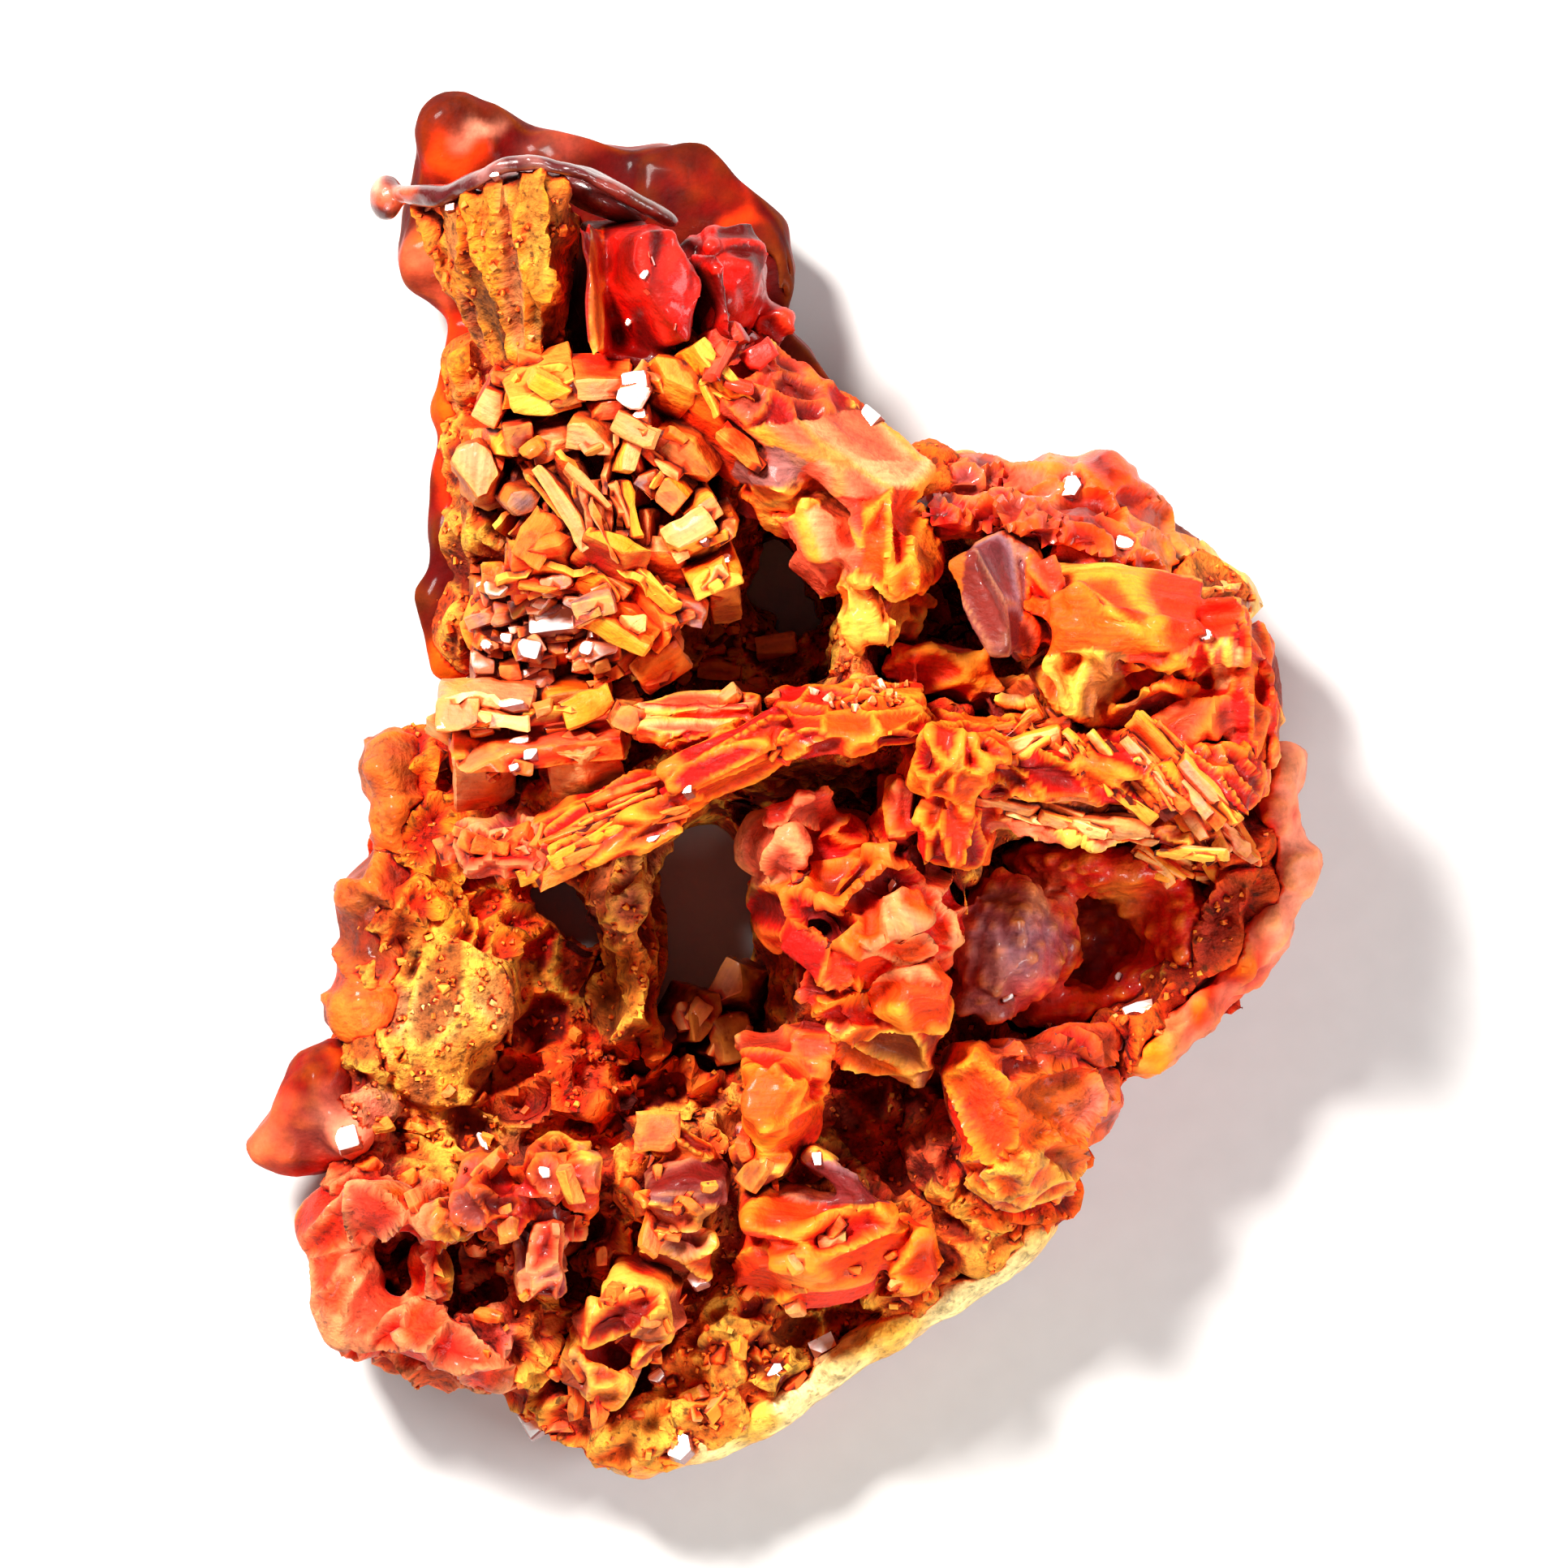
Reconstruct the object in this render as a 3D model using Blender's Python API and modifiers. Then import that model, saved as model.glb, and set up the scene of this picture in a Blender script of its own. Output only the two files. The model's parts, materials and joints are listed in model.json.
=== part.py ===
"""Vanadinite on matrix: a miniature specimen lying on its back.

The frame is in metres with +Z up.  The specimen's top points along +Y, its face looks along +Z, and
it rests on a flat facet ground by nature on the back of the ochre matrix.  Every length below is in
millimetres; the finished meshes are scaled to metres once, at the end.
"""
import math

import bmesh
import bpy
from mathutils import Matrix, Vector, noise
from mathutils.bvhtree import BVHTree

# ---- driving dimensions, in millimetres -------------------------------------------------------
MM = 0.001
GAP = 0.3               # clearance between neighbouring solids
REST_CUT = 0.9          # height at which the back is flat
FOOT_FLOOR = 0.0        # underside of the matrix before it is cut flat
FOOT_INSET = 1.9        # how far the foot stands in from the edge of the matrix
SHEET_FLOOR = 1.6       # underside of the matrix sheet at its edge
SHEET_TOP = 4.8         # general top of the matrix sheet
STONE_GRAIN = 0.55      # voxel of the matrix
LOBE_GRAIN = 0.42       # voxel of the smooth crusts
BLADE_TILT = 26         # usual lean of a plate in degrees
STONE_TRIANGLES = 9000  # skin of the matrix before the sockets are cut
SOCKET_GRAIN = 0.4      # voxel of the matrix once its sockets are cut
LOBE_TRIANGLES = 220
SOCKET_GAP = 0.45       # clearance of the sockets before the matrix is thinned
BLADE_SHARES = (0.62, 0.66, 0.7, 0.78, 0.86)    # share of its triangles that a group keeps
MATRIX_COUNTS = (2900, 2860, 2820)   # triangles to try for the matrix

PART_NAME = "vanadinite_on_matrix"

FINISHES = {
    "matrix_ochre": ((0.56, 0.33, 0.10), 0.85),
    "vanadinite_red": ((0.47, 0.035, 0.012), 0.30),
    "vanadinite_orange": ((0.74, 0.22, 0.03), 0.38),
    "vanadinite_tan": ((0.66, 0.36, 0.17), 0.42),
    "vanadinite_violet": ((0.30, 0.13, 0.12), 0.22),
    "vanadinite_pink": ((0.72, 0.26, 0.16), 0.30),
    "crust_cream": ((0.83, 0.62, 0.28), 0.50),
}


# ---- scene, collections and materials ---------------------------------------------------------
def clear_scene():
    for thing in list(bpy.data.objects):
        bpy.data.objects.remove(thing, do_unlink=True)


def new_collection(name):
    group = bpy.data.collections.new(name)
    bpy.context.scene.collection.children.link(group)
    return group


def finish_material(name):
    known = bpy.data.materials.get(name)
    if known:
        return known
    colour, roughness = FINISHES[name]
    made = bpy.data.materials.new(name)
    made.use_nodes = True
    shader = made.node_tree.nodes["Principled BSDF"]
    shader.inputs["Base Color"].default_value = (*colour, 1.0)
    shader.inputs["Roughness"].default_value = roughness
    shader.inputs["Metallic"].default_value = 0.0
    return made


# ---- small mesh tools -------------------------------------------------------------------------
def mesh_object(shape, name="piece"):
    """Turn a bmesh into an object of the scene and free the bmesh."""
    bmesh.ops.recalc_face_normals(shape, faces=shape.faces)
    mesh = bpy.data.meshes.new(name)
    shape.to_mesh(mesh)
    shape.free()
    made = bpy.data.objects.new(name, mesh)
    bpy.context.scene.collection.objects.link(made)
    return made


def applied(thing):
    """Replace an object by the mesh that its modifiers give."""
    seen = thing.evaluated_get(bpy.context.evaluated_depsgraph_get())
    mesh = bpy.data.meshes.new_from_object(seen)
    name = thing.name
    place = thing.matrix_world.copy()
    bpy.data.objects.remove(thing, do_unlink=True)
    mesh.transform(place)
    made = bpy.data.objects.new(name, mesh)
    bpy.context.scene.collection.objects.link(made)
    return made


def joined(things):
    """Join closed meshes in one object without merging them."""
    shape = bmesh.new()
    for thing in things:
        shape.from_mesh(thing.data)
        bpy.data.objects.remove(thing, do_unlink=True)
    mesh = bpy.data.meshes.new("joined")
    shape.to_mesh(mesh)
    shape.free()
    made = bpy.data.objects.new("joined", mesh)
    bpy.context.scene.collection.objects.link(made)
    return made


def boolean(body, tool, operation):
    """Apply one Boolean of a closed tool on a closed body and remove the tool."""
    change = body.modifiers.new("boolean", "BOOLEAN")
    change.operation = operation
    change.solver = "EXACT"
    change.object = tool
    bpy.context.view_layer.update()
    result = applied(body)
    bpy.data.objects.remove(tool, do_unlink=True)
    return result


def fused(things):
    """Union closed solids one after the other into a single skin."""
    body = things[0]
    for thing in things[1:]:
        body = boolean(body, thing, "UNION")
    return body


def remeshed(body, grain):
    """Melt overlapping shells into one skin on a voxel grid."""
    melt = body.modifiers.new("melt", "REMESH")
    melt.mode = "VOXEL"
    melt.voxel_size = grain
    return applied(body)


def triangle_count(body):
    return sum(len(face.vertices) - 2 for face in body.data.polygons)


def thinned(body, triangles):
    """Cut a dense skin down to about the given number of triangles."""
    thin = body.modifiers.new("thin", "DECIMATE")
    thin.ratio = min(1.0, triangles / triangle_count(body))
    thin.use_collapse_triangulate = True
    return applied(body)


def touching(first, second):
    """True where the skins of two bodies run through each other."""
    trees = []
    for body in (first, second):
        shape = bmesh.new()
        shape.from_mesh(body.data)
        trees.append(BVHTree.FromBMesh(shape))
        shape.free()
    return bool(trees[0].overlap(trees[1]))


def crossings(body):
    """Count the pairs of faces that share no corner and run through each other."""
    shape = bmesh.new()
    shape.from_mesh(body.data)
    bmesh.ops.triangulate(shape, faces=shape.faces)
    shape.faces.ensure_lookup_table()
    tree = BVHTree.FromBMesh(shape)
    corners = [set(face.verts) for face in shape.faces]
    count = sum(corners[a].isdisjoint(corners[b]) for a, b in tree.overlap(tree) if a < b)
    shape.free()
    return count


def thinned_cleanly(body, counts):
    """Thin to the first of the triangle counts that leaves no face running through another."""
    for count in counts:
        trial = body.copy()
        trial.data = body.data.copy()
        bpy.context.scene.collection.objects.link(trial)
        trial = thinned(trial, count)
        if crossings(trial) == 0:
            bpy.data.objects.remove(body, do_unlink=True)
            return trial
        bpy.data.objects.remove(trial, do_unlink=True)
    return body


def roughened(body, depth, scale, seed):
    """Push a skin in and out along its normals by seeded noise."""
    mesh = body.data
    offset = Vector((seed * 3.7, seed * 1.9, seed * 5.3))
    pushes = [noise.noise(v.co / scale + offset) * depth for v in mesh.vertices]
    for vertex, normal, push in zip(mesh.vertices, list(mesh.vertex_normals), pushes):
        vertex.co += normal.vector * push
    return body


def softened(body):
    """Take the steps of the voxel grid off a skin."""
    shape = bmesh.new()
    shape.from_mesh(body.data)
    bmesh.ops.smooth_vert(shape, verts=shape.verts, factor=0.5, use_axis_x=True, use_axis_y=True,
                          use_axis_z=True)
    shape.to_mesh(body.data)
    shape.free()
    return body


def main_island(body):
    """Keep the largest connected piece of a mesh."""
    shape = bmesh.new()
    shape.from_mesh(body.data)
    bmesh.ops.remove_doubles(shape, verts=shape.verts, dist=0.0005)
    unseen = set(shape.verts)
    islands = []
    while unseen:
        stack = [next(iter(unseen))]
        unseen.discard(stack[0])
        island = []
        while stack:
            vertex = stack.pop()
            island.append(vertex)
            for edge in vertex.link_edges:
                other = edge.other_vert(vertex)
                if other in unseen:
                    unseen.discard(other)
                    stack.append(other)
        islands.append(island)
    islands.sort(key=len)
    crumbs = [vertex for island in islands[:-1] for vertex in island]
    bmesh.ops.delete(shape, geom=crumbs, context="VERTS")
    shape.to_mesh(body.data)
    shape.free()
    return body


# ---- primitives that the specimen is grown from -------------------------------------------------
def placed(shape, place, turn):
    """Move a bmesh to its place; turn is (along, pitch, roll) in degrees."""
    along, pitch, roll = (math.radians(angle) for angle in turn)
    spin = Matrix.Rotation(along, 4, "Z") @ Matrix.Rotation(-pitch, 4, "Y") @ Matrix.Rotation(roll, 4, "X")
    bmesh.ops.transform(shape, matrix=Matrix.Translation(place) @ spin, verts=shape.verts)


def block(place, size, turn, grow=0.0, taper=0.0):
    """A crystal block: length, width and thickness, its top face smaller by the taper."""
    shape = bmesh.new()
    bmesh.ops.create_cube(shape, size=1.0)
    for vertex in shape.verts:
        narrowing = 1.0 - taper if vertex.co.z > 0 else 1.0
        vertex.co.x *= (size[0] + 2 * grow) * narrowing
        vertex.co.y *= (size[1] + 2 * grow) * narrowing
        vertex.co.z *= size[2] + 2 * grow
    placed(shape, place, turn)
    return mesh_object(shape)


def plate(place, size, turn, grow=0.0, sides=6, taper=0.12):
    """A tabular crystal: a flat prism with six sides, stretched to length, width and thickness."""
    shape = bmesh.new()
    bmesh.ops.create_cone(shape, cap_ends=True, segments=sides, radius1=0.5,
                          radius2=0.5 * (1.0 - taper), depth=1.0)
    for vertex in shape.verts:
        vertex.co.x *= size[0] + 2 * grow
        vertex.co.y *= size[1] * 1.12 + 2 * grow
        vertex.co.z *= size[2] + 2 * grow
    placed(shape, place, turn)
    return mesh_object(shape)


def lump(place, size, turn=(0, 0, 0), grow=0.0):
    """A rounded lobe: length, width and thickness."""
    shape = bmesh.new()
    bmesh.ops.create_icosphere(shape, subdivisions=2, radius=0.5)
    for vertex in shape.verts:
        vertex.co.x *= size[0] + 2 * grow
        vertex.co.y *= size[1] + 2 * grow
        vertex.co.z *= size[2] + 2 * grow
    placed(shape, place, turn)
    return mesh_object(shape)


def ridge(points, width, height, grow=0.0):
    """A row of lobes along a path, each with the path's own height z."""
    lobes = []
    for (x0, y0, z0), (x1, y1, z1) in zip(points, points[1:]):
        span = math.hypot(x1 - x0, y1 - y0)
        heading = math.degrees(math.atan2(y1 - y0, x1 - x0))
        rise = math.degrees(math.atan2(z1 - z0, span))
        middle = ((x0 + x1) / 2, (y0 + y1) / 2, (z0 + z1) / 2)
        lobes.append(lump(middle, (span * 1.45, width, height), (heading, rise, 0), grow))
    return lobes


def sheet(outline, bottom, top, grow=0.0, edge=0.0, inset=0.0):
    """A flat slab inside the given outline, its rim rounded by the edge radius."""
    curve = bpy.data.curves.new("sheet", "CURVE")
    curve.dimensions = "2D"
    curve.fill_mode = "BOTH"
    curve.extrude = max((top - bottom) / 2 + grow - edge, 0.05)
    curve.bevel_depth = edge
    curve.bevel_resolution = 1
    curve.offset = grow - edge - inset
    line = curve.splines.new("POLY")
    line.points.add(len(outline) - 1)
    for point, (x, y) in zip(line.points, outline):
        point.co = (x, y, 0.0, 1.0)
    line.use_cyclic_u = True
    made = bpy.data.objects.new("sheet", curve)
    made.location.z = (top + bottom) / 2
    bpy.context.scene.collection.objects.link(made)
    bpy.context.view_layer.update()
    body = applied(made)
    shape = bmesh.new()
    shape.from_mesh(body.data)
    bmesh.ops.remove_doubles(shape, verts=shape.verts, dist=0.0001)
    bmesh.ops.recalc_face_normals(shape, faces=shape.faces)
    shape.to_mesh(body.data)
    shape.free()
    return body


def crust(pieces, triangles=LOBE_TRIANGLES, depth=0.25, seed=1, grain=LOBE_GRAIN):
    """Melt lobes into one smooth crust with a light swell."""
    body = remeshed(joined(pieces), grain)
    body = roughened(body, depth, 1.6, seed)
    return thinned(main_island(body), triangles)


# ---- outlines, seen from the front, in millimetres ---------------------------------------------
MATRIX_OUTLINE = [
    (-9.9, 16.8), (-8.6, 18.2), (-5.0, 18.4), (-2.4, 17.4), (-1.0, 15.4), (-0.6, 13.2), (1.6, 10.6),
    (4.0, 9.2), (8.8, 8.8), (11.4, 7.6), (14.2, 4.6), (14.8, 1.2), (14.6, -1.5), (14.2, -4.0),
    (12.6, -7.2), (9.8, -9.4), (9.0, -11.4), (8.4, -13.6), (6.9, -15.3), (3.0, -17.6),
    (0.5, -19.2), (-3.0, -20.9), (-5.6, -21.2), (-8.0, -19.6), (-11.2, -18.1), (-13.6, -16.8),
    (-13.9, -14.6), (-13.4, -12.2), (-13.4, -9.0), (-12.8, -5.0), (-11.6, -1.0), (-10.4, 2.4),
    (-10.2, 6.0), (-9.7, 10.5), (-9.4, 13.5),
]
BACK_SHEET_OUTLINE = [
    (-9.4, 13.0), (-10.4, 14.7), (-11.6, 15.4), (-12.2, 16.4), (-11.9, 17.6), (-11.4, 19.5),
    (-10.8, 21.2), (-10.3, 21.7), (-9.6, 21.3), (-8.9, 21.2), (-7.8, 20.3), (-6.9, 20.6),
    (-5.9, 20.1), (-4.9, 19.8), (-3.8, 20.1), (-2.2, 19.5), (-0.8, 18.5), (0.1, 17.5), (0.3, 16.4),
    (0.1, 14.2), (0.9, 13.7), (1.5, 12.3), (2.9, 11.4), (3.4, 10.0), (2.0, 9.6), (-0.6, 11.2),
    (-2.2, 13.0), (-5.5, 13.4),
]
SPUR_OUTLINE = [(-14.0, -8.0), (-15.0, -8.6), (-16.0, -10.0), (-16.9, -11.2), (-16.6, -11.9),
                (-15.8, -12.3), (-14.2, -12.2), (-13.2, -11.6), (-13.2, -9.0)]
CENTRAL_HOLE = [(-4.4, -2.1), (-1.2, -0.6), (-0.9, -3.0), (-0.6, -5.6), (-1.6, -7.4), (-3.6, -7.6),
                (-4.2, -6.4), (-4.1, -4.4)]
UPPER_HOLE = [(-1.0, 7.9), (0.3, 7.9), (0.8, 6.4), (2.0, 4.6), (0.0, 4.1), (-1.2, 5.1)]
SLOT_HOLE = [(-4.4, 3.2), (-1.2, 3.4), (0.6, 3.3), (0.4, 2.6), (-2.2, 2.5), (-4.3, 2.6)]
SMALL_HOLES = [(-8.7, -8.9, 0.75), (-7.2, -3.8, 1.25), (-6.0, -4.8, 0.8), (-5.9, -8.7, 0.6),
               (-9.0, -14.6, 0.42), (-1.8, -14.0, 0.5), (-2.7, -16.0, 0.5), (-4.5, -18.9, 0.45),
               (2.6, -12.1, 0.45), (-2.0, -9.6, 0.6)]


# ---- the matrix ----------------------------------------------------------------------------------
def matrix_mass():
    """The ochre stone: a sheet with swells that carry the crystal groups."""
    swells = [
        lump((-8.3, 16.2, 7.0), (4.0, 6.4, 11.5)),
        lump((-4.4, 15.0, 5.0), (6.4, 5.6, 7.0)),
        lump((-7.0, 9.6, 5.5), (7.6, 6.6, 10.5)),
        lump((-3.2, 9.4, 6.0), (5.0, 6.4, 11.0)),
        lump((-7.0, 4.6, 5.5), (8.0, 5.4, 9.6)),
        lump((-7.2, 0.2, 5.2), (8.6, 4.8, 9.6)),
        lump((2.2, 9.0, 6.0), (5.2, 4.4, 12.0), (-35, 0, 0)),
        lump((3.0, 4.4, 6.0), (3.6, 4.4, 11.0)),
        lump((7.6, 7.0, 5.0), (7.6, 5.0, 10.0)),
        lump((11.2, 3.6, 6.0), (7.6, 6.2, 12.0)),
        lump((1.6, 1.4, 7.5), (10.6, 3.2, 11.6), (12, 0, 0)),
        lump((9.6, 0.6, 7.0), (12.0, 4.4, 13.0)),
        lump((3.0, -3.6, 6.6), (6.6, 8.6, 12.0)),
        lump((2.4, -6.6, 5.6), (5.0, 4.4, 9.4)),
        lump((-10.6, -7.4, 4.6), (5.4, 6.4, 8.6)),
        lump((-11.6, -3.4, 3.8), (4.0, 6.0, 6.6)),
        lump((-4.8, -3.6, 6.2), (2.6, 4.2, 7.6), (-60, 0, 0)),
        lump((-5.2, -7.4, 4.6), (2.4, 5.4, 6.6)),
        lump((-11.4, -14.6, 4.4), (6.6, 6.6, 7.4)),
        lump((-7.0, -13.4, 4.6), (4.6, 6.6, 7.8)),
        lump((-3.4, -12.4, 4.8), (4.8, 4.2, 8.4)),
        lump((-1.6, -18.0, 3.6), (6.2, 4.2, 5.6), (28, 0, 0)),
        lump((-5.8, -18.6, 3.6), (5.0, 4.6, 5.6)),
        lump((1.4, -14.0, 4.6), (5.6, 4.8, 8.4)),
        lump((7.2, -11.0, 5.0), (5.4, 7.0, 8.6)),
        lump((13.4, -4.0, 4.2), (3.2, 7.6, 7.6), (8, 0, 0)),
        lump((9.6, -8.0, 4.6), (6.4, 3.0, 8.0), (18, 0, 0)),
    ]
    foot = sheet(MATRIX_OUTLINE, FOOT_FLOOR, SHEET_TOP - 1.0, inset=FOOT_INSET)
    base = sheet(MATRIX_OUTLINE, SHEET_FLOOR, SHEET_TOP, edge=1.2)
    return remeshed(joined([base, foot] + swells), STONE_GRAIN)


def hollows():
    """Everything that is open in the matrix: through holes, pits and the deep pocket."""
    low = FOOT_FLOOR - 3.0
    high = 22.0
    shafts = [sheet(hole, low, high) for hole in (CENTRAL_HOLE, UPPER_HOLE, SLOT_HOLE)]
    for x, y, radius in SMALL_HOLES:
        shaft = bmesh.new()
        bmesh.ops.create_cone(shaft, cap_ends=True, segments=10, radius1=radius * 0.8,
                              radius2=radius * 1.25, depth=high - low)
        placed(shaft, (x, y, (low + high) / 2), (0, 0, 0))
        shafts.append(mesh_object(shaft))
    pits = [
        lump((-6.2, 15.2, 11.5), (1.5, 4.6, 10.0)),
        lump((5.6, 6.0, 11.4), (2.4, 3.6, 11.0), (20, 0, 0)),
        lump((4.6, 4.6, 11.0), (3.0, 1.4, 9.0)),
        lump((9.9, -4.4, 10.2), (8.2, 5.6, 11.8), (-8, 0, 0)),
        lump((7.2, -5.6, 9.2), (4.2, 4.0, 8.4)),
        lump((3.2, -10.0, 9.0), (3.6, 3.2, 9.4)),
        lump((1.4, -16.8, 6.6), (2.3, 2.0, 6.4)),
        lump((-7.4, -6.6, 7.6), (2.6, 3.0, 8.0)),
        lump((-7.0, -10.8, 7.4), (2.8, 1.6, 6.6), (25, 0, 0)),
        lump((-11.6, -15.4, 8.2), (2.6, 2.0, 6.0)),
        lump((-6.3, -15.2, 7.8), (0.9, 2.6, 5.6)),
        lump((-6.2, 8.0, 14.2), (4.2, 3.6, 8.0)),
        lump((1.0, -0.6, 12.6), (4.6, 1.7, 8.6), (16, 0, 0)),
        lump((-5.8, -0.4, 12.4), (4.4, 1.2, 6.0), (18, 0, 0)),
        lump((7.4, 4.0, 13.0), (4.0, 2.2, 8.0)),
    ]
    return shafts, pits


def matrix_body():
    body = matrix_mass()
    shafts, pits = hollows()
    for tool in shafts + pits:
        body = boolean(body, tool, "DIFFERENCE")
    body = remeshed(main_island(body), STONE_GRAIN)
    body = roughened(body, 0.75, 2.4, 11)
    body = roughened(body, 0.35, 0.9, 12)
    return thinned(main_island(body), STONE_TRIANGLES)


def socketed(matrix, groups):
    """Cut each group's socket in the matrix, thin it and grind its back flat."""
    for _, grow_group, _, _ in groups:
        matrix = boolean(matrix, grow_group(SOCKET_GAP), "DIFFERENCE")
    matrix = softened(remeshed(main_island(matrix), SOCKET_GRAIN))
    matrix = thinned_cleanly(main_island(matrix), MATRIX_COUNTS)
    for body, grow_group, _, _ in groups:
        if touching(matrix, body):
            matrix = boolean(matrix, grow_group(GAP), "DIFFERENCE")
    floor = block((0, 0, REST_CUT - 10), (90, 90, 20), (0, 0, 0))
    return main_island(boolean(matrix, floor, "DIFFERENCE"))


# ---- smooth crusts ---------------------------------------------------------------------------------
def back_sheet(grow):
    """The smooth deep red sheet behind the top, with its row of lobes down the left side."""
    pieces = [sheet(BACK_SHEET_OUTLINE, 2.4, 5.6, grow, 0.9)]
    pieces += [
        lump((-10.2, 20.0, 5.6), (2.8, 3.6, 4.4), (14, 0, 0), grow),
        lump((-11.0, 16.5, 5.4), (2.4, 2.6, 4.2), (0, 0, 0), grow),
        lump((-6.9, 19.2, 5.0), (2.4, 2.6, 4.0), (0, 0, 0), grow),
        lump((-2.9, 18.0, 5.2), (5.0, 3.8, 4.6), (-30, 0, 0), grow),
        lump((-0.9, 16.2, 5.2), (2.4, 4.0, 4.2), (0, 0, 0), grow),
        lump((2.5, 10.8, 5.6), (1.6, 2.4, 4.0), (35, 0, 0), grow),
    ]
    scallops = [(-10.1, 13.3, 1.7, 2.0), (-10.3, 11.8, 1.7, 2.4), (-10.3, 9.8, 1.6, 2.2),
                (-10.4, 7.7, 1.9, 2.6), (-10.6, 5.6, 2.0, 2.4), (-10.3, 4.0, 1.8, 2.0)]
    pieces += [lump((x, y, 5.2), (wide, tall, 4.2), (0, 0, 0), grow) for x, y, wide, tall in scallops]
    return crust(pieces, 560, 0.3, 3)


def horn_crest(grow):
    """The glossy dark ridge across the top, with its knob at the left end."""
    path = [(-11.9, 18.2, 9.4), (-10.3, 18.3, 10.4), (-9.2, 18.7, 11.6), (-8.0, 19.1, 12.4),
            (-6.8, 19.0, 12.6), (-5.6, 18.5, 12.4), (-4.4, 17.9, 11.8), (-3.2, 17.5, 10.8)]
    pieces = ridge(path, 1.1, 2.4, grow)
    pieces.append(lump((-12.2, 18.1, 9.2), (1.5, 1.7, 1.9), (0, 0, 0), grow))
    pieces.append(lump((-8.8, 18.3, 9.6), (4.0, 1.3, 3.6), (8, 0, 0), grow))
    return crust(pieces, 260, 0.15, 5)


def upper_right_crust(grow):
    """The deep red druse above the fins, with smooth lobes behind it."""
    pieces = [
        lump((5.5, 9.3, 6.2), (3.6, 2.2, 4.6), (0, 0, 0), grow),
        lump((8.3, 9.0, 6.8), (2.8, 2.4, 5.4), (10, 0, 0), grow),
        lump((9.9, 9.0, 7.0), (2.2, 2.8, 5.4), (0, 0, 0), grow),
        lump((11.0, 8.3, 6.4), (1.8, 2.8, 5.0), (15, 0, 0), grow),
        lump((12.2, 7.0, 6.2), (2.2, 1.9, 4.6), (-40, 0, 0), grow),
        lump((13.6, 5.9, 6.6), (2.8, 1.5, 4.4), (-30, 0, 0), grow),
        lump((5.0, 8.2, 11.4), (2.8, 1.3, 4.4), (-8, 0, 0), grow),
        lump((7.4, 7.9, 11.4), (3.6, 2.0, 4.6), (-20, 0, 0), grow),
        lump((9.0, 7.4, 10.6), (3.0, 2.2, 5.0), (-20, 0, 0), grow),
        lump((10.6, 7.0, 9.0), (3.0, 2.2, 5.0), (-20, 0, 0), grow),
    ]
    return crust(pieces, 420, 0.35, 6)


def right_lobes(grow):
    """The pink lobes outside the deep pocket."""
    pieces = [
        lump((15.3, 0.4, 6.0), (2.2, 1.9, 4.6), (0, 0, 0), grow),
        lump((15.2, -1.0, 6.2), (1.9, 1.8, 4.4), (0, 0, 0), grow),
        lump((15.7, -2.6, 5.8), (2.1, 2.0, 4.4), (0, 0, 0), grow),
        lump((15.1, -4.2, 5.8), (2.0, 2.2, 4.4), (15, 0, 0), grow),
        lump((14.0, -5.6, 5.8), (2.0, 2.0, 4.6), (35, 0, 0), grow),
        lump((12.8, -7.0, 6.0), (1.9, 1.9, 4.6), (35, 0, 0), grow),
        lump((11.4, -8.3, 6.6), (2.6, 1.7, 4.6), (32, 0, 0), grow),
    ]
    return crust(pieces, 320, 0.2, 7)


def pocket_lining(grow):
    """The crust inside the deep pocket, with its large dull crystal."""
    wall = [
        lump((9.2, -2.6, 4.8), (5.4, 1.9, 5.0), (-6, 0, 0), grow),
        lump((11.8, -3.6, 5.0), (3.0, 3.4, 4.2), (20, 0, 0), grow),
        lump((11.2, -6.2, 4.6), (3.6, 2.2, 3.6), (20, 0, 0), grow),
        lump((8.6, -7.0, 4.8), (4.0, 1.8, 3.6), (0, 0, 0), grow),
        lump((8.8, -4.9, 2.8), (5.4, 4.4, 2.4), (0, 0, 0), grow),
    ]
    lining = crust(wall, 260, 0.3, 8)
    stone = plate((6.9, -4.9, 7.7), (4.2, 3.7, 3.9), (72, 8, -21), grow, 6, 0.24)
    side = block((6.3, -6.2, 7.3), (2.6, 1.3, 3.4), (-10, 0, 24), grow, 0.2)
    return fused([lining, stone, side])


def lower_right_crust(grow):
    """The orange crust below the pocket, with the broad red stripe."""
    pieces = [
        lump((6.4, -9.8, 9.0), (3.0, 3.4, 4.8), (0, 0, 0), grow),
        lump((7.0, -11.6, 8.6), (3.2, 3.0, 4.6), (0, 0, 0), grow),
        lump((8.9, -9.8, 7.4), (3.0, 2.4, 5.0), (20, 0, 0), grow),
        lump((9.7, -9.9, 6.0), (1.9, 2.4, 4.4), (0, 0, 0), grow),
        lump((8.3, -11.8, 6.8), (1.9, 3.0, 4.6), (-15, 0, 0), grow),
        lump((6.4, -8.4, 9.4), (3.6, 1.2, 3.6), (8, 0, 0), grow),
        lump((9.0, -8.2, 8.2), (3.0, 1.3, 3.6), (15, 0, 0), grow),
    ]
    return crust(pieces, 330, 0.3, 9)


def cream_rim(grow):
    """The pale smooth rim along the lower right edge."""
    path = [(8.2, -13.0, 4.8), (7.4, -14.4, 4.8), (6.0, -15.4, 4.6), (4.4, -16.3, 4.4),
            (2.4, -17.6, 4.2), (0.6, -18.8, 4.2), (-1.4, -20.0, 4.0), (-3.4, -20.9, 4.0),
            (-5.2, -21.1, 4.0)]
    return crust(ridge(path, 1.5, 4.2, grow), 300, 0.15, 10)


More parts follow.
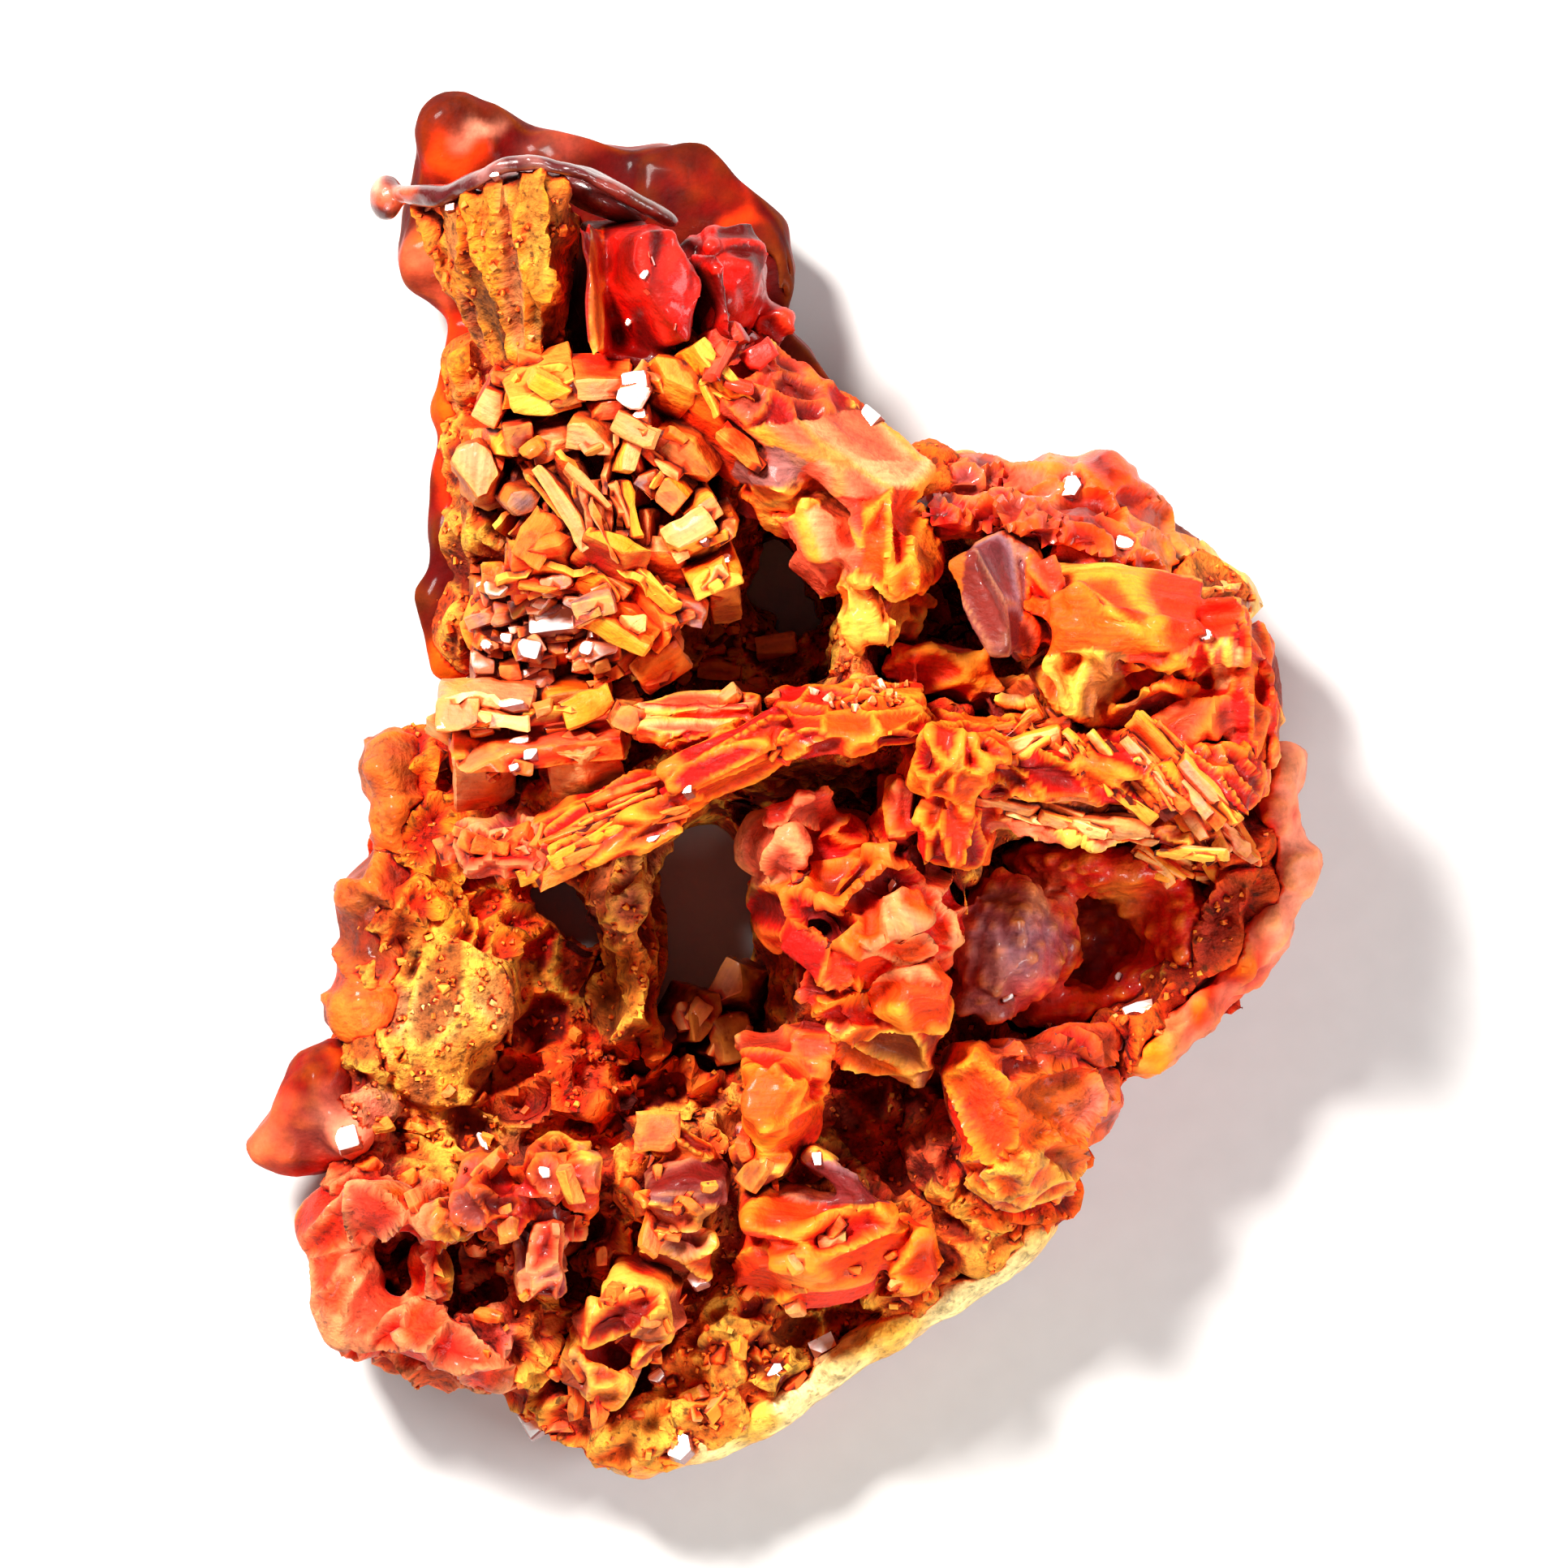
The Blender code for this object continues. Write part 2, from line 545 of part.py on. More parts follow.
def left_flank(grow):
    """The orange lobes down the left side."""
    pieces = [
        lump((-12.2, 0.7, 6.0), (2.3, 2.2, 4.4), (-20, 0, 0), grow),
        lump((-12.0, -0.9, 5.6), (2.0, 2.4, 4.2), (0, 0, 0), grow),
        lump((-12.6, -3.4, 5.2), (3.6, 2.6, 4.4), (35, 0, 0), grow),
        lump((-12.9, -5.2, 5.0), (2.4, 2.4, 4.2), (0, 0, 0), grow),
        lump((-13.2, -7.0, 4.8), (2.6, 2.6, 4.2), (0, 0, 0), grow),
    ]
    return crust(pieces, 300, 0.25, 13)


def left_spur(grow):
    """The big purple-red spur that sticks out low on the left."""
    pieces = [
        sheet(SPUR_OUTLINE, 3.0, 5.4, grow, 0.7),
        lump((-14.6, -9.6, 4.8), (2.4, 4.0, 4.0), (-32, 0, 0), grow),
        lump((-15.4, -11.1, 4.4), (2.6, 2.0, 3.2), (15, 0, 0), grow),
        lump((-13.5, -10.9, 6.0), (1.7, 1.9, 3.0), (0, 0, 0), grow),
    ]
    return crust(pieces, 240, 0.15, 14)


def lower_left_cluster(grow):
    """The cavernous pinkish crust at the lower left."""
    pieces = [
        lump((-13.9, -13.6, 5.4), (2.9, 2.4, 4.6), (10, 0, 0), grow),
        lump((-13.6, -15.6, 5.4), (2.4, 3.2, 4.6), (0, 0, 0), grow),
        lump((-13.2, -17.2, 5.0), (2.6, 1.7, 4.2), (0, 0, 0), grow),
        lump((-11.2, -17.2, 6.4), (3.4, 1.7, 4.0), (-24, 0, 0), grow),
        lump((-9.6, -18.0, 5.8), (2.8, 1.5, 4.0), (-20, 0, 0), grow),
        lump((-12.4, -13.1, 8.2), (2.6, 1.7, 3.4), (-10, 0, 0), grow),
        lump((-10.6, -13.5, 8.6), (2.6, 1.4, 3.4), (0, 0, 0), grow),
        lump((-11.0, -15.0, 6.4), (1.2, 2.0, 3.4), (20, 0, 0), grow),
    ]
    return crust(pieces, 420, 0.3, 15)


# ---- crystal groups ----------------------------------------------------------------------------------
def horn_crystals(grow):
    """The bright red tabular crystal beside the horn's cavity, and the darker shards by it."""
    return fused([
        plate((-4.4, 15.3, 11.3), (4.8, 2.9, 7.6), (98, 4, 12), grow, 6, 0.2),
        block((-5.1, 15, 10.8), (4.2, 0.8, 7), (92, 0, -9), grow, 0.1),
        block((-4.2, 13.4, 10.1), (2.4, 1, 5.4), (-8, 0, 15), grow, 0.15),
        plate((-1.9, 15.4, 8.1), (3.2, 1.7, 5.4), (70, 0, -18), grow, 6, 0.25),
        block((-2.2, 14.1, 8.8), (2.6, 0.9, 4.8), (35, 0, -27), grow, 0.15),
        plate((-0.8, 14.3, 7.1), (2.4, 1.4, 3.9), (100, 0, 22), grow, 6, 0.2),
        block((-1.5, 16.4, 7.7), (2, 0.7, 3.7), (-30, 0, -30), grow, 0.1),
    ])


def yellow_blades(grow):
    """The row of yellow slabs below the horn and the blades at its right end."""
    return fused([
        block((-6.2, 12.3, 10.0), (6.6, 1.3, 5.0), (2, 0, 0), grow, 0.1),
        block((-7.4, 12.3, 12.6), (2.5, 1.2, 2.5), (12, 0, 36), grow, 0.15),
        block((-9, 11.9, 10.9), (1.1, 1.3, 2.9), (-28, 0, 15), grow, 0.2),
        block((-5.6, 12, 13.2), (1.3, 1.2, 2.4), (-14, 0, 21), grow, 0.1),
        block((-4.5, 12.2, 13.4), (1.3, 0.9, 2.7), (8, 0, 27), grow, 0.12),
        block((-3.6, 12.2, 12.7), (2.2, 1.1, 3.1), (-34, 0, -30), grow, 0.15),
        block((-2.2, 12, 13.3), (3.4, 0.6, 3.6), (-54, 0, -30), grow, 0.1),
        block((-1.8, 11, 12.9), (2.9, 0.55, 3.4), (-30, 0, -42), grow, 0.1),
        block((-2.9, 12.6, 11.0), (1.6, 1.0, 3.6), (-50, 0, 0), grow, 0.1),
    ])


def plate_nest(grow):
    """The nest of thin tan plates around its red cavity, with the blunt block at its left."""
    return fused([
        block((-5.8, 9.8, 10.2), (3.4, 2.6, 3.6), (-10, 0, 0), grow, 0.1),
        block((-6, 11, 12.8), (1.6, 1.1, 2.4), (14, 6, 30), grow, 0.12),
        block((-6.6, 8.7, 12.5), (3.4, 0.55, 3.1), (-58, 0, 18), grow, 0.1),
        block((-7.1, 8.8, 11.9), (2.2, 0.3, 2.9), (-54, 0, 9), grow, 0.05),
        plate((-5.4, 8.5, 12.7), (2.2, 0.9, 3.6), (-84, 0, 15), grow, 6, 0.15),
        block((-5, 10, 12.9), (1.8, 0.6, 3.1), (74, 0, 18), grow, 0.1),
        block((-4.4, 10.2, 13.1), (1.2, 0.9, 2.9), (-34, 0, -15), grow, 0.2),
        block((-6, 7.2, 11.7), (1.7, 0.45, 3.4), (-14, 0, -27), grow, 0.1),
        block((-7.7, 8.6, 10.9), (1.4, 0.6, 3.4), (58, 0, 21), grow, 0.12),
        plate((-4.1, 7.6, 11.5), (1.7, 0.6, 3.7), (82, 0, -18), grow, 6, 0.1),
        plate((-9.1, 9.6, 10), (2.4, 2, 4.8), (84, 0, -15), grow, 8, 0.18),
        block((-8.4, 9.1, 10.2), (1.4, 1.1, 4.4), (40, 0, 12), grow, 0.18),
        block((-8.3, 10.9, 11.2), (1.0, 0.9, 5.0), (20, 0, 0), grow, 0.12),
        block((-7.6, 10.6, 10.9), (2.4, 0.7, 3.4), (10, 0, 33), grow, 0.1),
        block((-7.4, 11.1, 10.7), (1.5, 0.6, 3.7), (4, 0, 15), grow, 0.1),
    ])


def lower_fins(grow):
    """The long curved fins that close the nest below, and the tan plate under them."""
    return fused([
        block((-7.3, 6.4, 11.8), (2.5, 0.8, 4.2), (14, -4, -33), grow, 0.15),
        block((-5.6, 6.4, 12.4), (2.4, 0.7, 4.6), (-28, 0, -30), grow, 0.12),
        block((-4.6, 5.6, 11.8), (2.6, 0.8, 4.6), (-32, 0, 33), grow, 0.15),
        block((-5.4, 5.4, 10.9), (1.7, 0.8, 3.9), (-100, 0, 21), grow, 0.1),
        block((-4.1, 6.3, 11.9), (2.3, 0.7, 3.6), (2, 0, -38), grow, 0.12),
        plate((-4.2, 4.3, 10.1), (2.5, 1.8, 3.1), (35, 6, 21), grow, 6, 0.1),
        block((-5.5, 4.5, 9.6), (0.9, 1.5, 4.2), (4, 0, 0), grow, 0.1),
    ])


def stepped_stack(grow):
    """The ladder of square tan blocks at the right of the nest."""
    return fused([
        block((-3.1, 10.4, 11.7), (2.7, 1.3, 3.7), (-36, 0, 33), grow, 0.1),
        block((-3.9, 9.7, 12.5), (1, 1, 3.1), (-36, 0, 15), grow, 0.1),
        block((-3.1, 9.3, 12.7), (1.1, 0.9, 2.9), (-40, 0, 21), grow, 0.12),
        block((-2.7, 8.5, 12.6), (1.2, 0.9, 2.9), (28, 0, 21), grow, 0.12),
        block((-2.5, 7.5, 12.9), (1.7, 1.2, 3.1), (24, 0, -21), grow, 0.14),
        block((-2.4, 6.7, 12.1), (1.5, 1.2, 3.4), (18, 0, 24), grow, 0.12),
        block((-2.9, 5.7, 11.1), (1.3, 0.9, 3.7), (-8, 0, 27), grow, 0.12),
        block((-1.9, 5.9, 10.7), (0.9, 1.2, 3.4), (12, 0, -15), grow, 0.1),
        block((-3.0, 8.0, 9.8), (1.2, 3.6, 3.4), (0, 0, 0), grow, 0.1),
    ])


def glitter_mosaic(grow):
    """The mosaic of small square crystals with mirror faces."""
    tiles = [(-9.0, 5.0, 10.2, 1.3, 6), (-7.9, 5.9, 10.6, 0.9, -8), (-8.9, 6.2, 10.0, 0.9, 4),
             (-7.1, 5.0, 10.9, 1.0, 2), (-6.4, 5.0, 10.7, 0.8, 2), (-7.8, 4.3, 11.0, 0.8, -12),
             (-8.5, 3.7, 10.6, 0.7, 10), (-7.6, 3.4, 10.2, 0.9, 12), (-7.0, 4.0, 10.8, 0.8, 5),
             (-6.2, 4.2, 10.5, 0.7, -20), (-9.3, 3.9, 9.8, 0.8, -6), (-6.7, 6.0, 10.2, 0.8, 12)]
    pieces = [block((-7.7, 4.8, 8.2), (4.2, 3.4, 2.6), (0, 0, 0), grow, 0.1)]
    for index, (x, y, top, size, heading) in enumerate(tiles):
        lean = BLADE_TILT * (0.5 - (index % 3) * 0.5)
        pieces.append(block((x, y, top - 1.3), (size, size * 0.85, 2.6), (heading, 0, lean), grow, 0.05))
    return fused(pieces)


def left_slabs(grow):
    """The stack of long flat slabs on the left, above the cross band."""
    return fused([
        block((-9.2, 2.5, 11.4), (3, 0.6, 2.7), (-4, 0, 24), grow, 0.08),
        block((-6.6, 2.7, 9.6), (2.6, 1.2, 2.5), (8, 0, 18), grow, 0.1),
        block((-9.9, 1.8, 10.3), (2.6, 1.1, 3.1), (-4, 0, -24), grow, 0.1),
        block((-7.6, 1.3, 11.3), (5.6, 0.8, 2.9), (7, 0, 21), grow, 0.08),
        block((-9.3, 0.6, 10.3), (1.9, 1.5, 3.1), (3, 0, -33), grow, 0.06),
        plate((-6.2, 0.7, 11.6), (2.7, 1.2, 2.2), (10, 0, -39), grow, 6, 0.08),
        block((-7.6, 1.6, 8.0), (5.8, 2.2, 2.4), (4, 0, 0), grow, 0.1),
    ])


def diagonal_arm(grow):
    """The raised arm that runs down to the right with its broad tan faces."""
    return fused([
        block((1.3, 10.6, 13.5), (6.6, 1.3, 3.1), (-37, 0, 39), grow, 0.1),
        block((1.9, 9.4, 12.9), (3.4, 1.3, 2.9), (-39, 0, -24), grow, 0.1),
        block((-0.9, 11.9, 13.3), (2.2, 1.5, 2.9), (-25, 0, 18), grow, 0.16),
        plate((-0.1, 9.8, 13.2), (2.7, 2.1, 2.4), (24, 8, -18), grow, 8, 0.12),
        block((-0.3, 8.9, 12.2), (2.1, 1.1, 2.7), (-28, 0, -30), grow, 0.14),
        plate((1.3, 7.8, 13.2), (2.7, 2, 2.2), (-62, 6, 15), grow, 5, 0.1),
        block((1.2, 6.7, 12.4), (1.9, 0.8, 2.5), (-40, 0, -24), grow, 0.14),
        block((3.4, 7.4, 13.5), (3.4, 1, 3.2), (-56, 0, 30), grow, 0.12),
        block((2.5, 7.1, 13.1), (1.7, 1.3, 3.1), (30, 0, 12), grow, 0.14),
        block((2.7, 5.6, 12.1), (2.6, 1.2, 3.4), (-76, 0, 18), grow, 0.14),
        block((3.5, 5.4, 11.7), (1.5, 0.7, 3.4), (62, 0, -18), grow, 0.1),
    ])


def shelf_plate(grow):
    """The thin shelf in the gap below the arm, with the brown wedge beside it."""
    return fused([
        plate((4.7, 3.7, 10.5), (4, 1.2, 1.4), (-8, 0, -24), grow, 6, 0.06),
        block((4.2, 3.4, 8.8), (2.0, 1.4, 3.4), (-6, 0, 0), grow, 0.1),
        block((7.1, 2.5, 9.7), (2.1, 1.2, 2.9), (-12, 0, 21), grow, 0.3),
        block((5.6, 2.9, 8.6), (2.6, 1.0, 2.2), (-16, 0, 0), grow, 0.1),
    ])


def violet_fin(grow):
    """The violet-grey fin to the right of the dark gap."""
    return fused([
        block((6.8, 5.8, 13.4), (3.9, 1.2, 4.2), (-67, 0, 27), grow, 0.16),
        block((7.6, 5.4, 12.5), (3, 0.6, 3.9), (-70, 0, -33), grow, 0.1),
        block((7.0, 7.0, 11.4), (1.6, 1.1, 4.0), (-30, 0, 0), grow, 0.1),
    ])


def right_fins(grow):
    """The large orange fins at the right with their yellow rims."""
    return fused([
        block((10.4, 5.2, 13.5), (4.8, 1.3, 3.7), (-10, -3, 36), grow, 0.14),
        block((9, 4.4, 13.3), (3.6, 1, 3.9), (-62, 0, -21), grow, 0.12),
        block((13, 4.6, 12.5), (2.6, 1.3, 3.4), (4, 0, 18), grow, 0.12),
        block((13.1, 3.6, 11.7), (2.1, 1.3, 3.4), (6, 0, -27), grow, 0.06),
        block((9.8, 2.9, 12.9), (2.6, 1, 3.4), (50, 0, -30), grow, 0.1),
        block((11.2, 3.4, 11.9), (2.6, 1.2, 3.2), (14, 0, -36), grow, 0.1),
        block((8.9, 2.9, 12.5), (1.9, 1, 3.7), (76, 0, 15), grow, 0.12),
        block((14.4, 3.4, 11.3), (3.2, 0.8, 3.7), (-82, 0, 18), grow, 0.14),
        block((12.8, 2.3, 12.3), (3.6, 1.1, 3.2), (16, 0, 18), grow, 0.12),
        block((8.2, 3.4, 11.6), (1.2, 1.0, 3.6), (30, 0, 0), grow, 0.16),
        block((14.5, 1.3, 11.5), (2.4, 0.8, 3.6), (-104, 0, 12), grow, 0.12),
    ])


def cross_band(grow):
    """The raised band that crosses the middle and fans out to the right."""
    pieces = [
        block((-5.3, -1.2, 13.3), (4.8, 1.4, 3.4), (24, 6, 21), grow, 0.12),
        block((-1.6, 0.8, 14.1), (4.8, 1.2, 3.2), (26, 4, -15), grow, 0.12),
        block((2, 1.9, 14.1), (4.8, 1.2, 3.4), (3, 0, 24), grow, 0.14),
        block((-2.8, 2, 12.9), (4, 0.8, 2.9), (-1, 0, 24), grow, 0.12),
        block((-8.6, -2, 10.9), (3.2, 1.3, 3.1), (10, 0, 15), grow, 0.2),
        block((5.2, 0.6, 13.9), (2.2, 2.8, 3.7), (76, 0, 9), grow, 0.12),
        block((5.2, -1.2, 13.1), (2.8, 1.9, 3.6), (88, 0, -12), grow, 0.12),
        block((9.6, 0.6, 13.1), (10.6, 1.9, 3.9), (-4, 0, 12), grow, 0.1),
        block((8, -0.6, 13.2), (4, 0.8, 1.9), (2, 0, -21), grow, 0.1),
    ]
    laths = 9
    for index in range(laths):
        share = index / (laths - 1)
        x = 6.2 + 8.2 * share
        y = 0.9 - 1.5 * share
        pieces.append(block((x, y, 14.2 - 1.0 * share), (3.4, 0.55, 3.0),
                            (-34 - 22 * math.sin(share * math.pi), 0, 12 - 24 * (index % 2)), grow, 0.1))
    return fused(pieces)


def central_cluster(grow):
    """The crumpled orange-red cluster hanging below the band."""
    return fused([
        block((2.9, -4.2, 9.4), (4.4, 5.2, 4.4), (8, 0, 0), grow, 0.15),
        plate((-0.3, -1.9, 11.5), (1.9, 1.3, 3.9), (80, 0, 15), grow, 8, 0.1),
        block((0.6, -1.2, 11.9), (2.4, 0.7, 3.4), (18, 0, -24), grow, 0.1),
        block((0, -3.8, 11), (2.4, 1, 4.2), (-70, 0, -18), grow, 0.14),
        block((3.4, -1, 12.1), (2.6, 0.8, 3.7), (88, 0, 9), grow, 0.1),
        block((1.6, -3, 12.3), (3.2, 0.9, 3.7), (14, 0, 27), grow, 0.12),
        block((2.6, -3.6, 12.7), (3.4, 0.8, 3.9), (38, 0, -30), grow, 0.12),
        block((1.4, -4.8, 12), (2.8, 1, 4.1), (-34, 0, 24), grow, 0.12),
        block((3.2, -5, 12.4), (3.6, 1.3, 4.1), (20, 0, -27), grow, 0.14),
        block((4.2, -4, 12.3), (2.6, 1.1, 3.7), (-64, 0, 27), grow, 0.12),
        plate((3.8, -6.6, 11.7), (3.2, 2, 3.4), (-20, 0, -24), grow, 6, 0.12),
        block((2.1, -6.4, 11.3), (3, 1.1, 3.7), (-44, 0, 30), grow, 0.14),
        block((3.2, -7.7, 10.7), (3.4, 1, 3.4), (-18, 0, -36), grow, 0.12),
        block((1.2, -1.9, 10.0), (2.6, 1.8, 4.0), (0, 0, 0), grow, 0.1),
    ])


def lower_orange_block(grow):
    """The rounded orange crystal below the central opening."""
    return fused([
        plate((-0.2, -10, 9.8), (2.6, 2.3, 4.1), (30, 0, -12), grow, 8, 0.16),
        block((-0.4, -8.8, 9.3), (2, 1.5, 3.4), (10, 0, 18), grow, 0.16),
        block((0.8, -8.5, 8.7), (1.5, 2.3, 3.4), (-12, 0, -12), grow, 0.18),
        block((-0.6, -11.6, 8.2), (1.9, 1.6, 3.6), (30, 0, 0), grow, 0.16),
    ])


def brown_plate(grow):
    """The dull brown plate in the lower middle."""
    return fused([
        plate((-3, -12.6, 9.4), (3, 1.9, 2.2), (4, 0, 21), grow, 6, 0.08),
        block((-3.2, -14.2, 8.4), (2.2, 1.3, 2.5), (-16, 0, -21), grow, 0.14),
        block((-3.4, -11.2, 8.6), (2.6, 0.7, 2.5), (-28, 0, -15), grow, 0.14),
    ])


def lower_plates(grow):
    """The stacked orange plates at the lower middle, with the grey prism across a small gap."""
    return fused([
        plate((1.6, -14.2, 9.4), (5, 2.4, 2.2), (14, 0, -18), grow, 6, 0.08),
        plate((1.2, -15, 8.6), (3.6, 1.7, 2.4), (8, 0, -30), grow, 6, 0.1),
        block((0.2, -13.3, 9.4), (3.4, 1, 2.5), (-4, 0, 21), grow, 0.14),
        block((3.9, -14.6, 8), (1.7, 1.9, 2.7), (20, 0, 15), grow, 0.2),
        block((-0.8, -14.6, 8), (1.4, 2, 2.5), (-8, 0, -15), grow, 0.2),
        plate((1.9, -12.4, 10), (2.9, 0.75, 0.6), (-42, 4, 30), grow, 6, 0.1),
        block((1.0, -11.6, 9.0), (1.2, 0.9, 2.4), (-42, 0, 0), grow, 0.2),
    ])


def lower_left_crystals(grow):
    """The red and tan crystals between the yellow patch and the lower middle."""
    return fused([
        plate((-9.3, -12.6, 9.3), (2.2, 1.7, 3.1), (-20, 0, 21), grow, 6, 0.14),
        block((-8.3, -13.4, 9.1), (1.5, 1.2, 3.1), (40, 0, -18), grow, 0.16),
        block((-7.2, -11.9, 9.5), (1.6, 1.3, 3.1), (-24, 0, 24), grow, 0.16),
        block((-6.2, -12.2, 9.3), (1, 1.7, 3.1), (-12, 0, -12), grow, 0.16),
        block((-7.6, -14.6, 8.5), (1.5, 2.8, 2.9), (4, 0, 9), grow, 0.18),
        block((-7.8, -13.0, 7.4), (3.4, 2.2, 2.4), (0, 0, 0), grow, 0.1),
    ])


def lower_middle_crystals(grow):
    """The tan wedge and its neighbours above the bottom rim."""
    return fused([
        plate((-4.3, -16, 7.9), (3.2, 1.5, 2.9), (-48, 0, 21), grow, 6, 0.16),
        block((-5.6, -16.8, 7.3), (2, 1.2, 2.9), (30, 0, -18), grow, 0.16),
        block((-5.8, -18.3, 6.6), (2.4, 1.5, 2.5), (-24, 0, 15), grow, 0.18),
        block((-4.8, -17.0, 6.2), (2.2, 1.6, 2.4), (-40, 0, 0), grow, 0.1),
    ])


def deep_crystals(grow):
    """The shadowed crystals at the bottom of the central opening."""
    return fused([
        plate((-2.9, -7.2, 3.8), (2.2, 1.3, 2.5), (80, 0, 24), grow, 6, 0.14),
        block((-1.4, -6.4, 3.6), (1.9, 1.3, 2.2), (64, 0, -21), grow, 0.2),
        block((-1.9, -7.9, 3.6), (1.9, 1.2, 2.2), (60, 0, 15), grow, 0.2),
        block((-3.8, -7.8, 3.0), (1.6, 1.6, 2.2), (0, 0, 0), grow, 0.2),
    ])


# ---- the assembly ------------------------------------------------------------------------------------
# Earlier groups keep their whole shape; a later one makes room for them, and the matrix for all.
GROUPS = [
    ("cross_band", cross_band, "vanadinite_orange"),
    ("diagonal_arm", diagonal_arm, "vanadinite_tan"),
    ("right_fins", right_fins, "vanadinite_orange"),
    ("violet_fin", violet_fin, "vanadinite_violet"),
    ("stepped_stack", stepped_stack, "vanadinite_tan"),
    ("plate_nest", plate_nest, "vanadinite_tan"),
    ("yellow_blades", yellow_blades, "crust_cream"),
    ("lower_fins", lower_fins, "vanadinite_orange"),
    ("glitter_mosaic", glitter_mosaic, "vanadinite_violet"),
    ("left_slabs", left_slabs, "vanadinite_tan"),
    ("central_cluster", central_cluster, "vanadinite_orange"),
    ("horn_crystals", horn_crystals, "vanadinite_red"),
    ("horn_crest", horn_crest, "vanadinite_violet"),
    ("shelf_plate", shelf_plate, "vanadinite_orange"),
    ("upper_right_crust", upper_right_crust, "vanadinite_red"),
    ("pocket_lining", pocket_lining, "vanadinite_red"),
    ("right_lobes", right_lobes, "vanadinite_pink"),
    ("lower_right_crust", lower_right_crust, "vanadinite_orange"),
    ("lower_orange_block", lower_orange_block, "vanadinite_orange"),
    ("lower_plates", lower_plates, "vanadinite_orange"),
    ("brown_plate", brown_plate, "vanadinite_tan"),
    ("lower_left_crystals", lower_left_crystals, "vanadinite_red"),
    ("lower_middle_crystals", lower_middle_crystals, "vanadinite_tan"),
    ("deep_crystals", deep_crystals, "vanadinite_tan"),
    ("cream_rim", cream_rim, "crust_cream"),
    ("lower_left_cluster", lower_left_cluster, "vanadinite_pink"),
    ("left_spur", left_spur, "vanadinite_pink"),
    ("left_flank", left_flank, "vanadinite_orange"),
    ("back_sheet", back_sheet, "vanadinite_red"),
]


def box_of(body):
    corners = [vertex.co for vertex in body.data.vertices]
    low = Vector([min(corner[axis] for corner in corners) for axis in range(3)])
    high = Vector([max(corner[axis] for corner in corners) for axis in range(3)])
    return low, high


def boxes_meet(first, second):
    return all(first[0][axis] - GAP < second[1][axis] and second[0][axis] - GAP < first[1][axis]
               for axis in range(3))


def grown_groups():
    """Build each group and carve the earlier ones' room out of it."""
    made = []
    for name, grow_group, finish in GROUPS:
        body = grow_group(0.0)
        own_box = box_of(body)
        for _, other_group, other_box, _ in made:
            if boxes_meet(own_box, other_box):
                body = boolean(body, other_group(GAP), "DIFFERENCE")
        body = main_island(body)
        body = thinned_cleanly(body, [triangle_count(body) * share for share in BLADE_SHARES])
        body.name = name
        made.append((body, grow_group, box_of(body), finish))
    return made


def settled(bodies):
    """Centre the specimen on the origin, stand it on z = 0 and scale it to metres."""
    boxes = [box_of(body) for body in bodies]
    low = Vector([min(box[0][axis] for box in boxes) for axis in range(3)])
    high = Vector([max(box[1][axis] for box in boxes) for axis in range(3)])
    shift = Vector((-(low.x + high.x) / 2, -(low.y + high.y) / 2, -low.z))
    for body in bodies:
        body.data.transform(Matrix.Scale(MM, 4) @ Matrix.Translation(shift))


def dressed(body, name, finish, parts):
    body.name = name
    body.data.name = name
    body.data.materials.clear()
    body.data.materials.append(finish_material(finish))
    for group in list(body.users_collection):
        group.objects.unlink(body)
    parts.objects.link(body)


def main():
    clear_scene()
    parts = new_collection(PART_NAME)
    groups = grown_groups()
    matrix = socketed(matrix_body(), groups)
    dressed(matrix, "matrix", "matrix_ochre", parts)
    for (name, _, finish), (body, _, _, _) in zip(GROUPS, groups):
        dressed(body, name, finish, parts)
    settled([matrix] + [group[0] for group in groups])


main()
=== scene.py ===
import json
import math
import random

import bmesh
import bpy
from mathutils import Matrix, Vector, noise
from mathutils.bvhtree import BVHTree

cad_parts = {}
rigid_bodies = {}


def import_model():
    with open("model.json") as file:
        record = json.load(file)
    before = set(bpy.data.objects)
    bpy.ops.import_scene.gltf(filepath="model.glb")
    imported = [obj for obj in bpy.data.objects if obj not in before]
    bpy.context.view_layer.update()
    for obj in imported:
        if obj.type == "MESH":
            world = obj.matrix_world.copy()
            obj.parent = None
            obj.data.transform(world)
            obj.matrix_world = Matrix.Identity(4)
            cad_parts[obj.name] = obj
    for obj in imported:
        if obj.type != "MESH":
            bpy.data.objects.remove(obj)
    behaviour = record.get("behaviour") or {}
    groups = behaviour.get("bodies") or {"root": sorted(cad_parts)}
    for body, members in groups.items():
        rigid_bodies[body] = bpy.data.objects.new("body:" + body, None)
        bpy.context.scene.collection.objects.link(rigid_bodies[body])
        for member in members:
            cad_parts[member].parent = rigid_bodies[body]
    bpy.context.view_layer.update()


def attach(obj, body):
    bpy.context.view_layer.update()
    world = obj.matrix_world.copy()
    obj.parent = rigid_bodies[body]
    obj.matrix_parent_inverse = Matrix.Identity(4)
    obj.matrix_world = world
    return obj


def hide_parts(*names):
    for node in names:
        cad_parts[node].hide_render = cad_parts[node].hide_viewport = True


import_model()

SWIRLS = 4                                   # seed of the noise that winds the lattices
noise.seed_set(SWIRLS)

# ---- the specimen's own measure -------------------------------------------------------------------
# Crystals are placed in millimetres, X to the right and Y up as the face is seen, Z out of the face.
MM = 0.001
ORIGIN = Vector((0.1108, 0.0663, -0.9))     # from that measure to the frame's origin
VIEW_WIDTH = 48.3                            # what the view spans at the face's height
FACE_HEIGHT = 11.0
CAMERA_HEIGHT = 600.0
SENSOR = 36.0
VIEW_CENTRE = (0.0858, 0.0663)               # where the camera looks down, from the frame's origin
LAMP_AIM = Vector((0.0, 0.0, 0.008))         # what every lamp points at, in metres

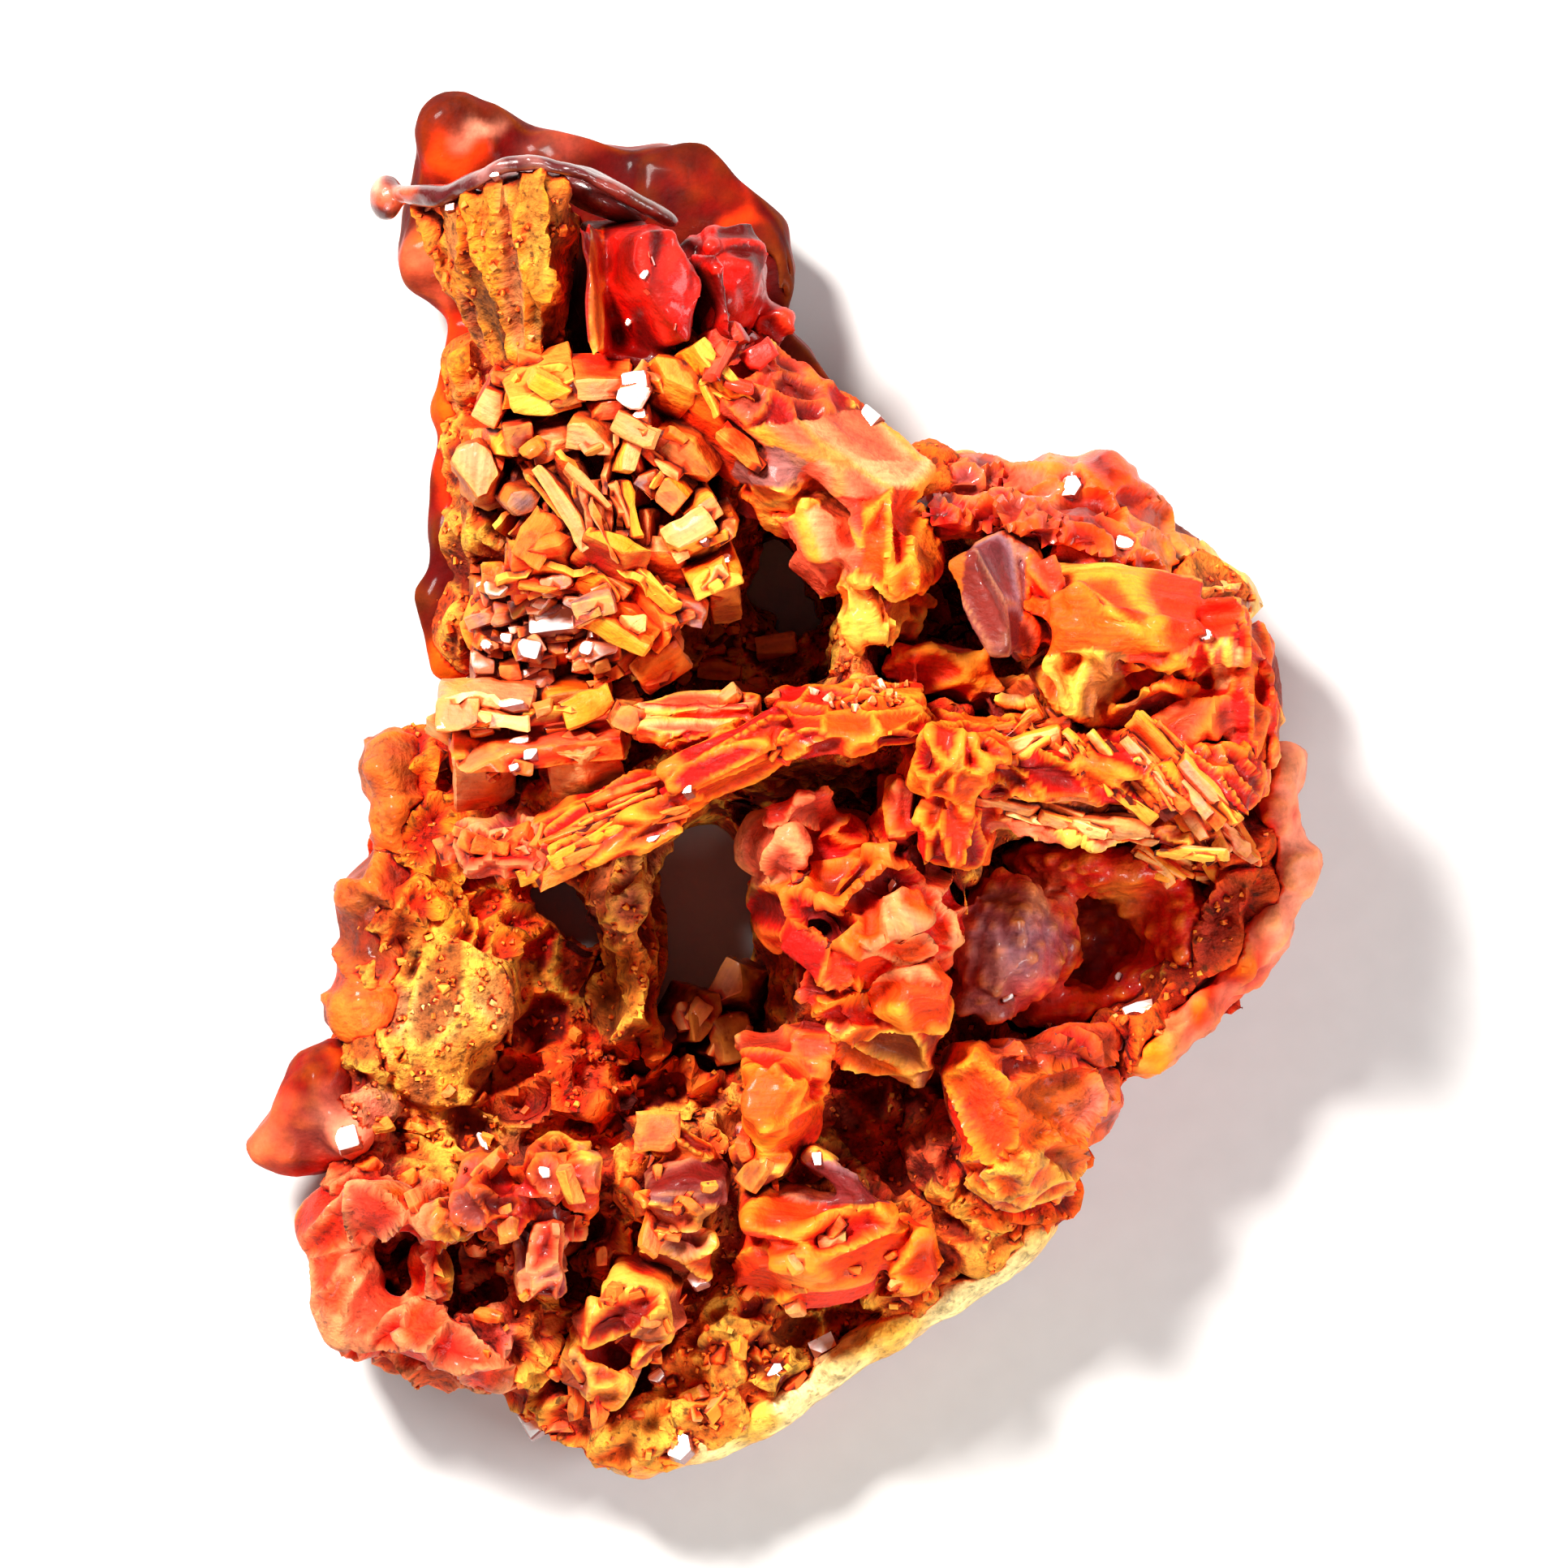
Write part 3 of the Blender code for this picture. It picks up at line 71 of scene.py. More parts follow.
STONE_GRAIN = 0.2
FUSED_GRAIN = 0.14
SHEET_FACE = 5.0                             # height of the back sheet's flat face
LEDGE = 6.2                                  # height of the flat yellow crust
LEDGE_AREA = (-10.6, -7.4, 2.2, 3.2)         # its middle, half width and half height
HOLLOW_FLOOR = 4.0                           # no deep hollow goes lower than this
LOBE_GRAIN = 0.18
CRUMBS = 4500
ISLAND = 400                                 # a loose part with fewer corners is left out
THICKET_SHARE = 0.3
THICKET_SIZE = 1.25
LATH = 0.2                                   # thinner crystals than this grow as slim laths
LEAN_SHARES = (1.6, 0.6, 1.0)                # how far a thicket's heading, pitch and roll may stray
SMALL = 0.5                                  # shorter crystals than this have no chamfers or relief
LOWEST, HIGHEST = 3.0, 15.2                  # between which heights crystals and crumbs are set
GLINT_FLOOR = 4.0                            # no bright face lies lower than this
ABOVE = 30.0                                 # clear of everything, where lines start downwards
CELL = 0.3                                   # longest edge of a cut crystal face
CHAMFER = 0.05
FIN_CELL = 0.42
RIM_REACH = 0.14                             # how far the pale rim runs in from an edge
HOLLOW_REACH = 2.4                           # how far away a neighbour still shades a hollow


# ---- colours ---------------------------------------------------------------------------------------
def tone(red, green, blue):
    """A colour named by its screen values, as the shader's linear values."""
    return tuple(((v / 255 + 0.055) / 1.055) ** 2.4 if v > 10 else v / 255 / 12.92
                 for v in (red, green, blue))


TONES = {
    "deep": tone(80, 3, 2),
    "blood": tone(112, 5, 1),
    "red": tone(204, 14, 3),
    "flame": tone(236, 50, 5),
    "orange": tone(248, 92, 8),
    "amber": tone(255, 140, 20),
    "straw": tone(255, 184, 62),
    "cream": tone(255, 224, 150),
    "tan": tone(226, 138, 92),
    "sand": tone(240, 170, 108),
    "rose": tone(226, 92, 58),
    "pink": tone(246, 146, 114),
    "plum": tone(130, 48, 38),
    "violet": tone(158, 92, 84),
    "wine": tone(86, 22, 24),
    "mauve": tone(140, 96, 104),
    "brown": tone(160, 70, 30),
    "umber": tone(80, 30, 10),
    "ochre": tone(220, 134, 44),
    # painted highlight: the white of glints of light on crystal faces
    "white": tone(250, 240, 236),
}


def mixed(first, second, share):
    return tuple(a + (b - a) * share for a, b in zip(first, second))


def scaled(colour, factor):
    return tuple(min(1.0, channel * factor) for channel in colour)


# ---- one crystal -----------------------------------------------------------------------------------
def turned(turn):
    """Rotation of a crystal: heading in the face's plane, pitch of its length, roll about it."""
    along, pitch, roll = (math.radians(angle) for angle in turn)
    return Matrix.Rotation(along, 3, "Z") @ Matrix.Rotation(-pitch, 3, "Y") @ Matrix.Rotation(roll, 3, "X")


def facing(normal, heading):
    """Rotation that lays a crystal's top face square to a normal, its length along a heading."""
    up = Vector(normal).normalized()
    along = Vector((math.cos(math.radians(heading)), math.sin(math.radians(heading)), 0.0))
    along = (along - up * along.dot(up)).normalized()
    return Matrix((along, up.cross(along), up)).transposed()


def placed(shape, vertices, place, turn):
    """Turn what was made round the origin, then move it to its place."""
    spin = turn if isinstance(turn, Matrix) else turned(turn)
    bmesh.ops.transform(shape, matrix=Matrix.Translation(place) @ spin.to_4x4(), verts=vertices)


def moved(shape, steps):
    """Move each vertex by its own step."""
    for vertex, step in zip(shape.verts, steps):
        vertex.co += step


def prism(size, sides, taper):
    """A flat prism of the given length, width and thickness; four sides give a block."""
    shape = bmesh.new()
    if sides == 4:
        bmesh.ops.create_cube(shape, size=1.0)
        for corner in shape.verts:
            narrowing = 1.0 - taper if corner.co.z > 0 else 1.0
            corner.co = Vector((corner.co.x * size[0] * narrowing, corner.co.y * size[1] * narrowing,
                                corner.co.z * size[2]))
        return shape
    bmesh.ops.create_cone(shape, cap_ends=True, segments=sides, radius1=0.5,
                          radius2=0.5 * (1.0 - taper), depth=1.0)
    for corner in shape.verts:
        corner.co = Vector((corner.co.x * size[0], corner.co.y * size[1] * 1.12, corner.co.z * size[2]))
    return shape


def broken_corners(shape, size, rng, cuts):
    """Break corners off with flat cuts, each square to no other face."""
    reach = Vector(size) / 2
    for _ in range(cuts):
        way = Vector((rng.choice((-1, 1)) * rng.uniform(0.3, 1.0),
                      rng.choice((-1, 1)) * rng.uniform(0.3, 1.0), rng.uniform(-0.3, 0.8)))
        normal = Vector((way.x / reach.x, way.y / reach.y, way.z / reach.z)).normalized()
        reaches = [(vertex.co.dot(normal), index) for index, vertex in enumerate(shape.verts)]
        shape.verts.ensure_lookup_table()
        corner = shape.verts[max(reaches)[1]].co.copy()
        depth = rng.uniform(0.06, 0.22) * (max(reaches)[0] - min(reaches)[0])
        bmesh.ops.bisect_plane(shape, geom=shape.verts[:] + shape.edges[:] + shape.faces[:],
                               plane_co=corner - normal * depth, plane_no=normal, clear_outer=True)
        bmesh.ops.holes_fill(shape, edges=[edge for edge in shape.edges if edge.is_boundary])


def face_planes(shape):
    return [(face.calc_center_median(), face.normal.copy()) for face in shape.faces]


def edge_closeness(spot, planes):
    """One on a crystal's edge, falling to nothing a short way in on the face."""
    depths = sorted(max(0.0, (centre - spot).dot(normal)) for centre, normal in planes)
    return math.exp(-depths[1] / RIM_REACH)


def cut_small(shape, cell):
    """Cut long edges until the faces are small enough to carry their relief."""
    for _ in range(5):
        long_edges = [edge for edge in shape.edges if edge.calc_length() > cell * 1.6]
        if not long_edges:
            return
        bmesh.ops.subdivide_edges(shape, edges=long_edges, cuts=1, use_grid_fill=True)
        bmesh.ops.triangulate(shape, faces=[f for f in shape.faces if len(f.verts) > 4])


def new_layers(shape):
    """The paint, the pale rim, the shaded hollows and the crystal's own measure."""
    layers = ((shape.loops.layers.float_color, "paint"), (shape.verts.layers.float, "rim"),
              (shape.verts.layers.float, "hollow"), (shape.verts.layers.float_vector, "own"))
    return [kind.get(name) or kind.new(name) for kind, name in layers]


def crystal(place, size, turn, top, side, sides=4, taper=0.1, seed=0, relief=1.0, cuts=2, small=False):
    """One crystal as a mesh with its colours: top faces, side faces and paler edges."""
    rng = random.Random(seed)
    shape = prism(size, sides, taper)
    shape.normal_update()
    broken_corners(shape, size, rng, cuts)
    shape.normal_update()
    planes = face_planes(shape)
    chamfer = min(CHAMFER, min(size) * 0.2)
    sharp = [edge for edge in shape.edges if edge.calc_face_angle(0.0) > 0.4]
    if not small:
        bmesh.ops.bevel(shape, geom=sharp, offset=chamfer, offset_type="OFFSET", segments=1, profile=0.5,
                        affect="EDGES", clamp_overlap=True, material=-1)
        cut_small(shape, CELL)
    paint, rim, _, own = new_layers(shape)
    shape.normal_update()
    # painted light: faces that point the same way share one brightness, drawn at random for each direction
    # and crystal
    light = rng.uniform(0.78, 1.15)
    face_light = {}
    offset = Vector((seed * 1.3 % 50, seed * 2.1 % 70, seed * 0.7 % 30))
    for vertex in shape.verts:
        vertex[rim] = edge_closeness(vertex.co, planes)
        vertex[own] = vertex.co + offset
    for face in shape.faces:
        heading = tuple(round(value) for value in face.normal * 1.6)
        if heading not in face_light:
            face_light[heading] = light * rng.uniform(0.8, 1.15)
        colour = top if abs(face.normal.z) > 0.6 else side
        shade = (*scaled(colour, face_light[heading]), 1.0)
        for corner in face.loops:
            corner[paint] = shade
    if not small:
        pushes = []
        for vertex in shape.verts:
            spot = vertex.co + offset
            push = noise.noise(spot / 0.9) * 0.12 + noise.noise(spot / 0.33) * 0.04
            chip = max(0.0, noise.noise(spot / 0.45 + Vector((7, 3, 1)))) * vertex[rim] * 0.2
            pushes.append(vertex.normal * ((push - chip) * relief))
        moved(shape, pushes)
    placed(shape, shape.verts, place, turn)
    return shape


def fin(place, size, turn, tones, curl=0.3, wave=0.25, seed=0, fine=False):
    """A thin wavy plate standing on its root; its tones are those of root, face and free edge."""
    rng = random.Random(seed)
    length, height, thickness = size
    cell = CELL if fine else FIN_CELL
    shape = bmesh.new()
    bmesh.ops.create_grid(shape, x_segments=max(3, min(20, round(length / cell))),
                          y_segments=max(2, min(14, round(height / cell))), size=0.5)
    drift = Vector((rng.uniform(0, 90), rng.uniform(0, 90), rng.uniform(0, 90)))
    narrowing = rng.uniform(0.05, 0.45)
    slant = rng.uniform(-0.3, 0.3) * height
    paint, rim, _, own = new_layers(shape)
    heights = {}
    for vertex in shape.verts:
        along, up = vertex.co.x * 2, vertex.co.y + 0.5
        jag = noise.noise(Vector((along * length / 1.4, 0.0, 0.0)) + drift) * 0.5
        jag += noise.noise(Vector((along * length / 0.5, 3.0, 0.0)) + drift) * 0.22
        inner = min((1.0 - up) * height, (1.0 - abs(along)) * length / 2)
        spot = Vector((along * length / 2 * (1.0 - narrowing * up) + slant * up,
                       up * height * (1.0 + jag), 0.0))
        spot.x += noise.noise(Vector((2.0, up * height / 0.6, 0.0)) + drift) * 0.25 * up
        spot.z = curl * height * up * up + wave * noise.noise(spot / 0.8 + drift) * 2.0 * up
        vertex.co = spot
        heights[vertex] = (up, inner)
        vertex[rim] = 0.6 * math.exp(-inner / RIM_REACH)
        vertex[own] = vertex.co + drift
    light = rng.uniform(0.82, 1.15)
    for face in shape.faces:
        for corner in face.loops:
            up, inner = heights[corner.vert]
            colour = mixed(tones[0], tones[1], min(1.0, 0.15 + up * 1.1))
            colour = mixed(colour, tones[2], 0.9 * math.exp(-inner / 0.2))
            corner[paint] = (*scaled(colour, light), 1.0)
    shape.normal_update()
    bmesh.ops.solidify(shape, geom=shape.faces[:], thickness=thickness)
    placed(shape, shape.verts, place, turn)
    bmesh.ops.recalc_face_normals(shape, faces=shape.faces)
    return shape


class Cluster:
    """Gathers crystals in one mesh."""

    def __init__(self, name, seed):
        self.name = name
        self.shape = bmesh.new()
        new_layers(self.shape)
        self.count = seed * 1000

    def add(self, *spec, make=crystal, **kind):
        self.count += 1
        grown = make(*spec, seed=self.count, **kind)
        mesh = bpy.data.meshes.new("crystal")
        grown.to_mesh(mesh)
        grown.free()
        self.shape.from_mesh(mesh)
        bpy.data.meshes.remove(mesh)


def finished_piece(shape, name, crease=0.6):
    """Write a shape in millimetres to a piece in the frame's metres, smooth between its creases."""
    for vertex in shape.verts:
        vertex.co = (vertex.co + ORIGIN) * MM
    shape.normal_update()
    for face in shape.faces:
        face.smooth = True
    for edge in shape.edges:
        edge.smooth = edge.calc_face_angle(0.0) < crease
    mesh = bpy.data.meshes.new(name)
    shape.to_mesh(mesh)
    shape.free()
    piece = bpy.data.objects.new(name, mesh)
    bpy.context.scene.collection.objects.link(piece)
    return piece


def tree_of(shapes):
    """One search tree over several shapes."""
    corners = []
    faces = []
    for shape in shapes:
        start = len(corners)
        shape.verts.index_update()
        corners += [vertex.co.copy() for vertex in shape.verts]
        faces += [[start + vertex.index for vertex in face.verts] for face in shape.faces]
    return BVHTree.FromPolygons(corners, faces)


LOOKS = [Vector((0, 0, 1)), Vector((0.8, 0, 0.5)), Vector((-0.4, 0.7, 0.5)), Vector((-0.4, -0.7, 0.5)),
         Vector((0.3, 0.6, 0.9)), Vector((-0.6, -0.1, 0.9))]


def shade_hollows(shape, tree):
    """Mark how deep each spot lies among its neighbours, by looking out of it in several directions; the
    materials paint shade from it.
    """
    shape.normal_update()
    hollow = shape.verts.layers.float["hollow"]
    for vertex in shape.verts:
        start = vertex.co + vertex.normal * 0.06
        near = 0.0
        for look in LOOKS:
            way = (vertex.normal * 0.8 + look).normalized()
            distance = tree.ray_cast(start, way, HOLLOW_REACH)[3]
            if distance is not None:
                near += 1.0 - distance / HOLLOW_REACH
        vertex[hollow] = near / len(LOOKS)


# ---- skins taken from the frame ---------------------------------------------------------------------
def lump(shape, place, size, turn):
    """A rounded lobe of the given length, width and thickness, added to a shape."""
    made = bmesh.ops.create_icosphere(shape, subdivisions=3, radius=0.5)["verts"]
    for vertex in made:
        vertex.co = Vector((vertex.co.x * size[0], vertex.co.y * size[1], vertex.co.z * size[2]))
    placed(shape, made, place, turn)


def melted(shape, grain):
    """One fine even skin over everything in a shape."""
    mesh = bpy.data.meshes.new("melting")
    shape.to_mesh(mesh)
    shape.free()
    holder = bpy.data.objects.new("melting", mesh)
    bpy.context.scene.collection.objects.link(holder)
    melt = holder.modifiers.new("melt", "REMESH")
    melt.mode = "VOXEL"
    melt.voxel_size = grain
    skin = bpy.data.meshes.new_from_object(holder.evaluated_get(bpy.context.evaluated_depsgraph_get()))
    bpy.data.objects.remove(holder, do_unlink=True)
    shape = bmesh.new()
    shape.from_mesh(skin)
    bpy.data.meshes.remove(skin)
    return shape


def whole(shape):
    """Leave out small loose islands of a skin."""
    waiting = set(shape.verts)
    while waiting:
        island, front = set(), [waiting.pop()]
        while front:
            vertex = front.pop()
            island.add(vertex)
            for edge in vertex.link_edges:
                other = edge.other_vert(vertex)
                if other in waiting:
                    waiting.discard(other)
                    front.append(other)
        if len(island) < ISLAND:
            bmesh.ops.delete(shape, geom=list(island), context="VERTS")
    return shape


def node_skin(node, grain, lumps=()):
    """A fine even skin over a node of the frame and further lumps, in millimetres."""
    source = bpy.data.objects[node]
    shape = bmesh.new()
    shape.from_mesh(source.data)
    bmesh.ops.remove_doubles(shape, verts=shape.verts, dist=1e-7)
    for vertex in shape.verts:
        vertex.co = vertex.co / MM - ORIGIN
    for place, size, turn in lumps:
        lump(shape, place, size, turn)
    return melted(shape, grain)


def smoothed(shape, rounds):
    for _ in range(rounds):
        bmesh.ops.smooth_vert(shape, verts=shape.verts, factor=0.5, use_axis_x=True, use_axis_y=True,
                              use_axis_z=True)
    shape.normal_update()
    return shape


def pushed(shape, height):
    """Move every vertex along its normal by the height that a function of its place gives."""
    moved(shape, [vertex.normal * height(vertex.co) for vertex in shape.verts])
    shape.normal_update()
    return shape


def fullness(shape, rounds=6):
    """How far each vertex stands out from its smoothed neighbourhood: ridges above zero, pits below."""
    before = [vertex.co.copy() for vertex in shape.verts]
    normals = [vertex.normal.copy() for vertex in shape.verts]
    smoothed(shape, rounds)
    heights = [(old - vertex.co).dot(normal) for old, vertex, normal in zip(before, shape.verts, normals)]
    for vertex, old in zip(shape.verts, before):
        vertex.co = old
    shape.normal_update()
    return heights


def zone_colour(spot, base, zones):
    """The colour at a spot: a base colour and soft patches, each (x, y, reach, tone)."""
    colour = base
    warp = noise.noise(spot / 1.1)
    warped_x = spot.x + 0.8 * warp
    warped_y = spot.y + 0.8 * noise.noise(spot / 1.1 + Vector((9, 4, 2)))
    for x, y, reach, name in zones:
        distance = math.hypot(warped_x - x, warped_y - y) / reach
        if distance < 1.7:
            colour = mixed(colour, TONES[name], math.exp(-distance ** 3))
    return colour


def lay_paint(shape, paint, colours):
    """Give every face's corners the colours of their vertices."""
    shape.verts.index_update()
    for face in shape.faces:
        for corner in face.loops:
            corner[paint] = colours[corner.vert.index]


def painted(shape, base, zones, contrast=1.0, ridge="amber", pit="blood"):
    """Give a skin its colours: patches, paler ridges and dark red pits, the pits' darkening a painted shade.
    """
    paint, rim, _, own = new_layers(shape)
    heights = fullness(shape)
    base_tone = TONES[base]
    colours = []
    for vertex, height in zip(shape.verts, heights):
        colour = zone_colour(vertex.co, base_tone, zones)
        drift = noise.noise(vertex.co / 0.8 + Vector((3, 9, 4)))
        colour = mixed(colour, TONES["red"], max(0.0, drift) * 0.5 * contrast)
        colour = mixed(colour, TONES[ridge], min(0.75, max(0.0, height * 5.0) * contrast))
        # painted shade: the deeper a pit, the more it takes the pit colour
        colour = mixed(colour, TONES[pit], min(0.9, max(0.0, -height * 6.0) * contrast))
        colours.append((*colour, 1.0))
        vertex[own] = vertex.co
        vertex[rim] = min(1.0, max(0.0, height * 4.0 - 0.2))
    lay_paint(shape, paint, colours)
    return shape


# ---- crystal groups ----------------------------------------------------------------------------------
# Large low blocks in blood red lie under a group's crystals as the dark body seen in its gaps: partly the
# crust's own deep red, partly painted shade.
# Each row: sides, place, size, turn, taper, colour of the top faces, colour of the side faces.
HORN_CRYSTALS = [
    (6, (-4.5, 15.3, 11.4), (5.0, 2.7, 7.4), (99, 4, 12), 0.2, "red", "flame"),
    (4, (-5.5, 15.2, 11.2), (4.4, 0.35, 6.6), (94, 0, -9), 0.1, "amber", "orange"),
    (4, (-3.1, 14.8, 11.2), (3.0, 0.35, 6.2), (100, 0, 24), 0.1, "orange", "flame"),
    (4, (-4.2, 13.4, 10.1), (2.4, 1, 5.4), (-8, 0, 15), 0.15, "red", "orange"),
    (8, (-2.1, 15.6, 9.4), (3.2, 2.9, 2.8), (30, 0, -14), 0.1, "red", "blood"),
    (8, (-1.7, 16.3, 9.2), (2.4, 2.0, 2.6), (-30, 0, -20), 0.1, "red", "amber"),
    (4, (-2.2, 14.1, 8.8), (2.6, 0.9, 4.8), (35, 0, -27), 0.15, "red", "flame"),
    (6, (-0.8, 14.3, 7.1), (2.4, 1.4, 3.9), (100, 0, 22), 0.2, "blood", "red"),
    (6, (-1.2, 13.3, 8.4), (2.0, 1.2, 2.6), (-40, 0, 22), 0.1, "red", "flame"),
    (6, (-2.3, 16.6, 10.9), (0.7, 0.6, 0.5), (20, 0, 12), 0.2, "amber", "orange"),
]
YELLOW_BLADES = [
    (4, (-6.2, 12.2, 10.0), (6.2, 1.2, 5.0), (2, 0, 0), 0.1, "brown", "blood"),
    (4, (-7.5, 12.3, 12.6), (2.4, 1.15, 2.5), (16, 0, 30), 0.12, "straw", "ochre"),
    (4, (-6.8, 12.0, 12.7), (1.2, 0.8, 2.4), (30, 0, 12), 0.12, "brown", "mauve"),
    (4, (-5.6, 12.5, 13.1), (1.9, 0.8, 2.4), (4, 0, 21), 0.1, "tan", "flame"),
    (4, (-8.9, 11.9, 11.2), (1.1, 1.3, 2.9), (-28, 0, 15), 0.2, "sand", "red"),
    # the white top is a painted highlight
    (4, (-4.6, 12.1, 13.5), (0.95, 0.9, 2.7), (-28, 0, 8), 0.1, "white", "pink"),
    (4, (-4.55, 11.15, 13.4), (0.9, 0.85, 2.7), (8, 0, 12), 0.1, "pink", "rose"),
    (6, (-3.6, 12.2, 12.9), (2.3, 1.2, 3.1), (-48, 0, -22), 0.12, "ochre", "amber"),
    (4, (-2.4, 12.1, 13.4), (3.0, 0.62, 3.6), (-52, 0, -24), 0.1, "straw", "amber"),
    (4, (-2.0, 10.9, 13.0), (2.9, 0.5, 3.4), (-34, 0, -36), 0.1, "straw", "orange"),
    (4, (-1.2, 10.6, 13.2), (1.4, 0.5, 2.6), (-46, 0, 20), 0.1, "amber", "straw"),
    (4, (-2.9, 12.6, 11.0), (1.6, 1.0, 3.6), (-50, 0, 0), 0.1, "red", "blood"),
]
PLATE_NEST = [
    (4, (-5.8, 9.8, 10.2), (3.4, 2.6, 3.6), (-10, 0, 0), 0.1, "blood", "blood"),
    (4, (-5.5, 11.9, 12.8), (1.5, 0.7, 2.2), (8, 0, 24), 0.1, "rose", "flame"),
    (4, (-5.85, 11.0, 13.0), (1.7, 1.05, 2.4), (-8, 6, 22), 0.12, "tan", "brown"),
    (4, (-5.0, 10.4, 13.2), (1.7, 0.55, 2.6), (78, 0, 18), 0.1, "sand", "straw"),
    (4, (-6.5, 8.7, 12.7), (3.1, 0.6, 2.8), (-58, 0, 14), 0.06, "sand", "tan"),
    (4, (-7.0, 8.7, 12.3), (2.5, 0.26, 2.6), (-50, 0, 8), 0.05, "ochre", "brown"),
    (4, (-6.2, 9.5, 12.2), (0.9, 0.7, 2.4), (-60, 0, 18), 0.1, "red", "plum"),
    (4, (-5.0, 8.4, 12.6), (2.0, 0.4, 3.0), (-80, 0, -14), 0.12, "amber", "brown"),
    (4, (-5.4, 8.5, 12.8), (1.9, 0.4, 3.2), (-84, 0, 26), 0.1, "violet", "sand"),
    (4, (-5.4, 7.3, 12.0), (1.4, 0.5, 3.0), (-4, 0, -20), 0.1, "ochre", "tan"),
    (4, (-4.2, 9.5, 12.9), (0.9, 0.6, 2.6), (60, 0, 20), 0.2, "straw", "tan"),
    (4, (-4.3, 10.0, 12.7), (1.2, 0.5, 2.6), (-70, 0, 20), 0.15, "rose", "red"),
    (4, (-3.9, 7.6, 11.8), (1.8, 0.5, 3.2), (84, 0, -18), 0.1, "tan", "brown"),
    (4, (-4.4, 7.4, 11.4), (1.6, 0.4, 3.0), (70, 0, 20), 0.1, "brown", "plum"),
    (6, (-7.7, 8.3, 11.4), (1.6, 0.8, 3.0), (50, 0, 21), 0.12, "tan", "flame"),
    (4, (-7.4, 7.5, 11.6), (0.9, 0.6, 2.4), (20, 0, 10), 0.12, "mauve", "rose"),
    (4, (-8.2, 7.0, 11.4), (0.9, 0.9, 2.6), (-6, 0, 10), 0.12, "red", "blood"),
    (8, (-9.3, 9.6, 10.4), (2.3, 1.7, 4.4), (84, 0, -8), 0.14, "tan", "brown"),
    (4, (-8.9, 10.5, 11.2), (0.9, 0.9, 3.4), (84, 0, 14), 0.1, "straw", "amber"),
    (6, (-8.3, 9.1, 11.4), (1.5, 1.1, 4.0), (40, 0, 14), 0.16, "mauve", "brown"),
    (4, (-8.2, 10.9, 11.6), (1.0, 1.0, 4.0), (14, 0, 10), 0.12, "plum", "rose"),
    (4, (-7.2, 10.9, 12.2), (1.5, 0.8, 3.0), (12, 0, 28), 0.1, "sand", "tan"),
    (4, (-7.4, 10.3, 11.8), (1.9, 0.45, 3.0), (22, 0, 30), 0.1, "straw", "tan"),
]
LOWER_FINS = [
    (4, (-7.3, 6.4, 11.8), (2.5, 0.8, 4.2), (14, -4, -33), 0.15, "orange", "flame"),
    (4, (-5.6, 6.4, 12.4), (2.4, 0.7, 4.6), (-28, 0, -30), 0.12, "amber", "red"),
    (4, (-4.6, 5.6, 11.8), (2.6, 0.8, 4.6), (-32, 0, 33), 0.15, "amber", "orange"),
    (4, (-5.4, 5.4, 10.9), (1.7, 0.8, 3.9), (-100, 0, 21), 0.1, "flame", "orange"),
    (4, (-4.1, 6.3, 11.9), (2.3, 0.7, 3.6), (2, 0, -38), 0.12, "sand", "orange"),
    (6, (-4.2, 4.2, 10.3), (2.4, 1.8, 3.1), (35, 6, 14), 0.1, "rose", "tan"),
    (4, (-5.5, 4.5, 9.6), (0.9, 1.5, 4.2), (4, 0, 0), 0.1, "orange", "brown"),
]
STEPPED_STACK = [
    (6, (-3.0, 10.3, 12.4), (2.8, 1.5, 3.2), (-40, 0, 18), 0.1, "brown", "ochre"),
    (4, (-3.8, 10.6, 12.9), (2.0, 0.4, 2.4), (-46, 0, 30), 0.1, "rose", "flame"),
    (4, (-3.9, 9.5, 12.7), (0.95, 0.85, 3.0), (-40, 0, 15), 0.1, "mauve", "rose"),
    (4, (-3.25, 9.1, 12.9), (1.0, 0.9, 2.9), (-40, 0, 18), 0.12, "rose", "amber"),
    (4, (-2.7, 8.6, 12.9), (1.2, 0.8, 2.9), (36, 0, 18), 0.12, "tan", "straw"),
    (4, (-2.8, 7.5, 13.0), (1.8, 1.0, 3.1), (30, 0, -14), 0.14, "sand", "straw"),
    (4, (-1.9, 8.0, 12.6), (1.0, 0.8, 3.0), (30, 0, 10), 0.14, "tan", "straw"),
    (4, (-2.3, 6.7, 12.4), (1.8, 0.9, 3.2), (22, 0, 18), 0.12, "straw", "amber"),
    (4, (-2.9, 5.8, 11.3), (1.2, 1.0, 3.4), (-8, 0, 20), 0.12, "mauve", "rose"),
    (4, (-1.9, 5.9, 11.0), (1.0, 1.1, 3.4), (10, 0, -15), 0.1, "tan", "brown"),
    (4, (-3.0, 8.0, 9.8), (1.2, 3.6, 3.4), (0, 0, 0), 0.1, "brown", "blood"),
]
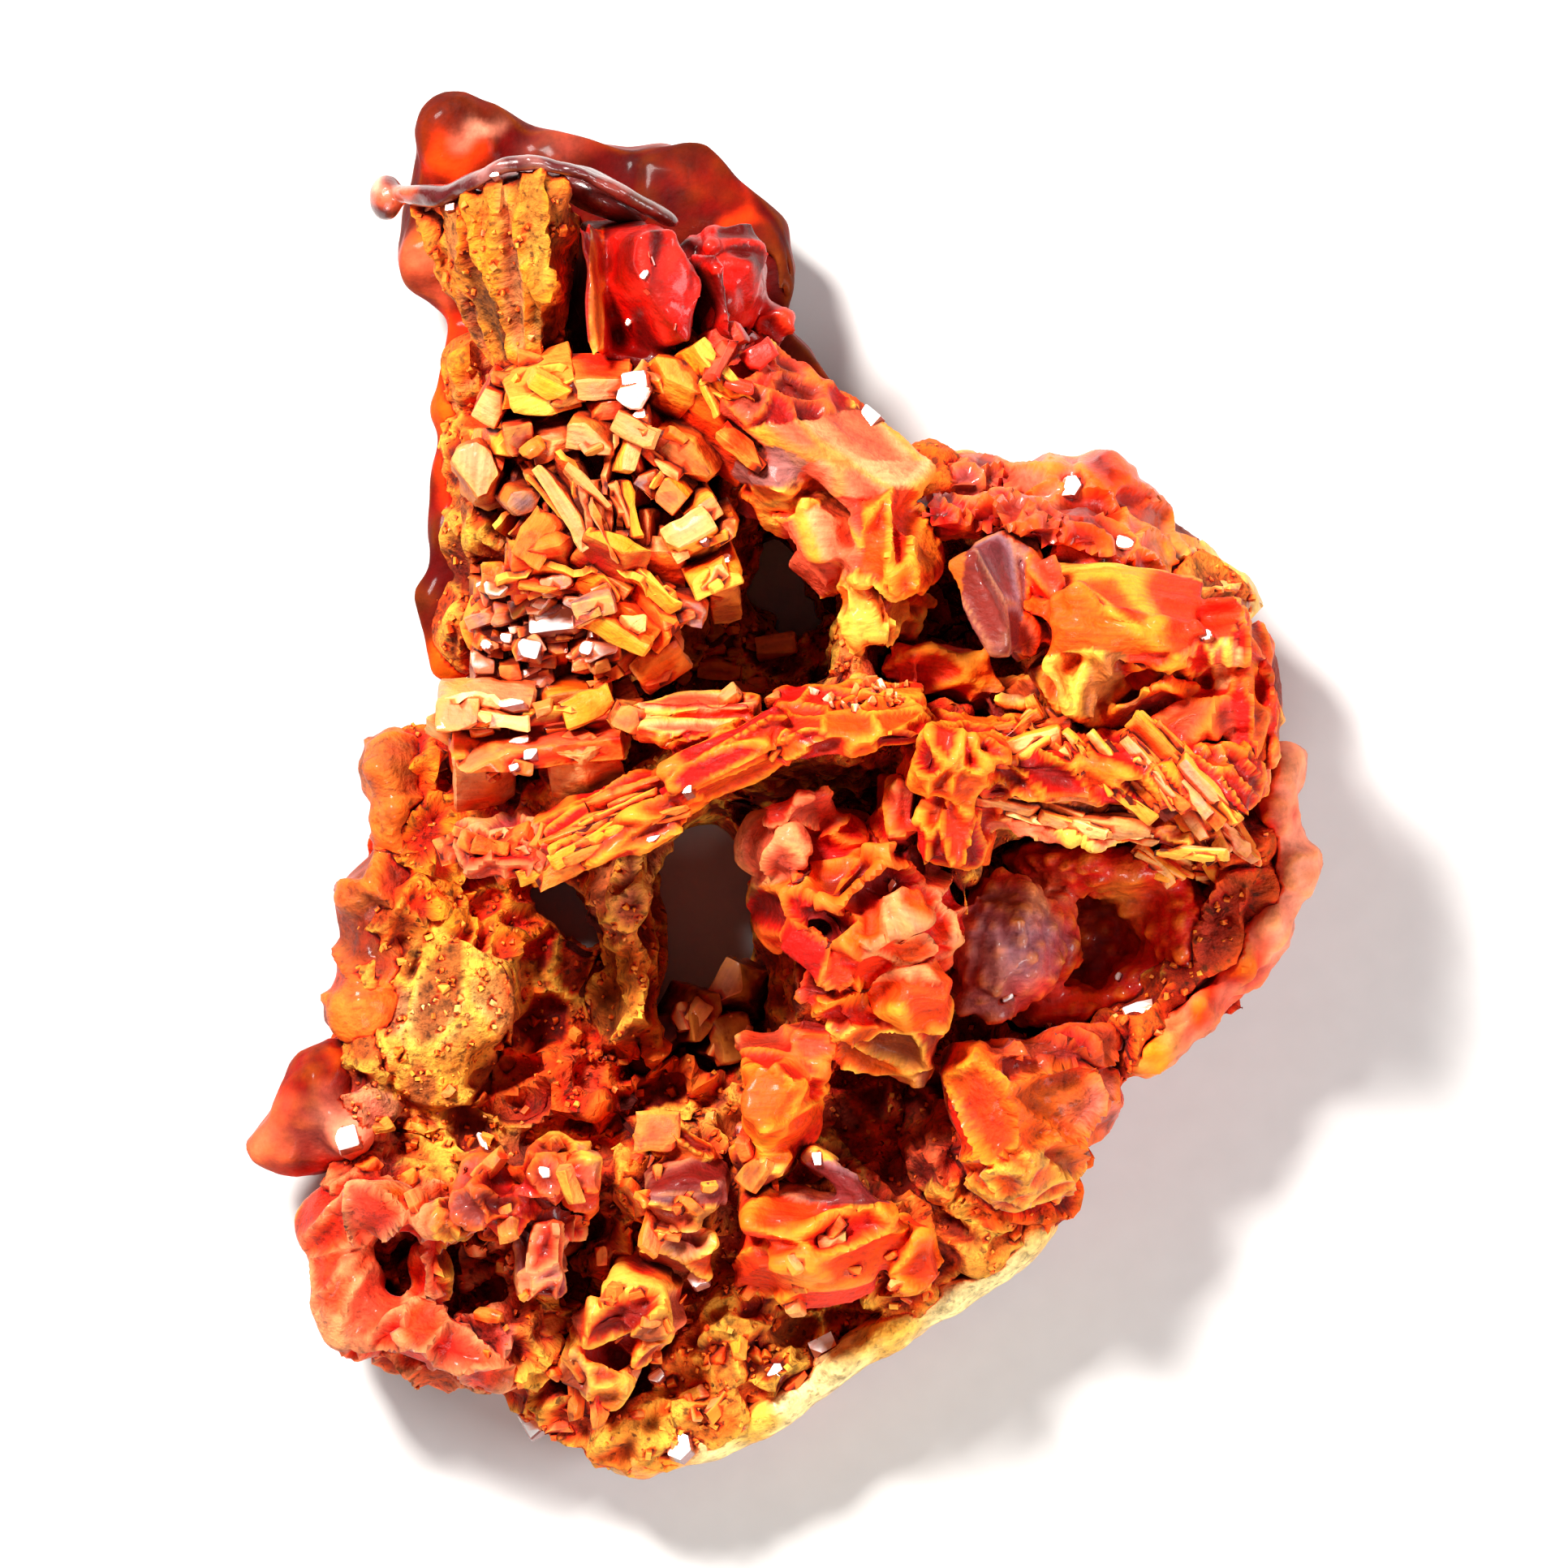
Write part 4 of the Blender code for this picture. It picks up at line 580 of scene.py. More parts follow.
# The mosaic's white tops are painted highlights, its glints of light.
MOSAIC_CRYSTALS = [
    (4, (-7.7, 4.8, 8.2), (4.2, 3.4, 2.6), (0, 0, 0), 0.1, "blood", "blood"),
    (4, (-9.0, 5.0, 8.9), (1.3, 1.1, 2.6), (6, 0, 13), 0.05, "violet", "plum"),
    (4, (-7.9, 5.9, 9.3), (0.9, 0.8, 2.6), (-8, 0, 0), 0.05, "rose", "plum"),
    (4, (-8.9, 6.2, 8.7), (0.9, 0.8, 2.6), (4, 0, -13), 0.05, "amber", "brown"),
    (4, (-7.1, 5.0, 9.6), (1.0, 0.8, 2.6), (2, 0, 13), 0.05, "white", "plum"),
    (4, (-6.4, 5.0, 9.4), (0.8, 0.7, 2.6), (2, 0, 10), 0.05, "white", "plum"),
    (4, (-7.8, 4.3, 9.7), (0.8, 0.7, 2.6), (-12, 0, -13), 0.05, "violet", "plum"),
    (4, (-8.5, 3.7, 9.3), (0.7, 0.6, 2.6), (10, 0, 13), 0.05, "rose", "plum"),
    (4, (-7.6, 3.4, 8.9), (0.9, 0.6, 2.6), (12, 0, 8), 0.05, "white", "plum"),
    (4, (-7.0, 4.0, 9.5), (0.8, 0.7, 2.6), (5, 0, -13), 0.05, "plum", "rose"),
    (4, (-6.2, 4.2, 9.2), (0.7, 0.6, 2.6), (-20, 0, 13), 0.05, "rose", "plum"),
    (4, (-9.3, 3.9, 8.5), (0.8, 0.7, 2.6), (-6, 0, 8), 0.05, "white", "plum"),
    (4, (-6.7, 6.0, 8.9), (0.8, 0.7, 2.6), (12, 0, -13), 0.05, "brown", "tan"),
]
LEFT_SLABS = [
    (4, (-9.2, 2.5, 11.4), (3, 0.6, 2.7), (-4, 0, 24), 0.08, "cream", "tan"),
    (4, (-6.6, 2.7, 9.6), (2.6, 1.2, 2.5), (8, 0, 18), 0.1, "brown", "amber"),
    (4, (-9.9, 1.8, 10.6), (2.6, 0.8, 3.0), (-4, 0, -14), 0.1, "tan", "cream"),
    (4, (-7.6, 1.3, 11.3), (5.6, 0.8, 2.9), (7, 0, 21), 0.08, "red", "rose"),
    (4, (-9.3, 0.6, 10.3), (1.9, 1.5, 3.1), (3, 0, -33), 0.06, "orange", "tan"),
    (6, (-6.2, 0.7, 11.6), (2.7, 1.2, 2.2), (10, 0, -39), 0.08, "rose", "cream"),
    (4, (-7.6, 1.6, 8.0), (5.8, 2.2, 2.4), (4, 0, 0), 0.1, "blood", "red"),
]
DIAGONAL_ARM = [
    (4, (1.3, 10.6, 13.5), (6.6, 1.3, 3.1), (-37, 0, 39), 0.1, "rose", "tan"),
    (4, (1.9, 9.4, 12.9), (3.4, 1.3, 2.9), (-39, 0, -24), 0.1, "rose", "sand"),
    (4, (-0.9, 11.9, 13.3), (2.2, 1.5, 2.9), (-25, 0, 18), 0.16, "red", "flame"),
    (8, (-0.1, 9.8, 13.2), (2.7, 2.1, 2.4), (24, 8, -18), 0.12, "violet", "straw"),
    (4, (-0.3, 8.9, 12.2), (2.1, 1.1, 2.7), (-28, 0, -30), 0.14, "orange", "straw"),
    (5, (1.3, 7.8, 13.2), (2.7, 2, 2.2), (-62, 6, 15), 0.1, "tan", "orange"),
    (4, (1.2, 6.7, 12.4), (1.9, 0.8, 2.5), (-40, 0, -24), 0.14, "tan", "orange"),
    (4, (3.4, 7.4, 13.5), (3.4, 1, 3.2), (-56, 0, 30), 0.12, "flame", "amber"),
    (4, (2.5, 7.1, 13.1), (1.7, 1.3, 3.1), (30, 0, 12), 0.14, "flame", "amber"),
    (4, (2.7, 5.6, 12.1), (2.6, 1.2, 3.4), (-76, 0, 18), 0.14, "flame", "amber"),
    (4, (3.5, 5.4, 11.7), (1.5, 0.7, 3.4), (62, 0, -18), 0.1, "rose", "orange"),
]
SHELF_PLATE = [
    (6, (4.7, 3.7, 10.5), (4, 1.2, 1.4), (-8, 0, -24), 0.06, "orange", "amber"),
    (4, (4.2, 3.4, 8.8), (2.0, 1.4, 3.4), (-6, 0, 0), 0.1, "brown", "umber"),
    (4, (7.1, 2.5, 9.7), (2.1, 1.2, 2.9), (-12, 0, 21), 0.3, "ochre", "brown"),
    (4, (5.6, 2.9, 8.6), (2.6, 1.0, 2.2), (-16, 0, 0), 0.1, "brown", "umber"),
]
VIOLET_FIN = [
    (4, (6.8, 5.8, 13.4), (3.9, 1.2, 4.2), (-67, 0, 27), 0.16, "violet", "plum"),
    (4, (7.6, 5.4, 12.5), (3, 0.6, 3.9), (-70, 0, -33), 0.1, "red", "amber"),
    (4, (7.0, 7.0, 11.4), (1.6, 1.1, 4.0), (-30, 0, 0), 0.1, "red", "blood"),
]
RIGHT_FINS = [
    (4, (10.4, 5.2, 13.5), (4.8, 1.3, 3.7), (-10, -3, 36), 0.14, "orange", "amber"),
    (4, (9, 4.4, 13.3), (3.6, 1, 3.9), (-62, 0, -21), 0.12, "orange", "flame"),
    (4, (13, 4.6, 12.5), (2.6, 1.3, 3.4), (4, 0, 18), 0.12, "orange", "sand"),
    (4, (13.1, 3.6, 11.7), (2.1, 1.3, 3.4), (6, 0, -27), 0.06, "sand", "tan"),
    (4, (9.8, 2.9, 12.9), (2.6, 1, 3.4), (50, 0, -30), 0.1, "straw", "orange"),
    (4, (11.2, 3.4, 11.9), (2.6, 1.2, 3.2), (14, 0, -36), 0.1, "amber", "flame"),
    (4, (8.9, 2.9, 12.5), (1.9, 1, 3.7), (76, 0, 15), 0.12, "orange", "tan"),
    (4, (14.4, 3.4, 11.3), (3.2, 0.8, 3.7), (-82, 0, 18), 0.14, "flame", "amber"),
    (4, (12.8, 2.3, 12.3), (3.6, 1.1, 3.2), (16, 0, 18), 0.12, "flame", "orange"),
    (4, (8.2, 3.4, 11.6), (1.2, 1.0, 3.6), (30, 0, 0), 0.16, "rose", "flame"),
    (4, (14.5, 1.3, 11.5), (2.4, 0.8, 3.6), (-104, 0, 12), 0.12, "flame", "amber"),
]
CROSS_BAND = [
    (4, (-5.3, -1.2, 13.3), (4.8, 1.4, 3.4), (24, 6, 21), 0.12, "flame", "red"),
    (4, (-1.6, 0.8, 14.1), (4.8, 1.2, 3.2), (26, 4, -15), 0.12, "flame", "orange"),
    (4, (2, 1.9, 14.1), (4.8, 1.2, 3.4), (3, 0, 24), 0.14, "orange", "flame"),
    (4, (-2.8, 2, 12.9), (4, 0.8, 2.9), (-1, 0, 24), 0.12, "straw", "orange"),
    (4, (-8.6, -2, 10.9), (3.2, 1.3, 3.1), (10, 0, 15), 0.2, "rose", "red"),
    (4, (5.2, 0.6, 13.9), (2.2, 2.8, 3.7), (76, 0, 9), 0.12, "orange", "flame"),
    (4, (5.2, -1.2, 13.1), (2.8, 1.9, 3.6), (88, 0, -12), 0.12, "orange", "flame"),
    (4, (9.6, 0.6, 13.1), (10.6, 1.9, 3.9), (-4, 0, 12), 0.1, "red", "flame"),
    (4, (8, -0.6, 13.2), (4, 0.8, 1.9), (2, 0, -21), 0.1, "flame", "sand"),
]
CENTRAL_CLUSTER = [
    (4, (2.9, -4.2, 9.4), (4.4, 5.2, 4.4), (8, 0, 0), 0.15, "red", "flame"),
    (8, (-0.3, -1.9, 11.5), (1.9, 1.3, 3.9), (80, 0, 15), 0.1, "rose", "tan"),
    (4, (0.6, -1.2, 11.9), (2.4, 0.7, 3.4), (18, 0, -24), 0.1, "tan", "red"),
    (4, (0, -3.8, 11), (2.4, 1, 4.2), (-70, 0, -18), 0.14, "rose", "flame"),
    (4, (3.4, -1, 12.1), (2.6, 0.8, 3.7), (88, 0, 9), 0.1, "tan", "red"),
    (4, (1.6, -3, 12.3), (3.2, 0.9, 3.7), (14, 0, 27), 0.12, "flame", "rose"),
    (4, (2.6, -3.6, 12.7), (3.4, 0.8, 3.9), (38, 0, -30), 0.12, "flame", "orange"),
    (4, (1.4, -4.8, 12), (2.8, 1, 4.1), (-34, 0, 24), 0.12, "flame", "tan"),
    (4, (3.2, -5, 12.4), (3.6, 1.3, 4.1), (20, 0, -27), 0.14, "orange", "flame"),
    (4, (4.2, -4, 12.3), (2.6, 1.1, 3.7), (-64, 0, 27), 0.12, "orange", "red"),
    (6, (3.8, -6.6, 11.7), (3.2, 2, 3.4), (-20, 0, -24), 0.12, "orange", "amber"),
    (4, (2.1, -6.4, 11.3), (3, 1.1, 3.7), (-44, 0, 30), 0.14, "flame", "amber"),
    (4, (3.2, -7.7, 10.7), (3.4, 1, 3.4), (-18, 0, -36), 0.12, "amber", "ochre"),
    (4, (1.2, -1.9, 10.0), (2.6, 1.8, 4.0), (0, 0, 0), 0.1, "blood", "red"),
]
LOWER_ORANGE_BLOCK = [
    (8, (-0.2, -10, 9.8), (2.6, 2.3, 4.1), (30, 0, -12), 0.16, "amber", "orange"),
    (4, (-0.4, -8.8, 9.3), (2, 1.5, 3.4), (10, 0, 18), 0.16, "orange", "red"),
    (4, (0.8, -8.5, 8.7), (1.5, 2.3, 3.4), (-12, 0, -12), 0.18, "red", "flame"),
    (4, (-0.6, -11.6, 8.2), (1.9, 1.6, 3.6), (30, 0, 0), 0.16, "orange", "red"),
]
BROWN_PLATE = [
    (6, (-3, -12.6, 9.4), (3, 1.9, 2.2), (4, 0, 21), 0.08, "brown", "tan"),
    (4, (-3.2, -14.2, 8.4), (2.2, 1.3, 2.5), (-16, 0, -21), 0.14, "rose", "brown"),
    (4, (-3.4, -11.2, 8.6), (2.6, 0.7, 2.5), (-28, 0, -15), 0.14, "tan", "orange"),
]
LOWER_PLATES = [
    (6, (1.6, -14.2, 9.4), (5, 2.4, 2.2), (14, 0, -18), 0.08, "orange", "flame"),
    (6, (1.2, -15, 8.6), (3.6, 1.7, 2.4), (8, 0, -30), 0.1, "orange", "amber"),
    (4, (0.2, -13.3, 9.4), (3.4, 1, 2.5), (-4, 0, 21), 0.14, "tan", "red"),
    (4, (3.9, -14.6, 8), (1.7, 1.9, 2.7), (20, 0, 15), 0.2, "brown", "flame"),
    (4, (-0.8, -14.6, 8), (1.4, 2, 2.5), (-8, 0, -15), 0.2, "flame", "orange"),
    (6, (1.9, -12.4, 10), (2.9, 0.75, 0.6), (-42, 4, 30), 0.1, "violet", "plum"),
    (4, (1.0, -11.6, 9.0), (1.2, 0.9, 2.4), (-42, 0, 0), 0.2, "violet", "flame"),
]
LOWER_LEFT_CRYSTALS = [
    (6, (-9.3, -12.6, 9.3), (2.2, 1.7, 3.1), (-20, 0, 21), 0.14, "red", "flame"),
    (4, (-8.3, -13.4, 9.1), (1.5, 1.2, 3.1), (40, 0, -18), 0.16, "red", "rose"),
    (4, (-7.2, -11.9, 9.5), (1.6, 1.3, 3.1), (-24, 0, 24), 0.16, "rose", "red"),
    (4, (-6.2, -12.2, 9.3), (1, 1.7, 3.1), (-12, 0, -12), 0.16, "tan", "orange"),
    (4, (-7.6, -14.6, 8.5), (1.5, 2.8, 2.9), (4, 0, 9), 0.18, "flame", "rose"),
    (4, (-7.8, -13.0, 7.4), (3.4, 2.2, 2.4), (0, 0, 0), 0.1, "blood", "red"),
]
LOWER_MIDDLE_CRYSTALS = [
    (6, (-4.3, -16, 7.9), (3.2, 1.5, 2.9), (-48, 0, 21), 0.16, "tan", "orange"),
    (4, (-5.6, -16.8, 7.3), (2, 1.2, 2.9), (30, 0, -18), 0.16, "flame", "orange"),
    (4, (-5.8, -18.3, 6.6), (2.4, 1.5, 2.5), (-24, 0, 15), 0.18, "flame", "rose"),
    (4, (-4.8, -17.0, 6.2), (2.2, 1.6, 2.4), (-40, 0, 0), 0.1, "orange", "brown"),
]
DEEP_CRYSTALS = [
    (6, (-2.9, -7.2, 3.8), (2.2, 1.3, 2.5), (80, 0, 24), 0.14, "brown", "blood"),
    (4, (-1.4, -6.4, 3.6), (1.9, 1.3, 2.2), (64, 0, -21), 0.2, "tan", "blood"),
    (4, (-1.9, -7.9, 3.6), (1.9, 1.2, 2.2), (60, 0, 15), 0.2, "tan", "blood"),
    (4, (-3.8, -7.8, 3.0), (1.6, 1.6, 2.2), (0, 0, 0), 0.2, "blood", "blood"),
]
# Thickets of small crystals that grow over an area: x, y, half width, half height, heading of the
# area, count, lengths, thickness, turn of the crystals, spread of the turn, and their tones.
# The white among the tones is a painted highlight, for glints of light.
THICKETS = {
    "horn_crystals": [
        (-4.0, 14.9, 0.5, 1.4, 10, 16, (0.12, 0.28), 0.2, (98, 0, 12), 30, "rose pink white"),
        (-1.6, 13.6, 0.9, 0.9, 0, 20, (0.5, 1.1), 0.3, (60, 0, -30), 30, "red flame blood rose"),
        (-0.9, 13.0, 0.8, 0.8, 0, 12, (0.5, 1.0), 0.3, (20, 0, -30), 30, "red flame blood"),
    ],
    "yellow_blades": [
        (-7.2, 12.1, 1.5, 0.5, 8, 4, (0.6, 1.3), 0.35, (10, 0, 40), 25, "straw amber ochre sand"),
        (-4.5, 12.1, 1.2, 0.7, 0, 7, (0.5, 1.0), 0.4, (0, 10, 30), 30, "sand straw tan amber"),
        (-2.2, 11.6, 1.8, 0.5, -48, 7, (0.9, 2.0), 0.22, (-48, 0, -48), 12, "amber straw orange flame"),
    ],
    "plate_nest": [
        (-6.0, 9.0, 1.3, 1.7, 0, 20, (0.8, 1.9), 0.2, (-60, 0, 70), 25, "tan sand flame red tan"),
        (-5.9, 10.9, 1.5, 0.8, 0, 10, (0.4, 0.9), 0.35, (0, 0, 35), 30, "tan rose brown sand"),
        (-8.0, 10.4, 0.9, 0.9, 0, 7, (0.5, 1.1), 0.35, (15, 0, 30), 30, "tan rose brown plum"),
        (-9.1, 9.6, 0.8, 1.0, 0, 3, (0.8, 1.6), 0.25, (84, 0, -30), 20, "tan sand ochre"),
        (-8.0, 8.0, 0.9, 0.9, 0, 7, (0.6, 1.2), 0.25, (58, 0, 40), 25, "brown tan red orange"),
    ],
    "lower_fins": [
        (-7.2, 6.5, 1.2, 0.5, 10, 16, (0.7, 1.5), 0.22, (12, 0, -50), 15, "orange amber red flame"),
        (-4.8, 6.1, 1.5, 0.7, -30, 20, (0.7, 1.6), 0.22, (-30, 0, 45), 20, "amber orange sand straw"),
        (-4.3, 4.2, 0.9, 0.9, 0, 12, (0.8, 1.5), 0.3, (35, 6, 25), 20, "tan rose orange sand"),
        (-2.2, 4.2, 1.2, 1.0, 0, 24, (0.5, 0.9), 0.5, (10, 0, 15), 25, "brown tan plum rose"),
    ],
    "stepped_stack": [
        (-3.5, 9.6, 0.7, 0.8, 0, 4, (0.5, 0.9), 0.6, (-38, 0, 20), 12, "rose sand flame tan"),
        (-2.7, 8.0, 0.8, 1.0, 0, 7, (0.5, 1.0), 0.6, (24, 0, 25), 12, "sand tan straw amber"),
        (-2.4, 6.5, 0.8, 0.7, 0, 7, (0.5, 0.9), 0.6, (18, 0, 20), 12, "sand straw tan ochre"),
        (-2.9, 10.4, 1.0, 0.6, -36, 4, (0.5, 1.0), 0.3, (-36, 0, 40), 20, "brown orange ochre tan"),
    ],
    "glitter_mosaic": [
        (-7.6, 4.9, 2.0, 1.4, 0, 130, (0.45, 0.9), 0.8, (4, 0, 10), 14,
         "violet mauve white plum mauve tan blood"),
        (-7.4, 4.6, 1.4, 1.0, 0, 24, (0.4, 0.8), 0.8, (4, 0, 6), 6, "white violet"),
    ],
    "left_slabs": [
        (-8.0, 0.4, 1.2, 0.6, 0, 14, (0.25, 0.5), 0.3, (5, 0, -20), 30, "rose red plum pink"),
        (-7.4, 1.5, 2.4, 0.2, 7, 8, (1.2, 2.2), 0.2, (7, 0, 21), 4, "red flame rose"),
        (-6.8, 2.7, 1.2, 0.5, 8, 10, (0.6, 1.4), 0.3, (8, 0, 18), 12, "brown amber tan"),
        (-9.9, 1.6, 1.2, 0.6, 0, 10, (0.5, 0.9), 0.3, (-4, 0, -24), 12, "sand tan rose orange"),
    ],
    "cross_band": [
        (-8.8, -1.9, 1.5, 0.9, 10, 40, (0.5, 1.3), 0.35, (10, 0, 20), 35, "rose red flame pink"),
        (7.0, 1.0, 1.6, 0.5, 30, 60, (0.9, 1.7), 0.2, (24, 0, 30), 12, "amber straw red orange sand"),
        (9.4, 0.7, 1.6, 0.7, -40, 60, (0.9, 1.9), 0.2, (-52, 0, 30), 8, "amber straw orange sand"),
        (12.2, -0.2, 2.2, 0.9, -45, 110, (1.0, 2.2), 0.2, (-52, 0, 30), 7, "amber orange straw flame pink"),
        (9.8, -1.3, 3.6, 0.3, -14, 50, (1.0, 2.0), 0.2, (-10, 0, 40), 10, "sand straw cream tan"),
        (12.4, -2.6, 1.6, 0.4, 0, 24, (0.8, 1.4), 0.2, (-20, 0, 30), 16, "sand straw orange amber"),
        (-5.0, -1.2, 2.6, 0.7, 24, 50, (1.0, 2.4), 0.15, (24, 0, 30), 5, "flame orange amber red"),
        (1.6, 1.6, 2.6, 0.5, 16, 60, (0.5, 1.2), 0.2, (14, 0, 30), 30, "red orange amber flame"),
        (2.2, 2.7, 1.6, 0.4, 5, 80, (0.15, 0.35), 0.25, (0, 0, 0), 60, "cream sand tan white"),
    ],
    "stone_crystals": [
        (-8.6, 8.4, 1.2, 5.0, 0, 40, (0.4, 0.9), 0.3, (0, 0, 0), 50, "orange brown red amber"),
        (-9.6, -12.0, 3.6, 1.6, 0, 50, (0.3, 0.8), 0.3, (0, 0, 0), 60, "ochre brown flame rose orange"),
        (-6.0, -17.0, 3.4, 3.2, 0, 70, (0.3, 0.9), 0.3, (0, 0, 0), 60, "flame orange rose red brown"),
        (0.0, -16.6, 4.2, 2.0, 31, 80, (0.3, 0.8), 0.3, (20, 0, 0), 60, "orange ochre tan flame amber"),
        (-2.6, -12.4, 2.6, 1.8, 0, 60, (0.3, 0.9), 0.3, (0, 0, 0), 60, "brown orange rose ochre red"),
        (-3.0, 3.4, 3.0, 1.6, 0, 50, (0.5, 1.1), 0.5, (0, 0, 0), 30, "brown tan rose blood"),
    ],
    "deep_crystals": [
        (-2.4, -7.2, 1.2, 0.9, 0, 10, (0.5, 1.0), 0.4, (70, 0, 10), 25, "brown tan blood"),
    ],
}
# Single thin fins: place of the root's middle, size, turn, tones of root, face and free edge, curl.
FINS = {
    "horn_crystals": [
        ((-2.4, 13.8, 10.6), (3.2, 1.7, 0.3), (62, 0, 30), "blood red amber", -0.3),
    ],
    "yellow_blades": [
        ((-1.9, 11.6, 12.4), (4.2, 0.8, 0.2), (-49, 0, 62), "flame amber straw", 0.3),
        ((-1.9, 10.8, 12.2), (3.0, 0.9, 0.2), (-31, 0, 66), "flame amber straw", 0.2),
        ((-3.2, 13.0, 12.0), (1.8, 0.8, 0.2), (-70, 0, 50), "red orange straw", 0.2),
        ((-7.4, 11.7, 12.8), (2.6, 0.9, 0.3), (8, 0, 30), "flame straw straw", 0.2),
    ],
    "plate_nest": [
        ((-6.5, 8.8, 12.8), (3.4, 1.0, 0.2), (-57, 0, 74), "red tan straw", 0.1),
        ((-7.2, 8.6, 12.2), (2.4, 0.9, 0.18), (-50, 0, 70), "blood flame amber", 0.1),
        ((-5.5, 8.4, 12.8), (2.1, 1.0, 0.2), (-82, 0, 60), "blood tan sand", 0.2),
        ((-5.0, 9.9, 12.9), (2.0, 0.9, 0.18), (70, 0, 66), "red tan sand", 0.1),
        ((-6.0, 7.0, 11.8), (2.0, 0.8, 0.2), (-14, 0, 50), "red tan straw", 0.2),
        ((-5.9, 10.3, 12.8), (1.8, 0.9, 0.2), (10, 0, 40), "red flame amber", 0.2),
        ((-4.2, 9.4, 12.6), (1.6, 1.0, 0.2), (96, 0, 60), "blood red tan", 0.1),
        ((-8.0, 8.2, 11.2), (1.6, 0.9, 0.2), (58, 0, 50), "red rose straw", 0.1),
    ],
    "lower_fins": [
        ((-7.2, 5.9, 12.2), (3.4, 1.1, 0.22), (4, 0, 34), "red orange straw", 0.5),
        ((-6.3, 6.9, 11.6), (2.2, 0.8, 0.2), (-8, 0, 40), "blood flame amber", 0.4),
        ((-4.9, 5.9, 12.4), (3.6, 1.1, 0.22), (-31, 0, 44), "red orange straw", 0.4),
        ((-5.4, 5.3, 12.0), (2.2, 0.9, 0.2), (-60, 0, 40), "red flame amber", 0.3),
        ((-4.0, 6.3, 12.2), (2.6, 1.0, 0.25), (-4, 0, 24), "orange sand straw", 0.2),
        ((-4.8, 3.4, 11.2), (2.4, 1.9, 0.3), (24, 0, 16), "orange tan amber", 0.1),
    ],
    "left_slabs": [
        ((-6.9, 1.9, 12.2), (2.6, 0.6, 0.2), (8, 0, 50), "red brown straw", 0.1),
        ((-9.3, 2.3, 12.4), (2.9, 0.5, 0.2), (-3, 0, 60), "orange sand cream", 0.0),
    ],
    "diagonal_arm": [
        ((3.0, 7.3, 13.4), (3.8, 1.1, 0.22), (-57, 0, 52), "red flame straw", 0.3),
        ((2.2, 6.9, 13.2), (3.2, 1.0, 0.22), (118, 0, 50), "red flame amber", 0.4),
        ((2.6, 5.4, 12.4), (2.8, 0.9, 0.2), (-70, 0, 60), "red orange straw", 0.3),
        ((2.2, 5.2, 12.2), (2.4, 0.8, 0.2), (100, 0, 60), "red orange amber", 0.3),
        ((-0.7, 8.8, 13.0), (2.6, 0.9, 0.22), (-30, 0, 40), "flame amber straw", 0.2),
        ((0.4, 7.1, 12.8), (2.8, 0.9, 0.22), (-55, 0, 30), "orange sand straw", 0.2),
        ((-0.6, 12.0, 13.6), (3.0, 0.8, 0.22), (-30, 0, 30), "blood red pink", 0.4),
        ((2.2, 9.9, 13.7), (3.6, 0.5, 0.2), (-38, 0, 40), "red flame amber", 0.2),
    ],
    "shelf_plate": [
        ((4.9, 3.0, 10.8), (3.8, 1.2, 0.3), (-6, 0, 24), "brown orange straw", 0.2),
        ((4.7, 2.6, 9.9), (3.4, 1.0, 0.25), (-12, 0, 40), "blood brown amber", 0.2),
        ((7.1, 2.0, 10.8), (2.0, 0.9, 0.25), (-14, 0, 40), "blood ochre amber", 0.2),
        ((3.4, 3.3, 11.4), (2.2, 0.8, 0.25), (-80, 0, 40), "red orange straw", 0.2),
    ],
    "violet_fin": [
        ((7.2, 5.7, 13.0), (3.8, 1.2, 0.35), (108, 0, 34), "plum violet amber", 0.4),
        ((7.8, 5.2, 12.6), (3.2, 1.1, 0.25), (-72, 0, 40), "blood red orange", 0.3),
    ],
    "right_fins": [
        ((10.6, 4.2, 13.0), (5.2, 1.9, 0.3), (-5, 0, 36), "flame orange straw", 0.6),
        ((9.3, 4.0, 13.2), (4.2, 1.5, 0.3), (98, 0, 36), "orange orange straw", 0.5),
        ((9.4, 3.0, 13.0), (2.6, 1.3, 0.25), (62, 0, 20), "orange straw cream", 0.2),
        ((10.6, 2.9, 12.6), (2.8, 1.3, 0.25), (20, 0, 40), "red flame amber", 0.4),
        ((13.0, 3.3, 12.6), (2.6, 1.2, 0.3), (2, 0, 30), "rose sand straw", -0.2),
        ((12.8, 5.0, 13.0), (3.0, 0.8, 0.25), (-2, 0, 30), "flame orange cream", 0.3),
        ((11.6, 2.0, 12.6), (3.4, 1.4, 0.3), (22, 0, 40), "blood flame amber", 0.4),
        ((13.0, 1.0, 12.4), (3.0, 1.2, 0.3), (30, 0, 50), "blood red orange", 0.3),
        ((14.4, 2.2, 12.0), (3.6, 0.9, 0.25), (-84, 0, 40), "red flame amber", 0.3),
        ((13.9, 2.4, 12.2), (3.2, 0.9, 0.25), (96, 0, 50), "blood red orange", 0.3),
        ((8.8, 2.6, 12.6), (2.6, 0.8, 0.25), (84, 0, 60), "flame orange straw", 0.3),
        ((8.2, 5.6, 13.4), (2.6, 0.8, 0.25), (150, 0, 40), "red orange straw", 0.3),
    ],
    "cross_band": [
        ((-2.9, 1.9, 13.6), (3.9, 0.7, 0.25), (-1, 0, 40), "orange straw cream", 0.1),
        ((-2.7, 0.5, 13.8), (1.6, 0.9, 0.25), (10, 0, 30), "red orange amber", 0.3),
        ((8.4, -0.9, 13.6), (4.6, 0.9, 0.25), (172, 0, 20), "orange sand cream", 0.2),
        ((11.6, -1.1, 13.2), (3.8, 0.8, 0.25), (166, 0, 20), "orange sand cream", 0.2),
    ],
}
